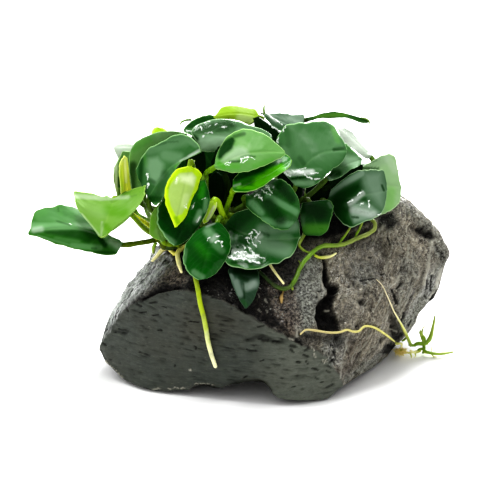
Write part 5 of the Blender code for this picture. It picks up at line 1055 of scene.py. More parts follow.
LIGHT_STROKES = [
    ((402, 260), (401, 268), 0.8), ((401, 268), (399, 276), 0.9), ((399, 276), (395, 283), 1.0), ((395, 283), (388, 288), 1.0), ((388, 288), (382, 293), 0.8), ((382, 293), (378, 302), 1.0),
    ((378, 302), (373, 312), 0.8), ((421, 210), (428, 219), 0.9), ((428, 219), (433, 228), 1.0), ((433, 228), (435, 240), 1.2), ((431, 242), (429, 256), 1.6), ((429, 256), (427, 270), 1.8),
    ((427, 270), (423, 284), 1.6), ((408, 245), (406, 262), 1.2), ((411, 255), (413, 264), 1.0), ((412, 270), (414, 278), 1.0), ((418, 250), (420, 256), 0.8), ((404, 197), (416, 203), 1.2),
    ((436, 266), (432, 274), 1.6), ((442, 268), (436, 288), 2.0), ((436, 286), (428, 297), 0.8), ((322, 281), (323, 289), 1.2), ((318, 292), (320, 300), 0.8), ((324, 292), (325, 295), 1.0),
    ((296, 326), (297, 336), 1.4), ((299, 329), (301, 332), 1.2), ((290, 338), (294, 339), 1.6), ((314, 353), (315.5, 357), 1.0), ((312, 346), (314, 350), 0.8), ((323, 360), (324.5, 363), 1.1),
    ((326, 359), (327, 362), 0.8), ((328, 352), (329, 357), 0.7), ((331, 348), (333, 350), 0.8), ((322, 352), (325, 353), 0.7), ((258, 294), (259, 297), 0.8), ((265, 299), (267, 303), 0.8),
    ((258, 309), (260, 312), 0.8), ((267, 309), (268, 313), 0.6), ((275, 311), (279, 312), 0.6), ((328, 309.5), (331, 310.5), 0.9), ((362, 262), (368, 262), 1.0), ((346, 290), (352, 287), 1.2),
    ((379, 231), (383, 226), 1.6), ((371, 243), (378, 245), 0.7), ((190.3, 369.5), (190.7, 370.5), 0.9), ((149.3, 326.8), (149.5, 327.4), 0.5), ((105, 361), (116, 371), 0.5),
    ((342, 362), (340, 378), 1.0), ((346, 340), (345, 356), 0.9), ((391, 330), (396, 331), 0.9), ((327.3, 310), (329.5, 310.8), 0.8),
    ((116, 371), (123, 378), 0.5), ((151, 390), (160, 389.2), 0.45), ((168, 388.5), (178, 389), 0.45), ((178, 388.8), (188, 387.5), 0.45), ((193, 384), (205, 383.6), 0.45), ((205, 383.6), (216, 386), 0.45),
    ((340, 300), (352, 292), 0.7), ((352, 292), (362, 292), 0.6), ((337, 293), (345, 288), 0.6), ((368, 300), (362, 312), 0.6), ((372, 322), (366, 340), 0.7), ((366, 342), (356, 358), 0.7),
    ((380, 340), (366, 356), 0.7), ((360, 340), (350, 362), 0.6), ((384, 322), (388, 308), 0.6), ((392, 244), (390, 256), 0.7), ((397, 236), (400, 250), 0.7), ((404, 225), (410, 240), 0.7),
    ((388, 262), (384, 276), 0.6), ((405, 282), (398, 296), 0.7), ((412, 286), (404, 304), 0.7),
]


def line_on_stone(spec, n):
    pts = np.array([on_stone(g[0], g[1], 0.0) for g in spec])
    extra = np.array([list(g[2:]) for g in spec]) if len(spec[0]) > 2 else np.zeros((len(spec), 0))
    dense = smooth_line(pts, n)
    at = np.linspace(0, len(spec) - 1, len(dense))
    more = np.stack([np.interp(at, range(len(spec)), extra[:, k]) for k in range(extra.shape[1])], axis=1) if extra.size else extra
    return dense, more


def near_line(p, dense):
    best, which = np.full(len(p), 1e9), np.zeros(len(p), int)
    for i, q in enumerate(dense):
        d = ((p - q) ** 2).sum(1)
        m = d < best
        best[m], which[m] = d[m], i
    return np.sqrt(best), which


def ridged(p, size, seed):
    return 1 - 2 * np.abs(noise(p, size, seed))


def trimmed(p, outline):
    """The points, those seen outside the outline brought on to it at their own depth."""
    g = seen(p)
    poly = np.array(outline, float)
    near, foot_ = np.full(len(g), 1e9), g.copy()
    for a, b in zip(poly, np.roll(poly, -1, axis=0)):
        e = b - a
        u = np.clip(((g - a) @ e) / (e @ e), 0, 1)
        q = a + u[:, None] * e
        d = np.linalg.norm(g - q, axis=1)
        closer = d < near
        near[closer], foot_[closer] = d[closer], q[closer]
    out = ~enclosed(g, poly) & (near < 14)
    for i in np.where(out)[0]:
        p[i] = sight(foot_[i, 0], foot_[i, 1], p[i, 1])
    p[:, 2] = np.maximum(p[:, 2], 0.0)
    return p


def strokes_at(g, specs, outer, inner):
    """1 along rounded strokes on the sighting grid, 0 elsewhere."""
    total = np.zeros(len(g))
    for a, b, wide in specs:
        a, b = np.array(a, float), np.array(b, float)
        lo, hi = np.minimum(a, b) - 2 * wide, np.maximum(a, b) + 2 * wide
        m = np.where(((g > lo) & (g < hi)).all(1))[0]
        e = b - a
        u = np.clip(((g[m] - a) @ e) / max(1e-6, e @ e), 0, 1)
        d = np.linalg.norm(g[m] - a - u[:, None] * e, axis=1)
        total[m] = np.maximum(total[m], 1 - step(d, inner * wide, outer * wide))
    return total


def fine_stone(lines):
    """The stone at full detail; lines are the roots that lie on it, with their radii."""
    global STONE_ROUNDING
    dirs, quads = sphere_grid(FINE)
    # closer facets on the side that is seen in front
    d = dirs * STONE_STRETCH + (0.06, -0.30, 0.06)
    d /= np.linalg.norm(d, axis=1)[:, None]
    worn = STONE_ROUNDING
    p = stone_points(d)
    STONE_ROUNDING = FINE_ROUNDING
    crisp = stone_points(d)
    STONE_ROUNDING = worn
    p = p + (crisp - p) * within(seen(p), LEDGE, 7.0)[:, None]
    n = normals_of(p, quads)
    if ((p - STONE_CENTRE) * n).sum() < 0:
        quads = quads[:, ::-1]
        n = -n
    g = seen(p)
    looks = step(-(n @ np.array(FORWARD)), -0.05, 0.15)
    faces_front = step(-n[:, 1], 0.15, 0.45)
    ragged = g + 1.3 * np.stack([noise(p, 2.4, 11), noise(p, 2.4, 12)], axis=1) + 1.2 * np.stack([noise(p, 6.0, 13), noise(p, 6.0, 14)], axis=1)
    front = within(ragged, FRONT_FACE, 1.2) * faces_front
    back = np.clip(0.5 + 0.5 * noise(p, 9.0, 51) + 0.25 * noise(p, 3.5, 52), 0, 1)
    # left: where the painted glare of bright reflected light lies on the left strip, weaker towards the back, with a
    # weaker painted glare over the back of the side that faces left
    left = within(g, LEFT_STRIP, 3.0) * step(-n[:, 0], 0.1, 0.4)
    left = left * (1 - step(p[:, 1], 6, 36) * (0.35 + 0.45 * back))
    left = np.maximum(left, 0.50 * back * (1 - looks) * step(-n[:, 0], 0.2, 0.8))
    under = step(-n[:, 2], 0.3, 0.7)
    rough = np.clip(1 - front - under, 0, 1)
    right = step(p[:, 0], 18, 34) * looks + (1 - looks) * step(p[:, 0] + 26 * noise(p, 16.0, 53), -34, 52)
    right = right * rough

    # the ledge where the smooth face breaks off: a ragged lip, with a chipped hollow just above it
    band = within(ragged, FRONT_FACE, 7.0)
    lift = 0.45 * np.exp(-(((band - 0.60) / 0.10) ** 2)) * faces_front * (0.6 + noise(p, 3.1, 21))
    lift -= 1.0 * np.exp(-(((band - 0.36) / 0.13) ** 2)) * step(-n[:, 1], 0.05, 0.4) * step(p[:, 2], 8, 20) * (0.7 + 0.6 * noise(p, 5.0, 22))

    def drawn_out(way, keep):
        along = (p @ way)[:, None] * way
        return p - along + keep * along

    streaky = np.where(left[:, None] > 0.3, drawn_out(LEFT_STREAK, 0.07), drawn_out(STREAK, 0.12))
    lift += rough * (0.55 * noise(p, 7.0, 31) + 0.38 * ridged(p, 3.6, 32) - 0.15 + 0.38 * noise(p, 1.7, 33) + 0.26 * noise(p, 0.95, 30))
    lift += right * (0.30 * ridged(streaky, 4.6, 34) - 0.10 + 0.36 * ridged(streaky, 2.2, 35) - 0.12 + 0.30 * noise(streaky, 1.1, 42))
    flat = p * (0.30, 0.6, 1.0)
    lower_right = step(g[:, 0], 235, 300) * front
    lift += front * (0.13 * noise(flat, 1.5, 36) + 0.16 * noise(p, 8.0, 37))
    lift += lower_right * (0.30 * ridged(flat, 2.4, 43) + 0.18 * noise(flat, 1.2, 44) - 0.1)
    lift += left * (0.60 * ridged(streaky, 2.6, 38) + 0.30 * ridged(streaky, 1.2, 39) - 0.30)

    # swellings on the right side
    lift += right * 0.9 * noise(p, 14.0, 40)

    # the split, the creases and the pits
    split = np.zeros(len(p))
    for spec in [CRACK, SIDE_CRACK] + CREASES:
        dense, more = line_on_stone(spec, 8)
        dist, which = near_line(p, dense)
        depth, wide = more[which, 0], more[which, 1]
        dist = dist * (1 + 0.40 * noise(p, 2.4, 41) + 0.2 * noise(p, 1.2, 45))
        lift -= 1.15 * depth * np.exp(-((dist / wide) ** 2)) * looks
        split = np.maximum(split, np.exp(-((dist / wide) ** 2)) * looks * np.minimum(1, depth / 1.5))
    gap = within(g + 0.5 * (ragged - g), CLEFT, 0.9) * looks
    lift -= 2.4 * gap * (1 + 0.25 * noise(p, 3.0, 48))
    split = np.maximum(0.5 * split, 0.97 * gap)
    for spec in SCARS:
        dense, _ = line_on_stone(spec, 8)
        dist, _ = near_line(p, dense)
        dist = dist * (1 + 0.3 * noise(p, 2.0, 46))
        lift += 0.28 * np.exp(-((dist / 0.6) ** 2)) * looks
    shaken = g + 0.9 * np.stack([noise(p, 1.3, 15), noise(p, 1.3, 16)], axis=1)
    dark_lines = strokes_at(shaken, DARK_STROKES, 1.35, 0.40) * looks * (1 - 0.40 * front)
    light_lines = strokes_at(shaken, LIGHT_STROKES, 1.30, 0.35) * looks
    lift += 0.22 * light_lines - 0.45 * dark_lines
    rng = np.random.RandomState(7)
    centres = p[rng.randint(0, len(p), 900)]
    for c in centres:
        r = 0.45 + 1.3 * rng.rand() ** 3
        m = np.abs(p - c).max(1) < 2.4 * r
        d2 = ((p[m] - c) ** 2).sum(1)
        lift[m] -= (0.22 + 0.45 * r) * np.exp(-d2 / (r * r)) * (1 - under[m]) * (1 - 0.8 * front[m])
    # short level nicks on the smooth face
    places = p[(front > 0.8)]
    for c in places[rng.randint(0, len(places), 260)]:
        long_, tall = 0.6 + 2.0 * rng.rand() ** 2, 0.28 + 0.25 * rng.rand()
        m = np.abs(p - c).max(1) < 3 * long_
        q = p[m] - c
        d2 = (q[:, 0] / long_) ** 2 + (q[:, 1] / 1.5) ** 2 + ((q[:, 2] + 0.12 * q[:, 0]) / tall) ** 2
        lift[m] -= (0.20 + 0.40 * rng.rand()) * np.exp(-d2) * front[m]

    low = step(p[:, 2], 0.2, 2.2)
    p = p + n * (lift * low)[:, None]
    # chips along the lower edge
    foot_edge = np.exp(-(((p[:, 2] - 2.0) / 3.0) ** 2)) * step(-n[:, 1], 0.0, 0.5)
    p[:, 2] += foot_edge * np.maximum(0, noise(p, 3.0, 47)) * 1.2
    p[:, 2] = np.maximum(p[:, 2], 0.0)
    p = trimmed(p, OUTLINE)
    # the stone keeps clear of the roots that lie on it
    for line, r in lines:
        lo, hi = line.min(0) - 4, line.max(0) + 4
        m = np.where(((p > lo) & (p < hi)).all(1))[0]
        if not len(m):
            continue
        dense = resample(line, 6 * len(line))
        dist, which = near_line(p[m], dense)
        need = 0.80 * np.interp(which / len(dense), np.linspace(0, 1, len(r)), r)
        short = need - dist
        k = short > 0
        p[m[k]] -= n[m[k]] * (short[k] * 1.15)[:, None]

    kinds = {k: np.zeros(len(p)) for k in ("dark", "grey", "rust", "spark")}
    for kind, corners, soft, strength in PATCHES:
        kinds[kind] = np.maximum(kinds[kind], within(ragged, corners, soft) * strength * looks)
    shades = {
        "zone": np.stack([front, left, right], axis=1),
        "streaks": np.stack([streaky @ (1, 0, 0), streaky @ (0, 1, 0), streaky @ (0, 0, 1)], axis=1) * 0.001,
        "more": np.stack([looks, rough, under], axis=1),
        "lines": np.stack([dark_lines, light_lines, np.zeros(len(g))], axis=1),
        "tone": np.stack([kinds["dark"], kinds["grey"], kinds["rust"]], axis=1),
        # the third of rest: how deep a place lies in a hollow, crease or the split, painted darker as shade
        "rest": np.stack([kinds["spark"], step(g[:, 0], 235, 300) * front, np.maximum(np.clip(-lift / 1.6, 0, 1), split)], axis=1),
    }
    return p, quads, shades


def stone_material():
    s = Nodes("stone")
    front, left, right = s.attribute("zone")
    looks, rough, under = s.attribute("more")
    shade, grey, rust = s.attribute("tone")
    spark, rugged, hollow = s.attribute("rest")
    streaks = s.new("ShaderNodeAttribute", attribute_name="streaks").outputs["Vector"]
    large = s.noise(38, 4, 0.6)
    middle = s.noise(170, 4, 0.6)
    fine = s.noise(420, 5, 0.65)
    grit = s.noise(950, 4, 0.7)
    tiny = s.noise(1900, 2, 0.6)
    split, scars_and_highlights, _ = s.attribute("lines")
    # smooth dark face with level dashes
    bands = s.noise(1.0, 5, 0.62, s.stretched((160, 200, 1100)))
    dashes = s.noise(1.0, 3, 0.6, s.stretched((420, 440, 2000), (0, -0.03, 0)))
    dark = s.mix(s.ramp(bands, 0.30, 0.70), (0.043, 0.051, 0.041), (0.069, 0.079, 0.064))
    dark = s.mix(s.ramp(large, 0.40, 0.70, 0.0, 0.6), dark, (0.066, 0.068, 0.052))
    dash = s.math("MULTIPLY", s.ramp(dashes, 0.60, 0.66), s.ramp(middle, 0.47, 0.60))
    dark = s.mix(s.math("MULTIPLY", dash, 0.50), dark, (0.020, 0.020, 0.016))
    light_dash = s.math("MULTIPLY", s.ramp(dashes, 0.41, 0.35), s.ramp(middle, 0.60, 0.45))
    dark = s.mix(s.math("MULTIPLY", light_dash, 0.28), dark, (0.150, 0.150, 0.112))
    dark = s.mix(s.math("MULTIPLY", rugged, s.ramp(s.noise(1.0, 4, 0.7, s.stretched((520, 600, 1400), (0, -0.35, 0))), 0.52, 0.62, 0.0, 0.75)), dark, (0.022, 0.023, 0.019))
    dark = s.mix(s.math("MULTIPLY", rugged, 0.55), dark, (0.125, 0.135, 0.105), "SCREEN")
    # broken top and right side, brown grey with long streaks
    streak = s.noise(560, 5, 0.70, streaks)
    brown = s.mix(s.ramp(streak, 0.38, 0.60), (0.084, 0.067, 0.044), (0.400, 0.358, 0.268))
    broad = s.noise(250, 4, 0.60, streaks)
    brown = s.mix(s.ramp(broad, 0.47, 0.36, 0.0, 0.62), brown, (0.058, 0.047, 0.031))
    brown = s.mix(s.ramp(broad, 0.55, 0.66, 0.0, 0.50), brown, (0.470, 0.430, 0.330))
    crumple = s.ramp(s.math("ABSOLUTE", s.math("SUBTRACT", s.noise(520, 3, 0.55), 0.5)), 0.034, 0.006)
    vein = s.ramp(s.math("ABSOLUTE", s.math("SUBTRACT", s.noise(780, 2, 0.5, streaks), 0.5)), 0.030, 0.004)
    thread = s.ramp(s.math("ABSOLUTE", s.math("SUBTRACT", s.noise(470, 3, 0.55, streaks), 0.5)), 0.022, 0.002)
    brown = s.mix(s.math("MULTIPLY", crumple, s.ramp(middle, 0.40, 0.60, 0.25, 0.85)), brown, (0.034, 0.027, 0.018))
    brown = s.mix(s.math("MULTIPLY", vein, s.ramp(large, 0.40, 0.62, 0.15, 0.75)), brown, (0.040, 0.033, 0.023))
    brown = s.mix(s.math("MULTIPLY", thread, s.ramp(large, 0.62, 0.42, 0.35, 0.95)), brown, (0.640, 0.610, 0.500))
    brown = s.mix(s.ramp(grit, 0.52, 0.62, 0.0, 0.75), brown, (0.052, 0.043, 0.030))
    brown = s.mix(s.ramp(tiny, 0.55, 0.63, 0.0, 0.72), brown, (0.640, 0.610, 0.515))
    brown = s.mix(s.ramp(large, 0.45, 0.7, 0.0, 0.30), brown, (0.260, 0.245, 0.190))
    top = s.mix(s.ramp(grit, 0.44, 0.58), (0.014, 0.012, 0.009), (0.140, 0.128, 0.100))
    colour = s.mix(right, top, brown)
    # the left strip: painted glare of bright reflected light, broken by dark streaks
    stripes = s.noise(640, 4, 0.65, streaks)
    pale = s.mix(s.ramp(stripes, 0.38, 0.51), (0.014, 0.014, 0.012), s.mix(s.ramp(large, 0.35, 0.6), (0.30, 0.31, 0.29), (0.62, 0.66, 0.62)))
    colour = s.mix(left, colour, pale)
    # grey, reddish and black places: the black is painted shade, and the grey partly a painted highlight along the
    # right edge
    ashen = s.mix(s.ramp(grit, 0.43, 0.57), (0.070, 0.073, 0.058), (0.430, 0.450, 0.390))
    colour = s.mix(s.math("MULTIPLY", grey, 0.85), colour, ashen)
    ruddy = s.mix(s.ramp(grit, 0.43, 0.57), (0.028, 0.018, 0.012), (0.250, 0.200, 0.150))
    colour = s.mix(rust, colour, ruddy)
    colour = s.mix(front, colour, dark)
    colour = s.mix(s.math("MULTIPLY", s.math("MULTIPLY", rust, front), 0.8), colour, (0.078, 0.064, 0.038))
    black = s.mix(s.ramp(grit, 0.52, 0.68), (0.003, 0.0026, 0.0022), (0.034, 0.029, 0.023))
    dim = s.math("MULTIPLY", shade, s.math("SUBTRACT", 1.0, s.math("MULTIPLY", front, 0.8)))
    colour = s.mix(dim, colour, black)
    # painted shade in the hollows, creases and the split
    colour = s.mix(s.math("MULTIPLY", hollow, 0.92), colour, (0.004, 0.0035, 0.003))
    # light strokes: pale scars, with painted highlights on the ridges and a painted reflection of the floor along the
    # lower edge
    colour = s.mix(s.math("MULTIPLY", scars_and_highlights, s.ramp(front, 0.0, 1.0, 0.62, 0.75)), colour, (0.62, 0.60, 0.50))
    # dark strokes: painted shade in the split and crevices, and dark flecks of the stone
    colour = s.mix(s.math("MULTIPLY", split, 0.94), colour, s.mix(s.ramp(grit, 0.56, 0.66), (0.0020, 0.0016, 0.0012), (0.036, 0.028, 0.021)))
    # specks of wet grit, painted as bright glints
    speck = s.math("MULTIPLY", s.ramp(s.noise(1500, 2, 0.5), 0.60, 0.68), s.math("MULTIPLY", spark, s.ramp(middle, 0.38, 0.6, 0.2, 1.0)))
    speck = s.math("MULTIPLY", speck, s.math("SUBTRACT", 1.0, hollow))
    colour = s.mix(s.math("MULTIPLY", speck, 0.80), colour, (0.66, 0.66, 0.60))
    dry = s.math("MAXIMUM", s.math("MAXIMUM", dim, hollow), split)
    roughness = s.ramp(fine, 0.3, 0.7, 0.30, 0.60)
    roughness = s.math("ADD", s.math("MULTIPLY", front, 0.16), roughness, clamp=True)
    roughness = s.math("SUBTRACT", roughness, s.math("MULTIPLY", spark, 0.12), clamp=True)
    roughness = s.math("ADD", roughness, s.math("MULTIPLY", dry, 0.5), clamp=True)
    h0 = s.bump(s.math("SUBTRACT", scars_and_highlights, split), 0.8, 0.0009)
    h1 = s.bump(s.noise(260, 5, 0.7), s.ramp(front, 0.0, 1.0, 0.60, 0.15), 0.0011, h0)
    h2 = s.bump(dashes, s.ramp(front, 0.0, 1.0, 0.10, 0.32), 0.0005, h1)
    h3 = s.bump(s.math("SUBTRACT", grit, s.math("MULTIPLY", crumple, s.math("SUBTRACT", 1.0, front))), s.ramp(front, 0.0, 1.0, 0.95, 0.22), 0.00070, h2)
    h4 = s.bump(tiny, s.ramp(front, 0.0, 1.0, 0.8, 0.2), 0.00030, h3)
    wet = s.math("MULTIPLY", s.ramp(s.noise(85, 3, 0.5), 0.40, 0.6), s.ramp(front, 0.0, 1.0, 0.7, 0.05))
    wet = s.math("MAXIMUM", wet, s.math("MULTIPLY", spark, 0.9))
    wet = s.math("MULTIPLY", wet, s.math("SUBTRACT", 1.0, dry))
    s.set(Base_Color=colour, Roughness=roughness, Normal=h4, Coat_Weight=wet)
    s.p.inputs["Coat Roughness"].default_value = 0.10
    s.p.inputs["Specular IOR Level"].default_value = 0.40
    return s.m


# ------------------------------------------------------------------ leaves
class Look:
    """Colours of a leaf: deep and light parts of the blade, its rim, its stalk, its painted satin sheen and its vivid
    parts, which paint a glow of light through the blade.
    """

    def __init__(self, deep, light, rim, stalk, sheen, vivid, roughness=0.30, rim_mm=0.55, patch=0.5, bump=0.12, wet=0.5, rib=0.12, spec=0.17):
        self.deep, self.light, self.rim, self.stalk, self.sheen, self.vivid = deep, light, rim, stalk, sheen, vivid
        self.roughness, self.rim_mm, self.patch, self.bump, self.wet, self.rib, self.spec = roughness, rim_mm, patch, bump, wet, rib, spec


def leaf_material(name, look, seed, glints):
    s = Nodes(name)
    along, across, facing = s.attribute("blade")
    flat_x, flat_y, edge = s.attribute("flat")
    sheen, shade, pale = s.attribute("tone")
    vivid, wrinkle, _ = s.attribute("more")
    t = s.math("ABSOLUTE", across)
    spread = s.new("ShaderNodeVectorMath", operation="ADD")
    s.put(spread.inputs[0], s.where())
    spread.inputs[1].default_value = (seed * 0.37, seed * 0.11, seed * 0.23)
    at = spread.outputs[0]
    large = s.noise(55, 3, 0.5, at)
    mid = s.noise(190, 4, 0.55, at)
    fine = s.noise(900, 3, 0.6, at)
    uneven = s.math("MULTIPLY", s.math("SUBTRACT", mid, 0.5), 0.5)

    def ragged(w):
        return s.math("ADD", w, s.math("MULTIPLY", uneven, s.math("MULTIPLY", w, s.math("SUBTRACT", 1.0, w))), clamp=True)

    # faint side veins curve from the midrib to the margin
    lean = s.math("MULTIPLY", s.math("POWER", t, 1.4), 0.22)
    phase = s.math("MULTIPLY", s.math("SUBTRACT", along, lean), 9.0 * 2 * math.pi)
    wave = s.math("SINE", s.math("ADD", phase, s.math("MULTIPLY", mid, 2.2)))
    vein = s.math("MULTIPLY", s.ramp(wave, 0.5, 1.0), s.ramp(t, 0.98, 0.75))
    rib = s.ramp(s.math("ABSOLUTE", flat_x), 0.75, 0.1)
    blade = s.ramp(along, -0.01, 0.02)
    rim = s.ramp(s.math("ADD", edge, s.math("MULTIPLY", s.math("SUBTRACT", mid, 0.5), 0.5)), look.rim_mm, 0.25 * look.rim_mm)
    colour = s.mix(s.ramp(large, 0.32, 0.68, 0.0, look.patch), look.deep, look.light)
    colour = s.mix(s.math("MULTIPLY", vein, 0.035), colour, look.sheen)
    colour = s.mix(s.math("MULTIPLY", rib, look.rib), colour, look.rim)
    # painted glow: a brighter green where light shines through the blade
    colour = s.mix(ragged(vivid), colour, look.vivid)
    # painted sheen: grey-green reflection of the bright surroundings, painted into the colour
    colour = s.mix(ragged(sheen), colour, look.sheen)
    # painted shade: the blade made near-black green where shadow falls on it
    colour = s.mix(ragged(shade), colour, (min(0.004, 0.15 * look.deep[0]), min(0.050, 0.50 * look.deep[1]), min(0.003, 0.15 * look.deep[2])))
    under = s.ramp(facing, 0.05, -0.15)
    colour = s.mix(s.math("MULTIPLY", under, 0.25), colour, s.mix(0.6, look.light, (0.16, 0.26, 0.10)))
    # painted glare: a pale, near-white patch where the blade reflects bright light
    colour = s.mix(ragged(pale), colour, tuple(0.45 * c + 0.5 for c in look.light))
    colour = s.mix(s.math("MULTIPLY", rim, 0.8), colour, look.rim)
    # painted glints: small bright highlights painted into the colour, as on wet patches
    flat = s.new("ShaderNodeCombineXYZ")
    s.put(flat.inputs[0], flat_x)
    s.put(flat.inputs[1], flat_y)
    shine = s.capsules(s.shaken(flat.outputs[0], at, 700, 2.2), glints, 1.30, 0.10) if glints else None
    if shine is not None:
        broken = s.ramp(s.noise(1100, 2, 0.5, at), 0.34, 0.50, 0.25, 1.0)
        shine = s.math("MULTIPLY", s.math("MULTIPLY", shine, broken), blade)
        colour = s.mix(shine, colour, (0.92, 0.96, 0.92))
    stalk = s.mix(s.ramp(s.noise(1.0, 3, 0.6, s.stretched((500, 500, 160))), 0.3, 0.7), look.stalk, tuple(0.6 * c for c in look.stalk))
    stalk = s.mix(s.ramp(along, -0.85, -1.0, 0.0, 0.5), stalk, (0.16, 0.18, 0.03))
    colour = s.mix(blade, stalk, colour)
    wet = s.ramp(s.noise(130, 3, 0.5, at), 0.60 - 0.25 * look.wet, 0.78 - 0.25 * look.wet)
    roughness = s.ramp(mid, 0.3, 0.7, look.roughness - 0.06, look.roughness + 0.08)
    roughness = s.math("SUBTRACT", roughness, s.math("MULTIPLY", wet, 0.10), clamp=True)
    roughness = s.math("SUBTRACT", roughness, s.math("MULTIPLY", wrinkle, 0.16), clamp=True)
    folds = s.bump(s.noise(120, 2, 0.5, at), 0.5 * look.bump, 0.0016)
    ribs = s.bump(s.math("SUBTRACT", s.math("MULTIPLY", wave, 0.5), s.math("MULTIPLY", rib, 0.6)), 0.4 * look.bump, 0.0005, folds)
    crinkle = s.bump(s.math("MULTIPLY", s.noise(420, 3, 0.6, at), wrinkle), 0.9, 0.0012, ribs)
    skin_bump = s.bump(fine, 0.20 * look.bump, 0.00022, crinkle)
    s.set(Base_Color=colour, Roughness=roughness, Normal=skin_bump, Coat_Weight=s.math("MAXIMUM", s.math("MULTIPLY", wet, 0.12 if look.wet > 0.3 else 0.0), s.math("MULTIPLY", wrinkle, 0.6)))
    s.p.inputs["Specular IOR Level"].default_value = look.spec
    s.p.inputs["Coat Roughness"].default_value = 0.06
    s.p.inputs["Coat IOR"].default_value = 1.33
    return s.m


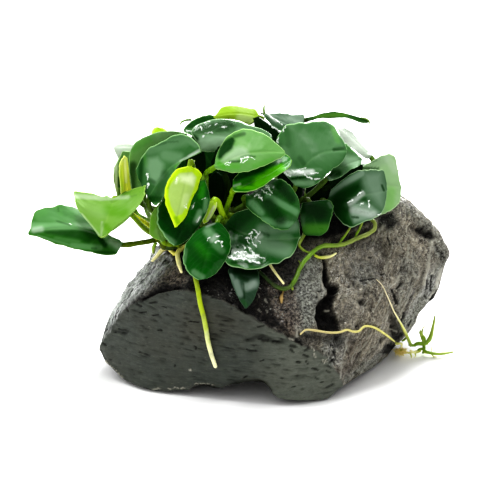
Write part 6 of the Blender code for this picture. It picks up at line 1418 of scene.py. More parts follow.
# the painted satin sheen colour of the mature look
GREY_GREEN = (0.135, 0.290, 0.135)
LOOKS = {
    "mature": Look((0.008, 0.085, 0.006), (0.028, 0.150, 0.022), (0.24, 0.46, 0.16), (0.10, 0.19, 0.012), GREY_GREEN, (0.050, 0.230, 0.012)),
    # sheen and satin: greyer, lighter greens that paint a satin sheen over the whole blade
    "sheen": Look((0.034, 0.125, 0.030), (0.072, 0.190, 0.064), (0.27, 0.47, 0.21), (0.10, 0.18, 0.02), (0.160, 0.285, 0.155), (0.065, 0.235, 0.022), 0.38, wet=0.3, spec=0.09),
    "satin": Look((0.080, 0.190, 0.072), (0.120, 0.240, 0.110), (0.30, 0.48, 0.25), (0.10, 0.18, 0.02), (0.320, 0.480, 0.310), (0.080, 0.240, 0.060), 0.36),
    "glossy": Look((0.001, 0.085, 0.001), (0.003, 0.120, 0.002), (0.26, 0.48, 0.20), (0.14, 0.27, 0.012), (0.200, 0.370, 0.195), (0.024, 0.240, 0.003), 0.20, wet=0.8, rib=0.02),
    "dark": Look((0.003, 0.045, 0.003), (0.010, 0.082, 0.008), (0.12, 0.26, 0.08), (0.06, 0.11, 0.01), (0.125, 0.200, 0.125), (0.055, 0.190, 0.018), 0.38),
    "wet": Look((0.010, 0.090, 0.010), (0.050, 0.165, 0.045), (0.38, 0.56, 0.30), (0.10, 0.18, 0.02), (0.165, 0.280, 0.165), (0.070, 0.235, 0.034), 0.27, wet=0.9, spec=0.10),
    "bright": Look((0.010, 0.190, 0.002), (0.060, 0.340, 0.008), (0.38, 0.64, 0.18), (0.26, 0.46, 0.010), (0.220, 0.460, 0.120), (0.150, 0.600, 0.004), 0.26, wet=0.6),
    "pastel": Look((0.115, 0.285, 0.070), (0.170, 0.345, 0.110), (0.38, 0.60, 0.22), (0.17, 0.34, 0.010), (0.230, 0.400, 0.165), (0.070, 0.300, 0.014), 0.32, wet=0.3, spec=0.08),
    "young": Look((0.138, 0.305, 0.038), (0.185, 0.350, 0.060), (0.36, 0.54, 0.15), (0.24, 0.38, 0.015), (0.215, 0.365, 0.115), (0.105, 0.280, 0.006), 0.48, patch=0.8, wet=0.2, spec=0.10),
    "light": Look((0.270, 0.430, 0.210), (0.330, 0.490, 0.265), (0.42, 0.58, 0.32), (0.16, 0.30, 0.03), (0.320, 0.450, 0.290), (0.190, 0.420, 0.100), 0.38),
    "yellow": Look((0.380, 0.600, 0.006), (0.500, 0.720, 0.010), (0.62, 0.80, 0.02), (0.22, 0.36, 0.010), (0.400, 0.560, 0.170), (0.240, 0.450, 0.002), 0.32, patch=0.8, rim_mm=1.0, rib=0.0),
    # sun and shoot: the yellow green of young blades painted brighter, as in full light, though they stand in the shade
    # of the crown
    "sun": Look((0.900, 0.980, 0.060), (1.000, 1.000, 0.200), (0.90, 0.98, 0.30), (0.84, 0.86, 0.030), (0.800, 0.900, 0.320), (0.500, 0.760, 0.010), 0.36, patch=0.8, rim_mm=0.8, rib=0.0),
    "shoot": Look((0.700, 1.000, 0.040), (0.800, 1.000, 0.240), (0.90, 1.0, 0.50), (0.56, 0.84, 0.020), (0.860, 1.000, 0.420), (0.520, 0.920, 0.020), 0.36, patch=0.5, rim_mm=0.5, rib=0.0),
    "mid": Look((0.220, 0.460, 0.140), (0.300, 0.540, 0.200), (0.30, 0.48, 0.25), (0.10, 0.18, 0.02), (0.250, 0.400, 0.220), (0.120, 0.380, 0.060), 0.40),
    # inner: near-black green, painted shade for blades deep in the crown
    "inner": Look((0.0025, 0.018, 0.002), (0.005, 0.028, 0.003), (0.010, 0.045, 0.008), (0.020, 0.045, 0.004), (0.010, 0.030, 0.010), (0.006, 0.040, 0.002), 0.60, wet=0.0, rib=0.0, spec=0.05),
    "glazed": Look((0.012, 0.070, 0.012), (0.050, 0.135, 0.050), (0.34, 0.50, 0.28), (0.10, 0.18, 0.02), (0.185, 0.270, 0.190), (0.060, 0.200, 0.030), 0.46, wet=0.25, spec=0.06),
    "lime": Look((0.155, 0.262, 0.006), (0.205, 0.315, 0.025), (0.34, 0.50, 0.05), (0.20, 0.34, 0.02), (0.240, 0.380, 0.080), (0.200, 0.330, 0.004), 0.60, patch=0.8, wet=0.2, spec=0.05),
    "backlit": Look((0.028, 0.085, 0.028), (0.055, 0.120, 0.055), (0.16, 0.28, 0.15), (0.06, 0.12, 0.01), (0.120, 0.185, 0.125), (0.040, 0.150, 0.020), 0.60, wet=0.2, spec=0.05),
    "edge_on": Look((0.016, 0.056, 0.010), (0.032, 0.082, 0.022), (0.10, 0.20, 0.07), (0.05, 0.10, 0.01), (0.060, 0.110, 0.060), (0.044, 0.108, 0.016), 0.80, wet=0.0, spec=0.0),
    "broad": Look((0.020, 0.125, 0.008), (0.046, 0.170, 0.024), (0.13, 0.26, 0.06), (0.125, 0.190, 0.008), (0.135, 0.290, 0.118), (0.050, 0.220, 0.016), 0.46, wet=0.1, spec=0.06),
    "ash": Look((0.020, 0.052, 0.026), (0.045, 0.085, 0.052), (0.080, 0.150, 0.085), (0.05, 0.09, 0.01), (0.170, 0.225, 0.180), (0.020, 0.110, 0.016), 0.56, wet=0.1, spec=0.05, rim_mm=0.35),
    "soft": Look((0.115, 0.220, 0.070), (0.165, 0.290, 0.105), (0.42, 0.58, 0.32), (0.16, 0.30, 0.03), (0.220, 0.330, 0.180), (0.190, 0.420, 0.100), 0.44, wet=0.1, spec=0.08),
    "shaded": Look((0.004, 0.042, 0.004), (0.011, 0.066, 0.009), (0.060, 0.150, 0.040), (0.030, 0.060, 0.005), (0.030, 0.070, 0.028), (0.012, 0.070, 0.006), 0.50, wet=0.2, spec=0.08),
    "glare": Look((0.260, 0.330, 0.240), (0.440, 0.500, 0.420), (0.72, 0.76, 0.72), (0.12, 0.22, 0.03), (0.640, 0.680, 0.640), (0.280, 0.400, 0.250), 0.40, patch=1.0, rib=0.0),
}
LOOK_OF = {"leaf_01": "broad", "leaf_24": "ash", "leaf_05": "sheen", "leaf_09": "satin", "leaf_10": "pastel", "leaf_19": "sheen", "leaf_17": "wet", "leaf_21": "glazed", "leaf_22": "light", "leaf_25": "lime",
           "leaf_26": "backlit", "leaf_27": "edge_on", "leaf_28": "glare", "leaf_35": "glare", "leaf_04": "soft", "leaf_03": "sun", "leaf_07": "sun", "leaf_14": "shoot", "leaf_06": "mid", "leaf_20": "satin",
           "leaf_29": "inner", "leaf_30": "shaded", "leaf_31": "shaded", "leaf_36": "inner", "leaf_37": "inner"}
# stalks that are seen from their foot to their blade, in places of the sighting grid
STALK_PATHS = {"leaf_01": [(158, 239.6, -4.5), (148, 241.6, -7), (136, 243.6, -7.5), (128, 244.7, -7.2)], "leaf_11": [(226, 214, -3.5), (228, 205, -5.5), (231, 196, -8.5)], "leaf_14": [(223, 215, -8), (219.5, 206.5, -8.3), (216, 200.5, -8.5)]}

# Soft marks on the blades on the sighting grid: kind, ends of a rounded stroke, its half width, strength. A list of
# corners in place of the two ends fills an area instead. The kinds paint light and shade into the colour: sheen is a
# painted satin sheen, shade is painted shade, pale is a painted glare and vivid a painted glow of light through the
# blade; wrinkle crinkles the surface and makes it glossier.
MARKS = {
    "leaf_01": [("sheen", (42, 214), (86, 216), 9, 0.45), ("sheen", (34, 226), (90, 226), 4, 0.85), ("pale", (34, 230), (41, 229), 3, 0.35),
                ("shade", [(44, 231), (60, 230.2), (78, 229.6), (93, 230), (99, 236), (98, 239.5), (92, 240), (89, 243.5), (85, 243), (80, 239.5), (66, 237), (56, 235), (46, 233.5)], 1.6, 0.72),
                ("sheen", (56, 239), (78, 242), 2.6, 0.28), ("sheen", (72, 245.5), (100, 247.5), 3, 0.62), ("sheen", (107, 239), (119, 247), 5, 0.95), ("pale", (111, 241), (118.5, 246), 3.2, 0.30),
                ("shade", (99.5, 238), (105, 245), 2.6, 1.0), ("shade", (92, 248.3), (96, 248.6), 1.3, 0.5), ("shade", (86, 252), (114, 252.6), 1.4, 0.55), ("sheen", (38, 236), (68, 244.5), 1.4, 0.5),
                ("shade", (57, 221), (70, 225), 1.0, 0.5), ("vivid", (38, 215), (44, 212), 4, 0.5), ("vivid", (57, 206.5), (61, 214), 2.4, 0.45), ("shade", (58, 207), (58.5, 211), 0.8, 0.5),
                ("wrinkle", (106, 240), (119, 248), 6, 0.5), ("sheen", (70, 207), (88, 222), 5, 0.5)],
    "leaf_02": [("pale", (76, 196), (100, 198), 2.5, 0.45), ("pale", (100, 199), (128, 197), 2, 0.35), ("vivid", (107, 210), (124, 212), 5.5, 0.85),
                ("vivid", (105.5, 226), (110, 231), 3.2, 0.85), ("pale", (102.5, 222), (101, 236), 1.0, 0.25), ("sheen", (85, 206), (100, 212), 7, 0.4), ("pale", (82, 214), (99, 235), 1.1, 0.28),
                ("shade", (128, 197.5), (136, 195), 0.9, 0.22), ("pale", (113, 232), (120, 225), 0.9, 0.2)],
    "leaf_03": [("pale", (125, 160), (126, 182), 1.5, 0.5), ("vivid", (121, 166), (122, 190), 1.2, 0.4)],
    "leaf_04": [("pale", (116, 162), (116, 192), 1.6, 0.7), ("shade", (119, 178), (119, 186), 1.5, 0.9)],
    "leaf_05": [("shade", (141, 159), (140.3, 182), 2.4, 0.9), ("sheen", (150, 150), (185, 140), 6, 0.45), ("sheen", [(148, 158), (158, 156), (164, 164), (162, 178), (155, 184), (149, 178), (146.5, 168)], 3, 1.0),
                ("sheen", (165, 155), (178, 158), 6, 0.6), ("shade", (165, 174), (157, 199), 4.0, 0.55), ("shade", (150, 199), (160, 199), 3.5, 0.9), ("shade", (150, 180), (154, 182), 2, 0.5),
                ("pale", (180.5, 161), (189, 156.5), 1.3, 0.35), ("pale", (189, 156.5), (199.5, 150.5), 1.7, 0.5), ("shade", (155, 146), (166, 142.5), 1.2, 0.45), ("shade", (168, 142), (178, 141.5), 0.8, 0.4),
                ("vivid", (176.5, 167), (181, 162), 2.2, 0.8), ("vivid", (144, 153), (147, 166), 2.0, 0.4), ("sheen", (187, 140), (196, 145), 3, 0.5)],
    "leaf_06": [("vivid", (134, 148), (152, 137), 4, 0.6), ("shade", (133, 165), (132, 188), 4, 0.8), ("sheen", (155, 138), (172, 135), 4, 0.4)],
    "leaf_09": [("sheen", (203, 143), (238, 141), 7, 1.0), ("shade", (198, 128), (230, 124), 4.0, 0.65), ("shade", (193, 136), (197, 139), 2, 0.9),
                ("shade", (216, 131), (228, 130), 1.2, 0.5), ("sheen", (240, 132), (256, 136), 4, 0.5),
                ("wrinkle", (196, 128), (232, 122), 5, 1.0)],
    "leaf_10": [("shade", [(218.3, 153), (220, 146), (223, 142), (227, 139), (231, 136.8), (234, 137), (235, 141), (233.5, 145), (233, 148), (230, 151), (226, 153.5), (222, 158), (219, 159.5), (217.5, 157)], 1.3, 1.0),
                ("shade", (234, 136.5), (244, 133.8), 2.0, 0.62), ("pale", [(222, 161), (224, 156.5), (228, 153.5), (232, 150.5), (234, 147), (238, 146), (243, 147), (247, 150), (249, 154), (245, 155.5), (240, 158),
                (236, 160), (229, 160.3), (224, 162)], 2.2, 0.36), ("sheen", (240, 142), (247, 147), 4, 0.6), ("shade", (230, 161.5), (239, 161.2), 1.3, 0.75), ("shade", (241, 157), (246, 155.3), 0.8, 0.6),
                ("shade", (248, 155.4), (255, 156.6), 0.9, 0.6), ("vivid", (219, 164), (224, 167), 2.5, 0.7), ("vivid", (255, 166), (272, 160), 3, 0.35), ("vivid", (228, 166), (238, 167), 2.5, 0.4)],
    "leaf_11": [("shade", (236, 178), (262, 168), 4.2, 1.0), ("shade", (262, 168), (280, 161), 2.6, 0.9), ("shade", (243, 184), (252, 180), 3.5, 0.45), ("pale", (284, 158), (287, 166), 3.0, 0.14),
                ("pale", (234, 186), (240, 184), 1.3, 0.5), ("vivid", (258, 183), (280, 169), 5.5, 0.9), ("vivid", (238, 187), (256, 188), 2.0, 0.7)],
    "leaf_12": [("sheen", [(171, 184), (174, 180), (176, 177), (180, 173), (192, 172), (196, 177), (194, 188), (188, 203), (182, 214), (176, 216), (171, 206), (168.5, 196), (169, 188)], 0.9, 0.92),
                ("pale", [(180, 176), (192, 174.5), (195, 178), (193, 185), (187, 183), (181, 181)], 2.5, 0.75), ("pale", (176, 183), (178, 178), 1.4, 0.6), ("pale", (186, 196), (184, 205), 3, 0.25),
                ("vivid", (177, 193), (183, 191), 4, 0.30), ("vivid", (176, 218), (178, 222), 2.4, 0.9), ("vivid", (174, 200), (177, 206), 3, 0.3), ("shade", (171, 178), (168, 188), 1.2, 0.25)],
    "leaf_13": [("shade", (166, 214), (184, 236), 11, 0.95), ("shade", (190, 232), (196, 226), 5, 0.6), ("vivid", (203, 184), (201, 196), 3.5, 0.8), ("sheen", (200, 212), (196, 222), 3, 0.75),
                ("pale", (197, 221), (200, 217), 1.3, 0.7), ("sheen", (206, 200), (205, 211), 2.4, 0.5), ("sheen", (160, 233), (174, 242), 2.8, 0.7), ("shade", (159, 210), (160, 226), 3, 0.5)],
    "leaf_14": [("pale", (214, 206.5), (207.5, 219.5), 1.4, 0.85), ("vivid", (208.5, 207), (204, 220), 1.2, 0.5)],
    "leaf_15": [("vivid", (152, 219), (153, 229), 2.5, 0.5), ("sheen", (157, 231), (162, 238), 3, 0.5)],
    "leaf_16": [("sheen", (208, 231), (214, 239), 4.6, 0.7), ("sheen", (215, 244), (222, 251), 3.5, 0.4), ("pale", (212, 240), (216, 236), 2.5, 0.4), ("sheen", (194, 272), (202, 277), 3.0, 0.45),
                ("sheen", (186, 250), (184, 262), 2, 0.35), ("shade", (192, 250), (204, 262), 6, 0.4), ("shade", (208, 262), (222, 256), 6, 0.3), ("pale", (207, 226), (214, 223), 1.6, 0.35),
                ("vivid", (198, 246), (206, 256), 5, 0.4)],
    "leaf_17": [("shade", (231, 228), (246, 215), 9, 1.0), ("shade", (235, 247), (243, 242), 6, 0.9), ("sheen", (262, 230), (294, 226), 6, 0.9), ("sheen", (264, 244), (286, 250), 8, 0.9), ("sheen", (270, 238), (288, 238), 5, 0.5),
                ("sheen", (252, 248), (262, 236), 4.0, 0.7), ("pale", (256, 241), (261, 236), 2.2, 0.35), ("pale", (246, 257), (258, 259), 2.0, 0.28), ("vivid", (284, 240), (292, 250), 5, 0.4), ("shade", (232, 262.5), (262, 264.5), 2.0, 0.95),
                ("vivid", (232, 263), (262, 265), 1.8, 0.5), ("shade", (262, 233), (268, 235), 2, 0.6), ("wrinkle", (236, 254), (262, 256), 6, 1.0), ("wrinkle", (246, 236), (264, 234), 6, 1.0)],
    "leaf_18": [("shade", (268, 204), (280, 219), 6.5, 1.0), ("shade", (280, 186), (292, 199), 4.5, 1.0), ("sheen", (268, 196), (296, 212), 3.2, 0.9), ("sheen", (252, 203), (261, 212), 3.8, 0.85),
                ("sheen", (262, 220), (292, 225), 3.5, 0.7), ("shade", (262, 199), (268, 208), 2.5, 0.8), ("wrinkle", (256, 197), (272, 190), 4, 1.0)],
    "leaf_19": [("sheen", (296, 150), (330, 150), 15, 0.25), ("sheen", (284, 150), (293, 174), 5, 0.5), ("shade", (287, 130), (289, 145), 3, 0.3), ("vivid", (333, 127), (338, 141), 2.8, 0.6), ("shade", (334, 149.5), (344, 148), 1.8, 0.8),
                ("pale", (286, 173), (312, 172), 2.8, 0.95), ("pale", (285, 178), (290, 184), 2.4, 0.7), ("sheen", (292, 183), (312, 183), 3, 0.9), ("shade", (292, 178.5), (306, 177), 1.3, 0.9),
                ("shade", (300, 158), (304, 164), 2.5, 0.4), ("wrinkle", (288, 174), (320, 175), 5, 1.0)],
    "leaf_20": [("vivid", (345, 146), (352, 150), 3, 0.6), ("shade", (328, 174), (338, 173), 4, 0.9), ("sheen", (345, 160), (355, 162), 5, 0.7)],
    "leaf_21": [("shade", [(336, 192), (344, 188), (352, 184), (360, 181), (362, 188), (357, 194), (350, 199), (345, 205), (350, 208), (348.5, 217), (351, 224), (350, 229), (341, 226), (333, 214), (329, 203), (331, 197)], 3.6, 1.0),
                ("sheen", (330, 194), (345, 183), 2.8, 0.9), ("sheen", (345, 183), (362, 173.5), 3.4, 0.95), ("sheen", [(362, 171), (383, 171), (385, 190), (384, 210), (376, 204), (368, 194), (363, 184)], 6.0, 0.8),
                ("pale", (350, 204), (363, 193.5), 2.2, 0.5), ("pale", (353, 210), (374, 215), 3.6, 0.38), ("sheen", [(350, 207), (358, 201), (372, 206), (380, 212), (372, 219), (354, 223), (350, 214)], 2.5, 1.0),
                ("shade", (352, 217), (358, 217.5), 1.2, 0.8), ("shade", (382, 185.5), (384, 190.5), 1.2, 0.8), ("shade", (357, 203), (366, 198.5), 1.3, 0.5), ("wrinkle", (350, 204), (372, 212), 6, 0.8)],
    "leaf_22": [("pale", (388, 158), (395, 170), 4, 0.2), ("vivid", (391, 191), (389, 207), 5, 0.6), ("shade", (360, 168), (378, 168.5), 1.2, 0.8), ("shade", (364, 163.5), (376, 160), 1.6, 0.4), ("sheen", (372, 163), (384, 160), 5, 0.5)],
    "leaf_23": [("shade", (308, 208), (320, 213), 8.5, 1.0), ("vivid", (304, 229), (326, 229), 5.5, 0.8), ("sheen", (329, 203), (331, 207), 1.8, 0.5), ("sheen", (303, 215), (302, 225), 2.5, 0.3)],
    "leaf_24": [("shade", (236, 270.5), (258, 272.5), 4, 1.0), ("shade", (240, 277), (247, 280), 2.4, 0.7), ("sheen", (236, 282), (240, 294), 3.4, 0.8), ("sheen", (247, 287), (254, 284), 4.5, 0.9),
                ("pale", (250, 287), (254, 283), 2.0, 0.10), ("sheen", (231, 275), (236, 286), 2, 0.6), ("shade", (243.5, 284), (244.5, 298), 1.0, 0.6), ("vivid", (243, 301), (246, 305), 2, 0.4)],
    "leaf_25": [("vivid", (219, 111), (232, 109), 3.5, 0.8), ("pale", (240, 118), (250, 120), 4, 0.2)],
    "leaf_26": [("sheen", (275, 118), (300, 122), 6, 0.9), ("pale", (267, 113), (276, 121), 1.3, 0.5)],
    "leaf_27": [("vivid", (316, 117), (347, 114), 2.2, 0.9), ("shade", (352, 115), (368, 120), 1.5, 0.6)],
}
# Painted glints: small bright strokes of wet highlight on the blades: ends and half width on the sighting grid.
GLINTS = {
    "leaf_01": [((70, 224.5), (71.5, 224.2), 0.7)],
    "leaf_05": [((147.6, 175.5), (148, 178), 1.0), ((147.5, 187), (148.3, 184), 1.1)],
    "leaf_08": [((187, 131), (191, 131.5), 1.4)],
    "leaf_09": [((202.5, 135.5), (203, 137), 0.8), ((205, 133.2), (212, 132.6), 0.7), ((195, 128), (197.5, 124), 0.8), ((203, 121.5), (209, 120.5), 0.6), ((201, 127.5), (202, 131), 0.6),
                ((215, 125), (217, 124), 0.6), ((222, 127), (227, 126.5), 0.5), ((208, 127), (209.5, 125.5), 0.5), ((275, 136.5), (276, 134.5), 0.9)],
    "leaf_10": [((225, 163.2), (230, 162), 0.9), ((227, 165.2), (229.5, 165), 0.6), ((240.2, 158.5), (241, 162.5), 0.9), ((241, 159.3), (248, 157), 1.3), ((243, 162.5), (247, 160), 0.8), ((251, 157), (254, 159.6), 0.6)],
    "leaf_12": [((175.5, 181), (177, 178), 0.7), ((185, 205.5), (187.3, 209), 0.8)],
    "leaf_13": [((191.8, 208.6), (193.6, 204.2), 1.0), ((202.5, 199), (205.5, 197.5), 0.7), ((197, 222), (199.6, 218.2), 1.1)],
    "leaf_16": [((216.3, 236), (219.2, 235.8), 0.9), ((216.5, 241.7), (222, 242.3), 1.3), ((221, 244.5), (222.5, 246.3), 0.7), ((207.3, 241), (209, 237.3), 0.8)],
    "leaf_17": [((229.5, 257), (246, 259.3), 1.5), ((241, 253.8), (258, 256), 2.0), ((246, 259.5), (259, 262.2), 1.3), ((250, 250.3), (254.5, 254), 1.1), ((233.5, 252.6), (236.5, 252), 0.9),
                ((247, 246.3), (250.5, 250), 0.8), ((246, 237.6), (249, 238), 0.9), ((249.5, 233.6), (252, 232.3), 0.9), ((254, 229.6), (257.3, 233), 1.2), ((254.5, 238.8), (260, 232), 0.9),
                ((238, 251.8), (246, 252), 0.8), ((247, 240), (249, 243), 0.7), ((251, 236), (252, 240), 0.7), ((243, 246), (245, 248), 0.6), ((253, 243), (256, 246), 0.8), ((258, 240), (260, 243), 0.6),
                ((249, 247), (252, 249), 0.7), ((260, 257), (264, 258), 0.9), ((236, 255.5), (242, 256), 1.2)],
    "leaf_18": [((254.8, 196.2), (257, 194), 1.0), ((258.5, 194.5), (262.3, 200), 1.0), ((266.3, 185.4), (268.8, 189), 1.2), ((268.5, 189.5), (272.6, 193), 1.0), ((262, 190.4), (270, 195), 0.6)],
    "leaf_19": [((291.5, 170.8), (303, 172), 1.3), ((303, 173), (312, 179.3), 1.1), ((311, 173.3), (318.5, 173), 0.8), ((315, 179), (320, 178.6), 1.0), ((299, 168.8), (306, 168), 0.5), ((284, 173.5), (290, 176), 1.0),
                ((277.5, 141), (279, 138), 0.8), ((281, 129), (286, 126.3), 0.6)],
    "leaf_21": [((358, 195), (362.3, 191), 1.1), ((360.5, 204.3), (363.5, 203.3), 0.8), ((369.2, 200), (369.6, 207), 0.9), ((378, 215.6), (381.5, 214), 0.7), ((349, 202), (353, 199.5), 0.7)],
    "leaf_26": [((268, 114.5), (282, 125), 0.8)],
    "leaf_36": [((262, 114), (286, 129), 0.9), ((273, 125.6), (276, 128), 0.8)],
}

# side points, blade rings and stalk rings, in plenty for the leaves that stand in front
DETAIL = {name: (44, 84, 22) for name in ("leaf_10", "leaf_11", "leaf_12", "leaf_13", "leaf_16", "leaf_17", "leaf_18", "leaf_19", "leaf_21", "leaf_01", "leaf_02", "leaf_05")}


def stroke(g, mark):
    """How strongly a mark covers each place of the sighting grid."""
    if isinstance(mark[1], list):
        return within(g, mark[1], mark[2]) * mark[3]
    _, a, b, r, strength = mark
    a, b = np.array(a, float), np.array(b, float)
    e = b - a
    u = np.clip(((g - a) @ e) / max(1e-6, e @ e), 0, 1)
    d = np.linalg.norm(g - a - u[:, None] * e, axis=1)
    return strength * (1 - step(d, 0.35 * r, 1.55 * r))


def fine_leaf(leaf):
    """Rings of the leaf at full detail, with the place of every point on the blade and on the flattened blade."""
    SIDE, BLADE, STALK = DETAIL.get(leaf.name, (30, 58, 22))
    k = np.arange(SIDE) / SIDE
    top = 0.55 * np.cos(math.pi * k) + 0.45 * (1 - 2 * k)
    ts = np.concatenate([top, -top])
    sides = np.concatenate([np.ones(SIDE), -np.ones(SIDE)])
    thick = 0.50
    seed = sum(ord(c) for c in leaf.name)
    rings, marks, flats = [], [], []
    line = resample(leaf.stalk, STALK + 1)
    if leaf.name in STALK_PATHS:
        line = resample(smooth_line([leaf.foot] + [sight(*q) for q in STALK_PATHS[leaf.name]] + [leaf.base], 10), STALK + 1)
    tg = tangents(line)
    tan0 = leaf.tangent(0.0)
    half = carried(leaf.half, leaf.t_wide, tan0)
    side = unit(half - tan0 * (half @ tan0))
    last, frames = tan0, []
    for i in range(STALK, -1, -1):
        side = carried(side, last, tg[i])
        side = unit(side - tg[i] * (side @ tg[i]))
        last = tg[i]
        frames.append((line[i], side, np.cross(side, tg[i])))
    frames.reverse()
    bulge = np.sqrt(np.clip(1 - ts * ts, 0, 1)) * sides
    total = np.linalg.norm(np.diff(line, axis=0), axis=1).sum()
    for i, (p, sd, up) in enumerate(frames[:-1]):
        u = i / STALK
        r = PETIOLE_BASE_R * (1 - u) + leaf.r * u
        left = (1 - u) * total
        r *= 1 + 0.20 * math.exp(-(((left - 3.2) / 1.3) ** 2)) - 0.08 * math.sin(math.pi * u)
        wob = 1 + 0.05 * np.sin(3 * np.arccos(np.clip(ts, -1, 1)) * sides + 7 * u)
        rings.append(p + r * wob[:, None] * (ts[:, None] * sd + bulge[:, None] * up))
        marks.append(np.stack([np.full(len(ts), -1 + u), ts, bulge], axis=1))
        flats.append(np.stack([ts * r, np.full(len(ts), -left), np.full(len(ts), 5.0)], axis=1))
    for i in range(BLADE + 1):
        s = (i / BLADE) ** 1.2 * 0.992
        tan = leaf.tangent(s)
        half = carried(leaf.half, leaf.t_wide, tan)
        cup = carried(leaf.cup, leaf.t_wide, tan)
        side = unit(half - tan * (half @ tan))
        normal = unit(np.cross(side, tan))
        f = leaf.outline(s, ts) * min(1.0, s / 0.02)
        least = leaf.r / leaf.width * max(0.0, 1 - s / 0.12) + 0.12 / leaf.width
        f = np.hypot(f, least)
        # a slightly uneven margin
        edge = 1 + 0.012 * math.sin(23 * s + seed) + 0.010 * math.sin(51 * s + 2.1 * seed)
        t = ts
        a = np.abs(t)
        back = leaf.lobe * leaf.length * a ** 2 * max(0.0, 1 - s / leaf.wide) ** 1.5 * min(1.0, s / 0.03)
        grow = min(1.0, s * 4)
        ripple = leaf.wave * a ** 3 * np.sin(9.0 * s + 2.0 * np.sign(t) + len(leaf.name)) * grow
        ripple = ripple + 0.22 * leaf.wave * a ** 6 * np.sin(34.0 * s + 3.0 * np.sign(t) + seed) * grow
        p = leaf.line(s) + (f * edge)[:, None] * (half * t[:, None] + cup * (a ** leaf.fold)[:, None]) - tan * back[:, None] + normal * ripple[:, None]
        mm = a * f * leaf.width
        into = min(1.0, s / 0.10)
        th = (2 * leaf.r * (1 - into) + thick * into) / 2
        rib = (1 - s) * leaf.r * 0.8 * into * np.exp(-((mm / max(leaf.r, 0.5)) ** 2))
        groove = 0.25 * into * min(1.0, (1 - s) * 5) * np.exp(-((mm / 0.62) ** 2))
        round_edge = np.clip(1 - a ** 14, 0, 1) ** 0.5
        base_round = (1 - into) * bulge + into * round_edge * sides
        off = th * base_round + np.where(sides > 0, -groove, -rib)
        swell = 0.40 * noise(p + 13.0 * seed, 9.0, 51) * into + 0.16 * noise(p + 3.0 * seed, 4.0, 52) * into
        rings.append(p + normal * (off + swell)[:, None])
        marks.append(np.stack([np.full(len(ts), s), ts, bulge], axis=1))
        reach = (f * leaf.width)
        to_edge = np.minimum((1 - a) * reach, (1 - s) * leaf.length + 0.15)
        flats.append(np.stack([t * reach, np.full(len(ts), s * leaf.length), to_edge], axis=1))
    return rings, marks, flats


def on_blade(grid, facing, flats, place_):
    """The place on the flattened blade that is seen at a place of the sighting grid."""
    d = ((grid - np.array(place_)) ** 2).sum(1) + np.where(facing, 0.0, 50.0)
    near = np.argsort(d)[:4]
    w = 1 / (d[near] + 0.05)
    return tuple((flats[near, :2] * w[:, None]).sum(0) / w.sum())


# ------------------------------------------------------------------ roots and stem
def knobbly(line, radii, sides, seed, uneven=0.10, ends=True):
    rings = tube_rings(line, radii, sides)
    out = []
    for i, ring in enumerate(rings):
        c = line[i]
        k = 1 + uneven * noise(ring + seed * 5.0, 2.2, 61) + 0.5 * uneven * noise(ring, 0.9, 62)
        out.append(c + (ring - c) * k[:, None])
    if ends:
        t0, t1 = unit(line[1] - line[0]), unit(line[-1] - line[-2])
        first = [line[0] + (out[0] - line[0]) * q - t0 * radii[0] * 0.7 * h for q, h in ((0.35, 1.0), (0.8, 0.6))]
        last = [line[-1] + (out[-1] - line[-1]) * q + t1 * radii[-1] * 0.9 * h for q, h in ((0.8, 0.6), (0.35, 1.0))]
        out = first + out + last
    return out


def root_material(name, near, far, middle=None, dirt=(0.22, 0.13, 0.03), roughness=0.42, tip=0.75, coat=0.2):
    s = Nodes(name)
    along, around, _ = s.attribute("blade")
    patch = s.noise(210, 4, 0.6)
    fine = s.noise(1400, 3, 0.6)
    along = s.math("ADD", along, s.math("MULTIPLY", s.math("SUBTRACT", patch, 0.5), 0.35))
    if middle is None:
        colour = s.mix(s.ramp(along, 0.05, tip), near, far)
    else:
        colour = s.mix(s.ramp(along, 0.25, 0.55), near, middle)
        colour = s.mix(s.ramp(along, 0.60, 0.95), colour, far)
    colour = s.mix(s.ramp(patch, 0.5, 0.72, 0.0, 0.40), colour, tuple(0.62 * c for c in near))
    colour = s.mix(s.ramp(fine, 0.62, 0.8, 0.0, 0.45), colour, dirt)
    m = s.set(Base_Color=colour, Roughness=s.ramp(patch, 0.3, 0.7, roughness - 0.1, roughness + 0.12),
              Normal=s.bump(fine, 0.4, 0.0003, s.bump(patch, 0.4, 0.0006)))
    s.p.inputs["Coat Weight"].default_value = coat
    s.p.inputs["Coat Roughness"].default_value = 0.15
    s.p.inputs["Specular IOR Level"].default_value = 0.3
    return m


def tube_piece(name, line, radii, sides, material, nodes=(), seed=1, uneven=0.10):
    rings = knobbly(line, radii, sides, seed, uneven)
    pts, faces = skin(rings)
    faces = outward(pts, faces)
    n = len(rings)
    marks = np.vstack([np.stack([np.full(sides, i / (n - 1)), np.linspace(0, 1, sides), np.zeros(sides)], axis=1) for i in range(n)] + [[[0, 0, 0]], [[1, 0, 0]]])
    return make(name, pts, faces, material, {"blade": marks}, nodes=nodes)


def strands(name, specs, sides, material, nodes=()):
    """Many thin tubes as one mesh."""
    pts, faces, marks, base = [], [], [], 0
    for line, radii in specs:
        rings = tube_rings(line, radii, sides)
        p, f = skin(rings)
        f = outward(p, f)
        pts.append(p)
        faces += [tuple(i + base for i in q) for q in f]
        u = np.repeat(np.linspace(0, 1, len(rings)), sides)
        marks.append(np.stack([np.concatenate([u, [0, 1]]), np.zeros(len(p)), np.zeros(len(p))], axis=1))
        base += len(p)
    return make(name, np.vstack(pts), faces, material, {"blade": np.vstack(marks)}, nodes=nodes)


# ------------------------------------------------------------------ build
bpy.context.scene.view_settings.view_transform = "Standard"
bpy.context.scene.view_settings.look = "High Contrast"

ROOT_LINES = {}
for name, spec, radii, rings in ROOTS:
    n = rings * 5
    ROOT_LINES[name] = (resample(smooth_line(resample(smooth_line([place(q) for q in spec], 8), rings), 5), n),
                        np.interp(np.linspace(0, 1, n), np.linspace(0, 1, len(radii)), radii))

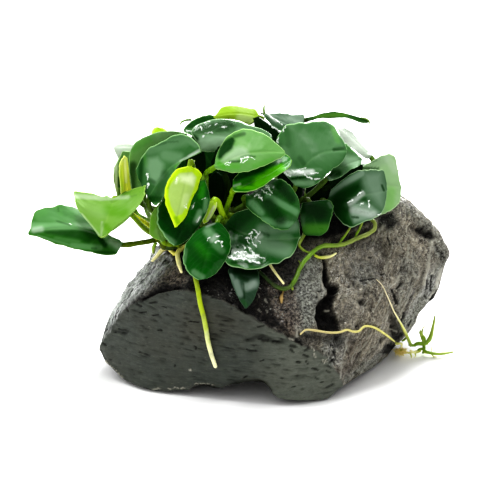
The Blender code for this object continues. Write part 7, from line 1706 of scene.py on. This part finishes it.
points, quads, shades = fine_stone(list(ROOT_LINES.values()))
make("stone_skin", points, quads, stone_material(), shades, nodes=("stone",))

for i, leaf in enumerate(LEAVES):
    look = LOOK_OF.get(leaf.name, leaf.tone)
    rings, marks, flats = fine_leaf(leaf)
    pts, faces = skin(rings)
    faces = outward(pts, faces)
    marks = np.vstack(marks + [[[-1, 0, 0]], [[1, 0, 0]]])
    flats = np.vstack(flats + [[[0, -30, 5]], [[0, leaf.length, 0]]])
    grid = seen(pts)
    tri = np.array([(f[0], f[1], f[2]) for f in faces] + [(f[0], f[2], f[3]) for f in faces if len(f) == 4])
    facing = (normals_of(pts, tri) @ np.array(FORWARD) < 0) & (marks[:, 0] > 0.01)
    kinds = {"sheen": np.zeros(len(pts)), "shade": np.zeros(len(pts)), "pale": np.zeros(len(pts)), "vivid": np.zeros(len(pts)), "wrinkle": np.zeros(len(pts))}
    for mark in MARKS.get(leaf.name, []):
        kinds[mark[0]] = np.maximum(kinds[mark[0]], stroke(grid, mark) * (marks[:, 0] > 0))
    glints = []
    for a, b, wide in GLINTS.get(leaf.name, []):
        fa, fb = on_blade(grid, facing, flats, a), on_blade(grid, facing, flats, b)
        glints.append((fa, fb, wide * 0.43 * 1.05, 0.90))
    tone = np.stack([kinds["sheen"], kinds["shade"], kinds["pale"]], axis=1)
    rest = np.stack([kinds["vivid"], kinds["wrinkle"], np.zeros(len(pts))], axis=1)
    make(leaf.name + "_blade", pts, faces, leaf_material(leaf.name + "_look", LOOKS[look], i + 1, glints), {"blade": marks, "flat": flats, "tone": tone, "more": rest},
         nodes=(leaf.name,))

# dark blades deep in the crown, in the inner look, painted near black as the shade in the gaps between the front leaves
INNER = [
    Leaf("inner_a", (236, 206, 4), (234, 186, 6), (233, 163, 8), (222, 186, 6), (247, 186, 6), foot("main", 0.55, (0, 1, 0.3))),
    Leaf("inner_b", (291, 204, 9), (289, 183, 10), (288, 164, 11), (277, 183, 10), (303, 183, 10), foot("main", 0.80, (0, 1, 0.3))),
    Leaf("inner_c", (197, 188, 1), (196, 163, 4), (193, 136, 9), (186, 165, 4), (206, 160, 5), foot("main", 0.30, (0, 1, 0.3))),
    Leaf("inner_d", (318, 206, 10), (322, 192, 12), (326, 178, 14), (306, 188, 12), (338, 196, 12), foot("branch", 0.30, (0, 1, 0.3))),
    Leaf("inner_f", (330, 186, 12), (346, 177, 13), (363, 166, 14), (344, 168, 13), (350, 184, 13), foot("branch", 0.4, (0, 1, 0.3))),
    Leaf("inner_e", (214, 206, 2), (215, 190, 4), (216, 172, 6), (205, 190, 4), (226, 190, 4), foot("main", 0.45, (0, 1, 0.3))),
]
inner_points, inner_faces, inner_blade, inner_flat, base = [], [], [], [], 0
for leaf in INNER:
    rings, marks, flats = fine_leaf(leaf)
    pts, faces = skin(rings)
    inner_faces += [tuple(i + base for i in f) for f in outward(pts, faces)]
    inner_points.append(pts)
    inner_blade.append(np.vstack(marks + [[[-1, 0, 0]], [[1, 0, 0]]]))
    inner_flat.append(np.vstack(flats + [[[0, -30, 5]], [[0, leaf.length, 0]]]))
    base += len(pts)
none = np.zeros((base, 3))
make("inner_leaves", np.vstack(inner_points), inner_faces, leaf_material("inner_look", LOOKS["inner"], 61, []),
     {"blade": np.vstack(inner_blade), "flat": np.vstack(inner_flat), "tone": none, "more": none})

stem = root_material("stem_skin", (0.050, 0.095, 0.014), (0.036, 0.068, 0.014), dirt=(0.05, 0.03, 0.01), roughness=0.5)
for j, (name, line) in enumerate((("rhizome_main", MAIN), ("rhizome_branch", BRANCH))):
    line = resample(line, 60)
    u = np.linspace(0, 1, 60)
    r = RHIZOME_R * np.sqrt(np.maximum(0.12, 1 - (2 * u - 1) ** 8)) * (0.97 + 0.06 * np.abs(np.sin(26 * u)))
    tube_piece(name + "_skin", line, r, 20, stem, (name,), seed=j + 3, uneven=0.07)

long_root = root_material("root_long_skin", (0.125, 0.20, 0.010), (1.0, 0.99, 0.62), middle=(0.44, 0.56, 0.012))
thin_root = root_material("root_thin_skin", (0.90, 0.82, 0.56), (0.26, 0.38, 0.02), middle=(0.62, 0.62, 0.16))
pale = root_material("root_pale_skin", (0.50, 0.56, 0.05), (0.92, 0.88, 0.46), tip=0.9)
green = root_material("root_green_skin", (0.30, 0.36, 0.08), (0.014, 0.040, 0.003), middle=(0.175, 0.330, 0.014), dirt=(0.05, 0.08, 0.01), coat=0.35, roughness=0.5)
leafy = root_material("root_leafy_skin", (0.20, 0.36, 0.012), (0.33, 0.44, 0.06))
cream = root_material("root_cream_skin", (0.86, 0.80, 0.16), (0.98, 0.92, 0.50), tip=0.9)
ivory = root_material("root_ivory_skin", (0.60, 0.52, 0.25), (0.72, 0.70, 0.20), tip=0.9)
SKIN_OF = {"root_01": long_root, "root_04": green, "root_11": thin_root, "root_02": cream, "root_03": cream, "root_05": cream, "root_10": ivory, "root_12": leafy}
for j, (name, (line, r)) in enumerate(ROOT_LINES.items()):
    m = SKIN_OF.get(name, leafy if name in GREEN_ROOTS else pale)
    if name == "root_04":
        r = 0.86 * r
    if name == "root_11":
        r = r * np.interp(np.linspace(0, 1, len(r)), [0, 0.5, 1], [0.55, 0.8, 1.0])
    tube_piece(name + "_skin", line, r, 12, m, (name,), seed=j, uneven=0.22 if name == "root_04" else 0.10)


def tubes(name, specs, sides, material):
    """Tubes through places of the sighting grid (across, down, depth), with their radii, as one mesh."""
    lines = []
    for spots, radii in specs:
        line = resample(smooth_line([sight(*q) for q in spots], 8), 6 * len(spots))
        line[:, 2] = np.maximum(line[:, 2], 0.3)
        lines.append((line, np.interp(np.linspace(0, 1, len(line)), np.linspace(0, 1, len(radii)), radii)))
    return strands(name, lines, sides, material)


def over_stone(spots, lift):
    return [(x, y, on_stone(x, y, lift)[1]) for x, y in spots]


# fine rootlets of the cluster beside the stone
tubes("rootlets_green", [
    ([(409, 344, 8), (413, 345.4, 8), (418, 344, 8), (424, 344, 8), (428, 343, 8)], [0.75, 0.6, 0.7, 0.8, 0.6]),
    ([(424, 351.5, 7), (424, 347, 7.5), (423.5, 342, 8), (421.5, 337, 8.5), (419.5, 331.5, 9)], [0.7, 0.75, 0.6, 0.5, 0.3]),
    ([(425, 343, 8), (424.5, 338, 8.5), (422, 334, 9), (423, 329, 9.5)], [0.5, 0.55, 0.4, 0.25]),
    ([(417, 351.5, 6.5), (419.5, 349.5, 6.8), (423.5, 348.5, 7)], [0.5, 0.65, 0.6]),
    ([(422.5, 353.5, 6), (424, 351, 6.5), (425.8, 351.5, 6.5)], [0.45, 0.6, 0.4]),
    ([(402, 341, 4), (404.5, 339.5, 5), (406, 337, 6)], [0.35, 0.55, 0.3]),
    ([(408, 338, 6.5), (409.5, 342, 7.2), (410.5, 346.5, 7.6)], [0.5, 0.6, 0.35]),
], 9, leafy)
tubes("rootlets_pale", [
    ([(393, 341.5, 1.6), (397, 343.5, 2), (401.5, 343.8, 2.6), (401, 348, 2.8)], [0.45, 0.55, 0.55, 0.3]),
    ([(391.5, 341.5, 1.6), (394, 343.5, 1.8), (398, 344.5, 2)], [0.25, 0.35, 0.3]),
    ([(400, 350, 3), (405, 352.5, 3.4), (411, 352.5, 4), (415, 351.5, 5), (417, 350.5, 6)], [0.5, 0.45, 0.5, 0.45, 0.35]),
    ([(424, 352.5, 6), (431, 353.2, 5), (437, 353.8, 4.4), (444, 353, 5), (453.5, 352.3, 6)], [0.45, 0.55, 0.5, 0.4, 0.25]),
    ([(431, 353.2, 5), (434, 357, 4), (437, 357, 4)], [0.3, 0.3, 0.15]),
    ([(410.5, 353, 4), (411.5, 357, 3), (411, 360.5, 2.5)], [0.4, 0.3, 0.15]),
    ([(415, 352, 5), (415.5, 356, 4), (414, 358, 3.5)], [0.35, 0.25, 0.12]),
    ([(422, 331, 9.5), (424, 326.5, 10), (427.5, 326, 10)], [0.25, 0.22, 0.2]),
    ([(431.2, 352, 6), (431.5, 348, 7), (431, 345.5, 7.5)], [0.14, 0.14, 0.08]),
], 8, pale)
# short side roots on the thick green root, and a worn end below it
tubes("side_roots", [
    (over_stone([(301, 264), (298.5, 260.5)], 1.2), [0.35, 0.2]),
    (over_stone([(312, 252.5), (316, 256), (320, 257.6)], 1.4), [0.5, 0.5, 0.5]),
    (over_stone([(303, 249.5), (307, 252), (311.5, 252.6)], 1.4), [0.45, 0.45, 0.5]),
    (over_stone([(291, 285), (292.3, 288.5), (292.6, 290)], 1.2), [0.6, 0.65, 0.4]),
    (over_stone([(339.5, 243.5), (341.5, 240), (345, 235.5)], 1.9), [0.45, 0.4, 0.4]),
    (over_stone([(354.5, 238.5), (356.5, 234.5), (359, 229.5)], 2.0), [0.45, 0.4, 0.4]),
], 9, leafy)
scrap = root_material("scrap_skin", (0.30, 0.20, 0.07), (0.46, 0.32, 0.12), roughness=0.6)
tubes("root_scrap", [(over_stone([(283, 288), (283, 292), (281.5, 297), (281.5, 303)], 0.7), [0.3, 0.35, 0.9, 0.35])], 9, scrap)
# curled tips and small shoots of the crown
shoot = root_material("shoot_skin", (0.12, 0.24, 0.03), (0.20, 0.34, 0.06))
tubes("curled_tips", [
    ([(191, 119.8, 20), (186, 120.2, 19), (181.5, 122, 18), (179.6, 126, 17)], [0.5, 0.5, 0.4, 0.2]),
    ([(264.5, 114, 22), (263.8, 109, 23), (264.5, 105, 24)], [0.55, 0.5, 0.25]),
    ([(361, 118, 41), (366, 119.2, 40.5), (369, 121.5, 40), (369, 124.5, 39.5)], [0.5, 0.55, 0.45, 0.25]),
], 8, shoot)
bud = root_material("bud_skin", (0.16, 0.34, 0.02), (0.44, 0.62, 0.06))
tubes("bud", [([(188.5, 168.5, -13), (191, 164, -12.5), (195, 160.5, -12)], [0.9, 0.75, 0.2])], 12, bud)

rust = root_material("fibre_skin", (0.80, 0.58, 0.12), (0.95, 0.84, 0.36), dirt=(0.50, 0.30, 0.06), roughness=0.7)
rng = np.random.RandomState(5)
tufts = []
middle = sight(400.5, 351.5, 3.5)
for i in range(120):
    a = rng.normal(size=3)
    a = unit(a) * np.array([2.4, 1.8, 1.4]) * rng.rand() ** 0.4
    b = unit(rng.normal(size=3)) * np.array([3.8, 2.4, 1.9]) * (0.7 + 0.5 * rng.rand())
    c = unit(rng.normal(size=3)) * np.array([3.0, 2.1, 1.7]) * 0.8
    line = resample(smooth_line([middle + a, middle + 0.5 * (a + c) + 0.4 * rng.normal(size=3), middle + c, middle + b], 5), 12)
    line[:, 2] = np.maximum(line[:, 2], 0.25)
    tufts.append((line, np.full(12, 0.05 + 0.06 * rng.rand())))
strands("fibre_tuft_strands", tufts, 5, rust, ("fibre_tuft",))

# ------------------------------------------------------------------ floor, light and camera
floor_mesh = bpy.data.meshes.new("floor")
floor_mesh.from_pydata([(-4, -3, 0), (4, -3, 0), (4, 6, 0), (-4, 6, 0)], [], [(0, 1, 2, 3)])
floor = bpy.data.objects.new("floor", floor_mesh)
bpy.context.scene.collection.objects.link(floor)
paper = Nodes("paper")
floor_mesh.materials.append(paper.set(Base_Color=(0.93, 0.93, 0.93), Roughness=0.85))
paper.p.inputs["Specular IOR Level"].default_value = 0.1

world = bpy.data.worlds.new("studio")
bpy.context.scene.world = world
world.use_nodes = True
w = world.node_tree
back = w.nodes["Background"]
out = w.nodes["World Output"]
coord = w.nodes.new("ShaderNodeTexCoord")
split = w.nodes.new("ShaderNodeSeparateXYZ")
w.links.new(coord.outputs["Generated"], split.inputs[0])


def wmath(op, a, b):
    n = w.nodes.new("ShaderNodeMath")
    n.operation = op
    for sck, v in zip(n.inputs, (a, b)):
        if isinstance(v, bpy.types.NodeSocket):
            w.links.new(v, sck)
        else:
            sck.default_value = v
    return n.outputs[0]


# bright behind and above the stone, dim on the side that looks at it
rear = wmath("MULTIPLY", wmath("MAXIMUM", split.outputs[1], 0.0), 1.25)
height = wmath("MULTIPLY", wmath("MAXIMUM", split.outputs[2], 0.0), 0.5)
side = wmath("MULTIPLY", wmath("MAXIMUM", wmath("MULTIPLY", split.outputs[0], -1.0), 0.0), 0.5)
level = wmath("ADD", wmath("ADD", rear, height), wmath("ADD", side, 0.24))
path = w.nodes.new("ShaderNodeLightPath")
strength = w.nodes.new("ShaderNodeMix")
strength.data_type = "FLOAT"
w.links.new(path.outputs["Is Camera Ray"], strength.inputs[0])
w.links.new(level, strength.inputs[2])
strength.inputs[3].default_value = 1.0
w.links.new(strength.outputs[0], back.inputs["Strength"])
back.inputs["Color"].default_value = (1, 1, 1, 1)


def lamp(name, place_, aim, size, power, shape="RECTANGLE", size_y=None):
    data = bpy.data.lights.new(name, "AREA")
    data.shape = shape
    data.size = size
    if size_y:
        data.size_y = size_y
    data.energy = power
    o = bpy.data.objects.new(name, data)
    o.location = place_
    way = Vector(aim) - Vector(place_)
    o.rotation_euler = way.to_track_quat("-Z", "Y").to_euler()
    bpy.context.scene.collection.objects.link(o)
    return o


lamp("overhead", (-0.08, 0.05, 0.80), (0.0, 0.0, 0.05), 0.22, 2.6, size_y=0.22)
lamp("rear", (0.25, 0.80, 0.55), (0.0, 0.0, 0.06), 0.5, 8.0, size_y=0.4)

data = bpy.data.cameras.new("camera")
camera = bpy.data.objects.new("camera", data)
bpy.context.scene.collection.objects.link(camera)
camera.location = Vector((EYE - ORIGIN) * 0.001)
camera.rotation_euler = Vector(FORWARD).to_track_quat("-Z", "Y").to_euler()
data.sensor_width = 36.0
data.lens = 18.0 / (UNIT * 250.0 / SIGHT_DISTANCE)
data.clip_start = 0.01
bpy.context.scene.camera = camera
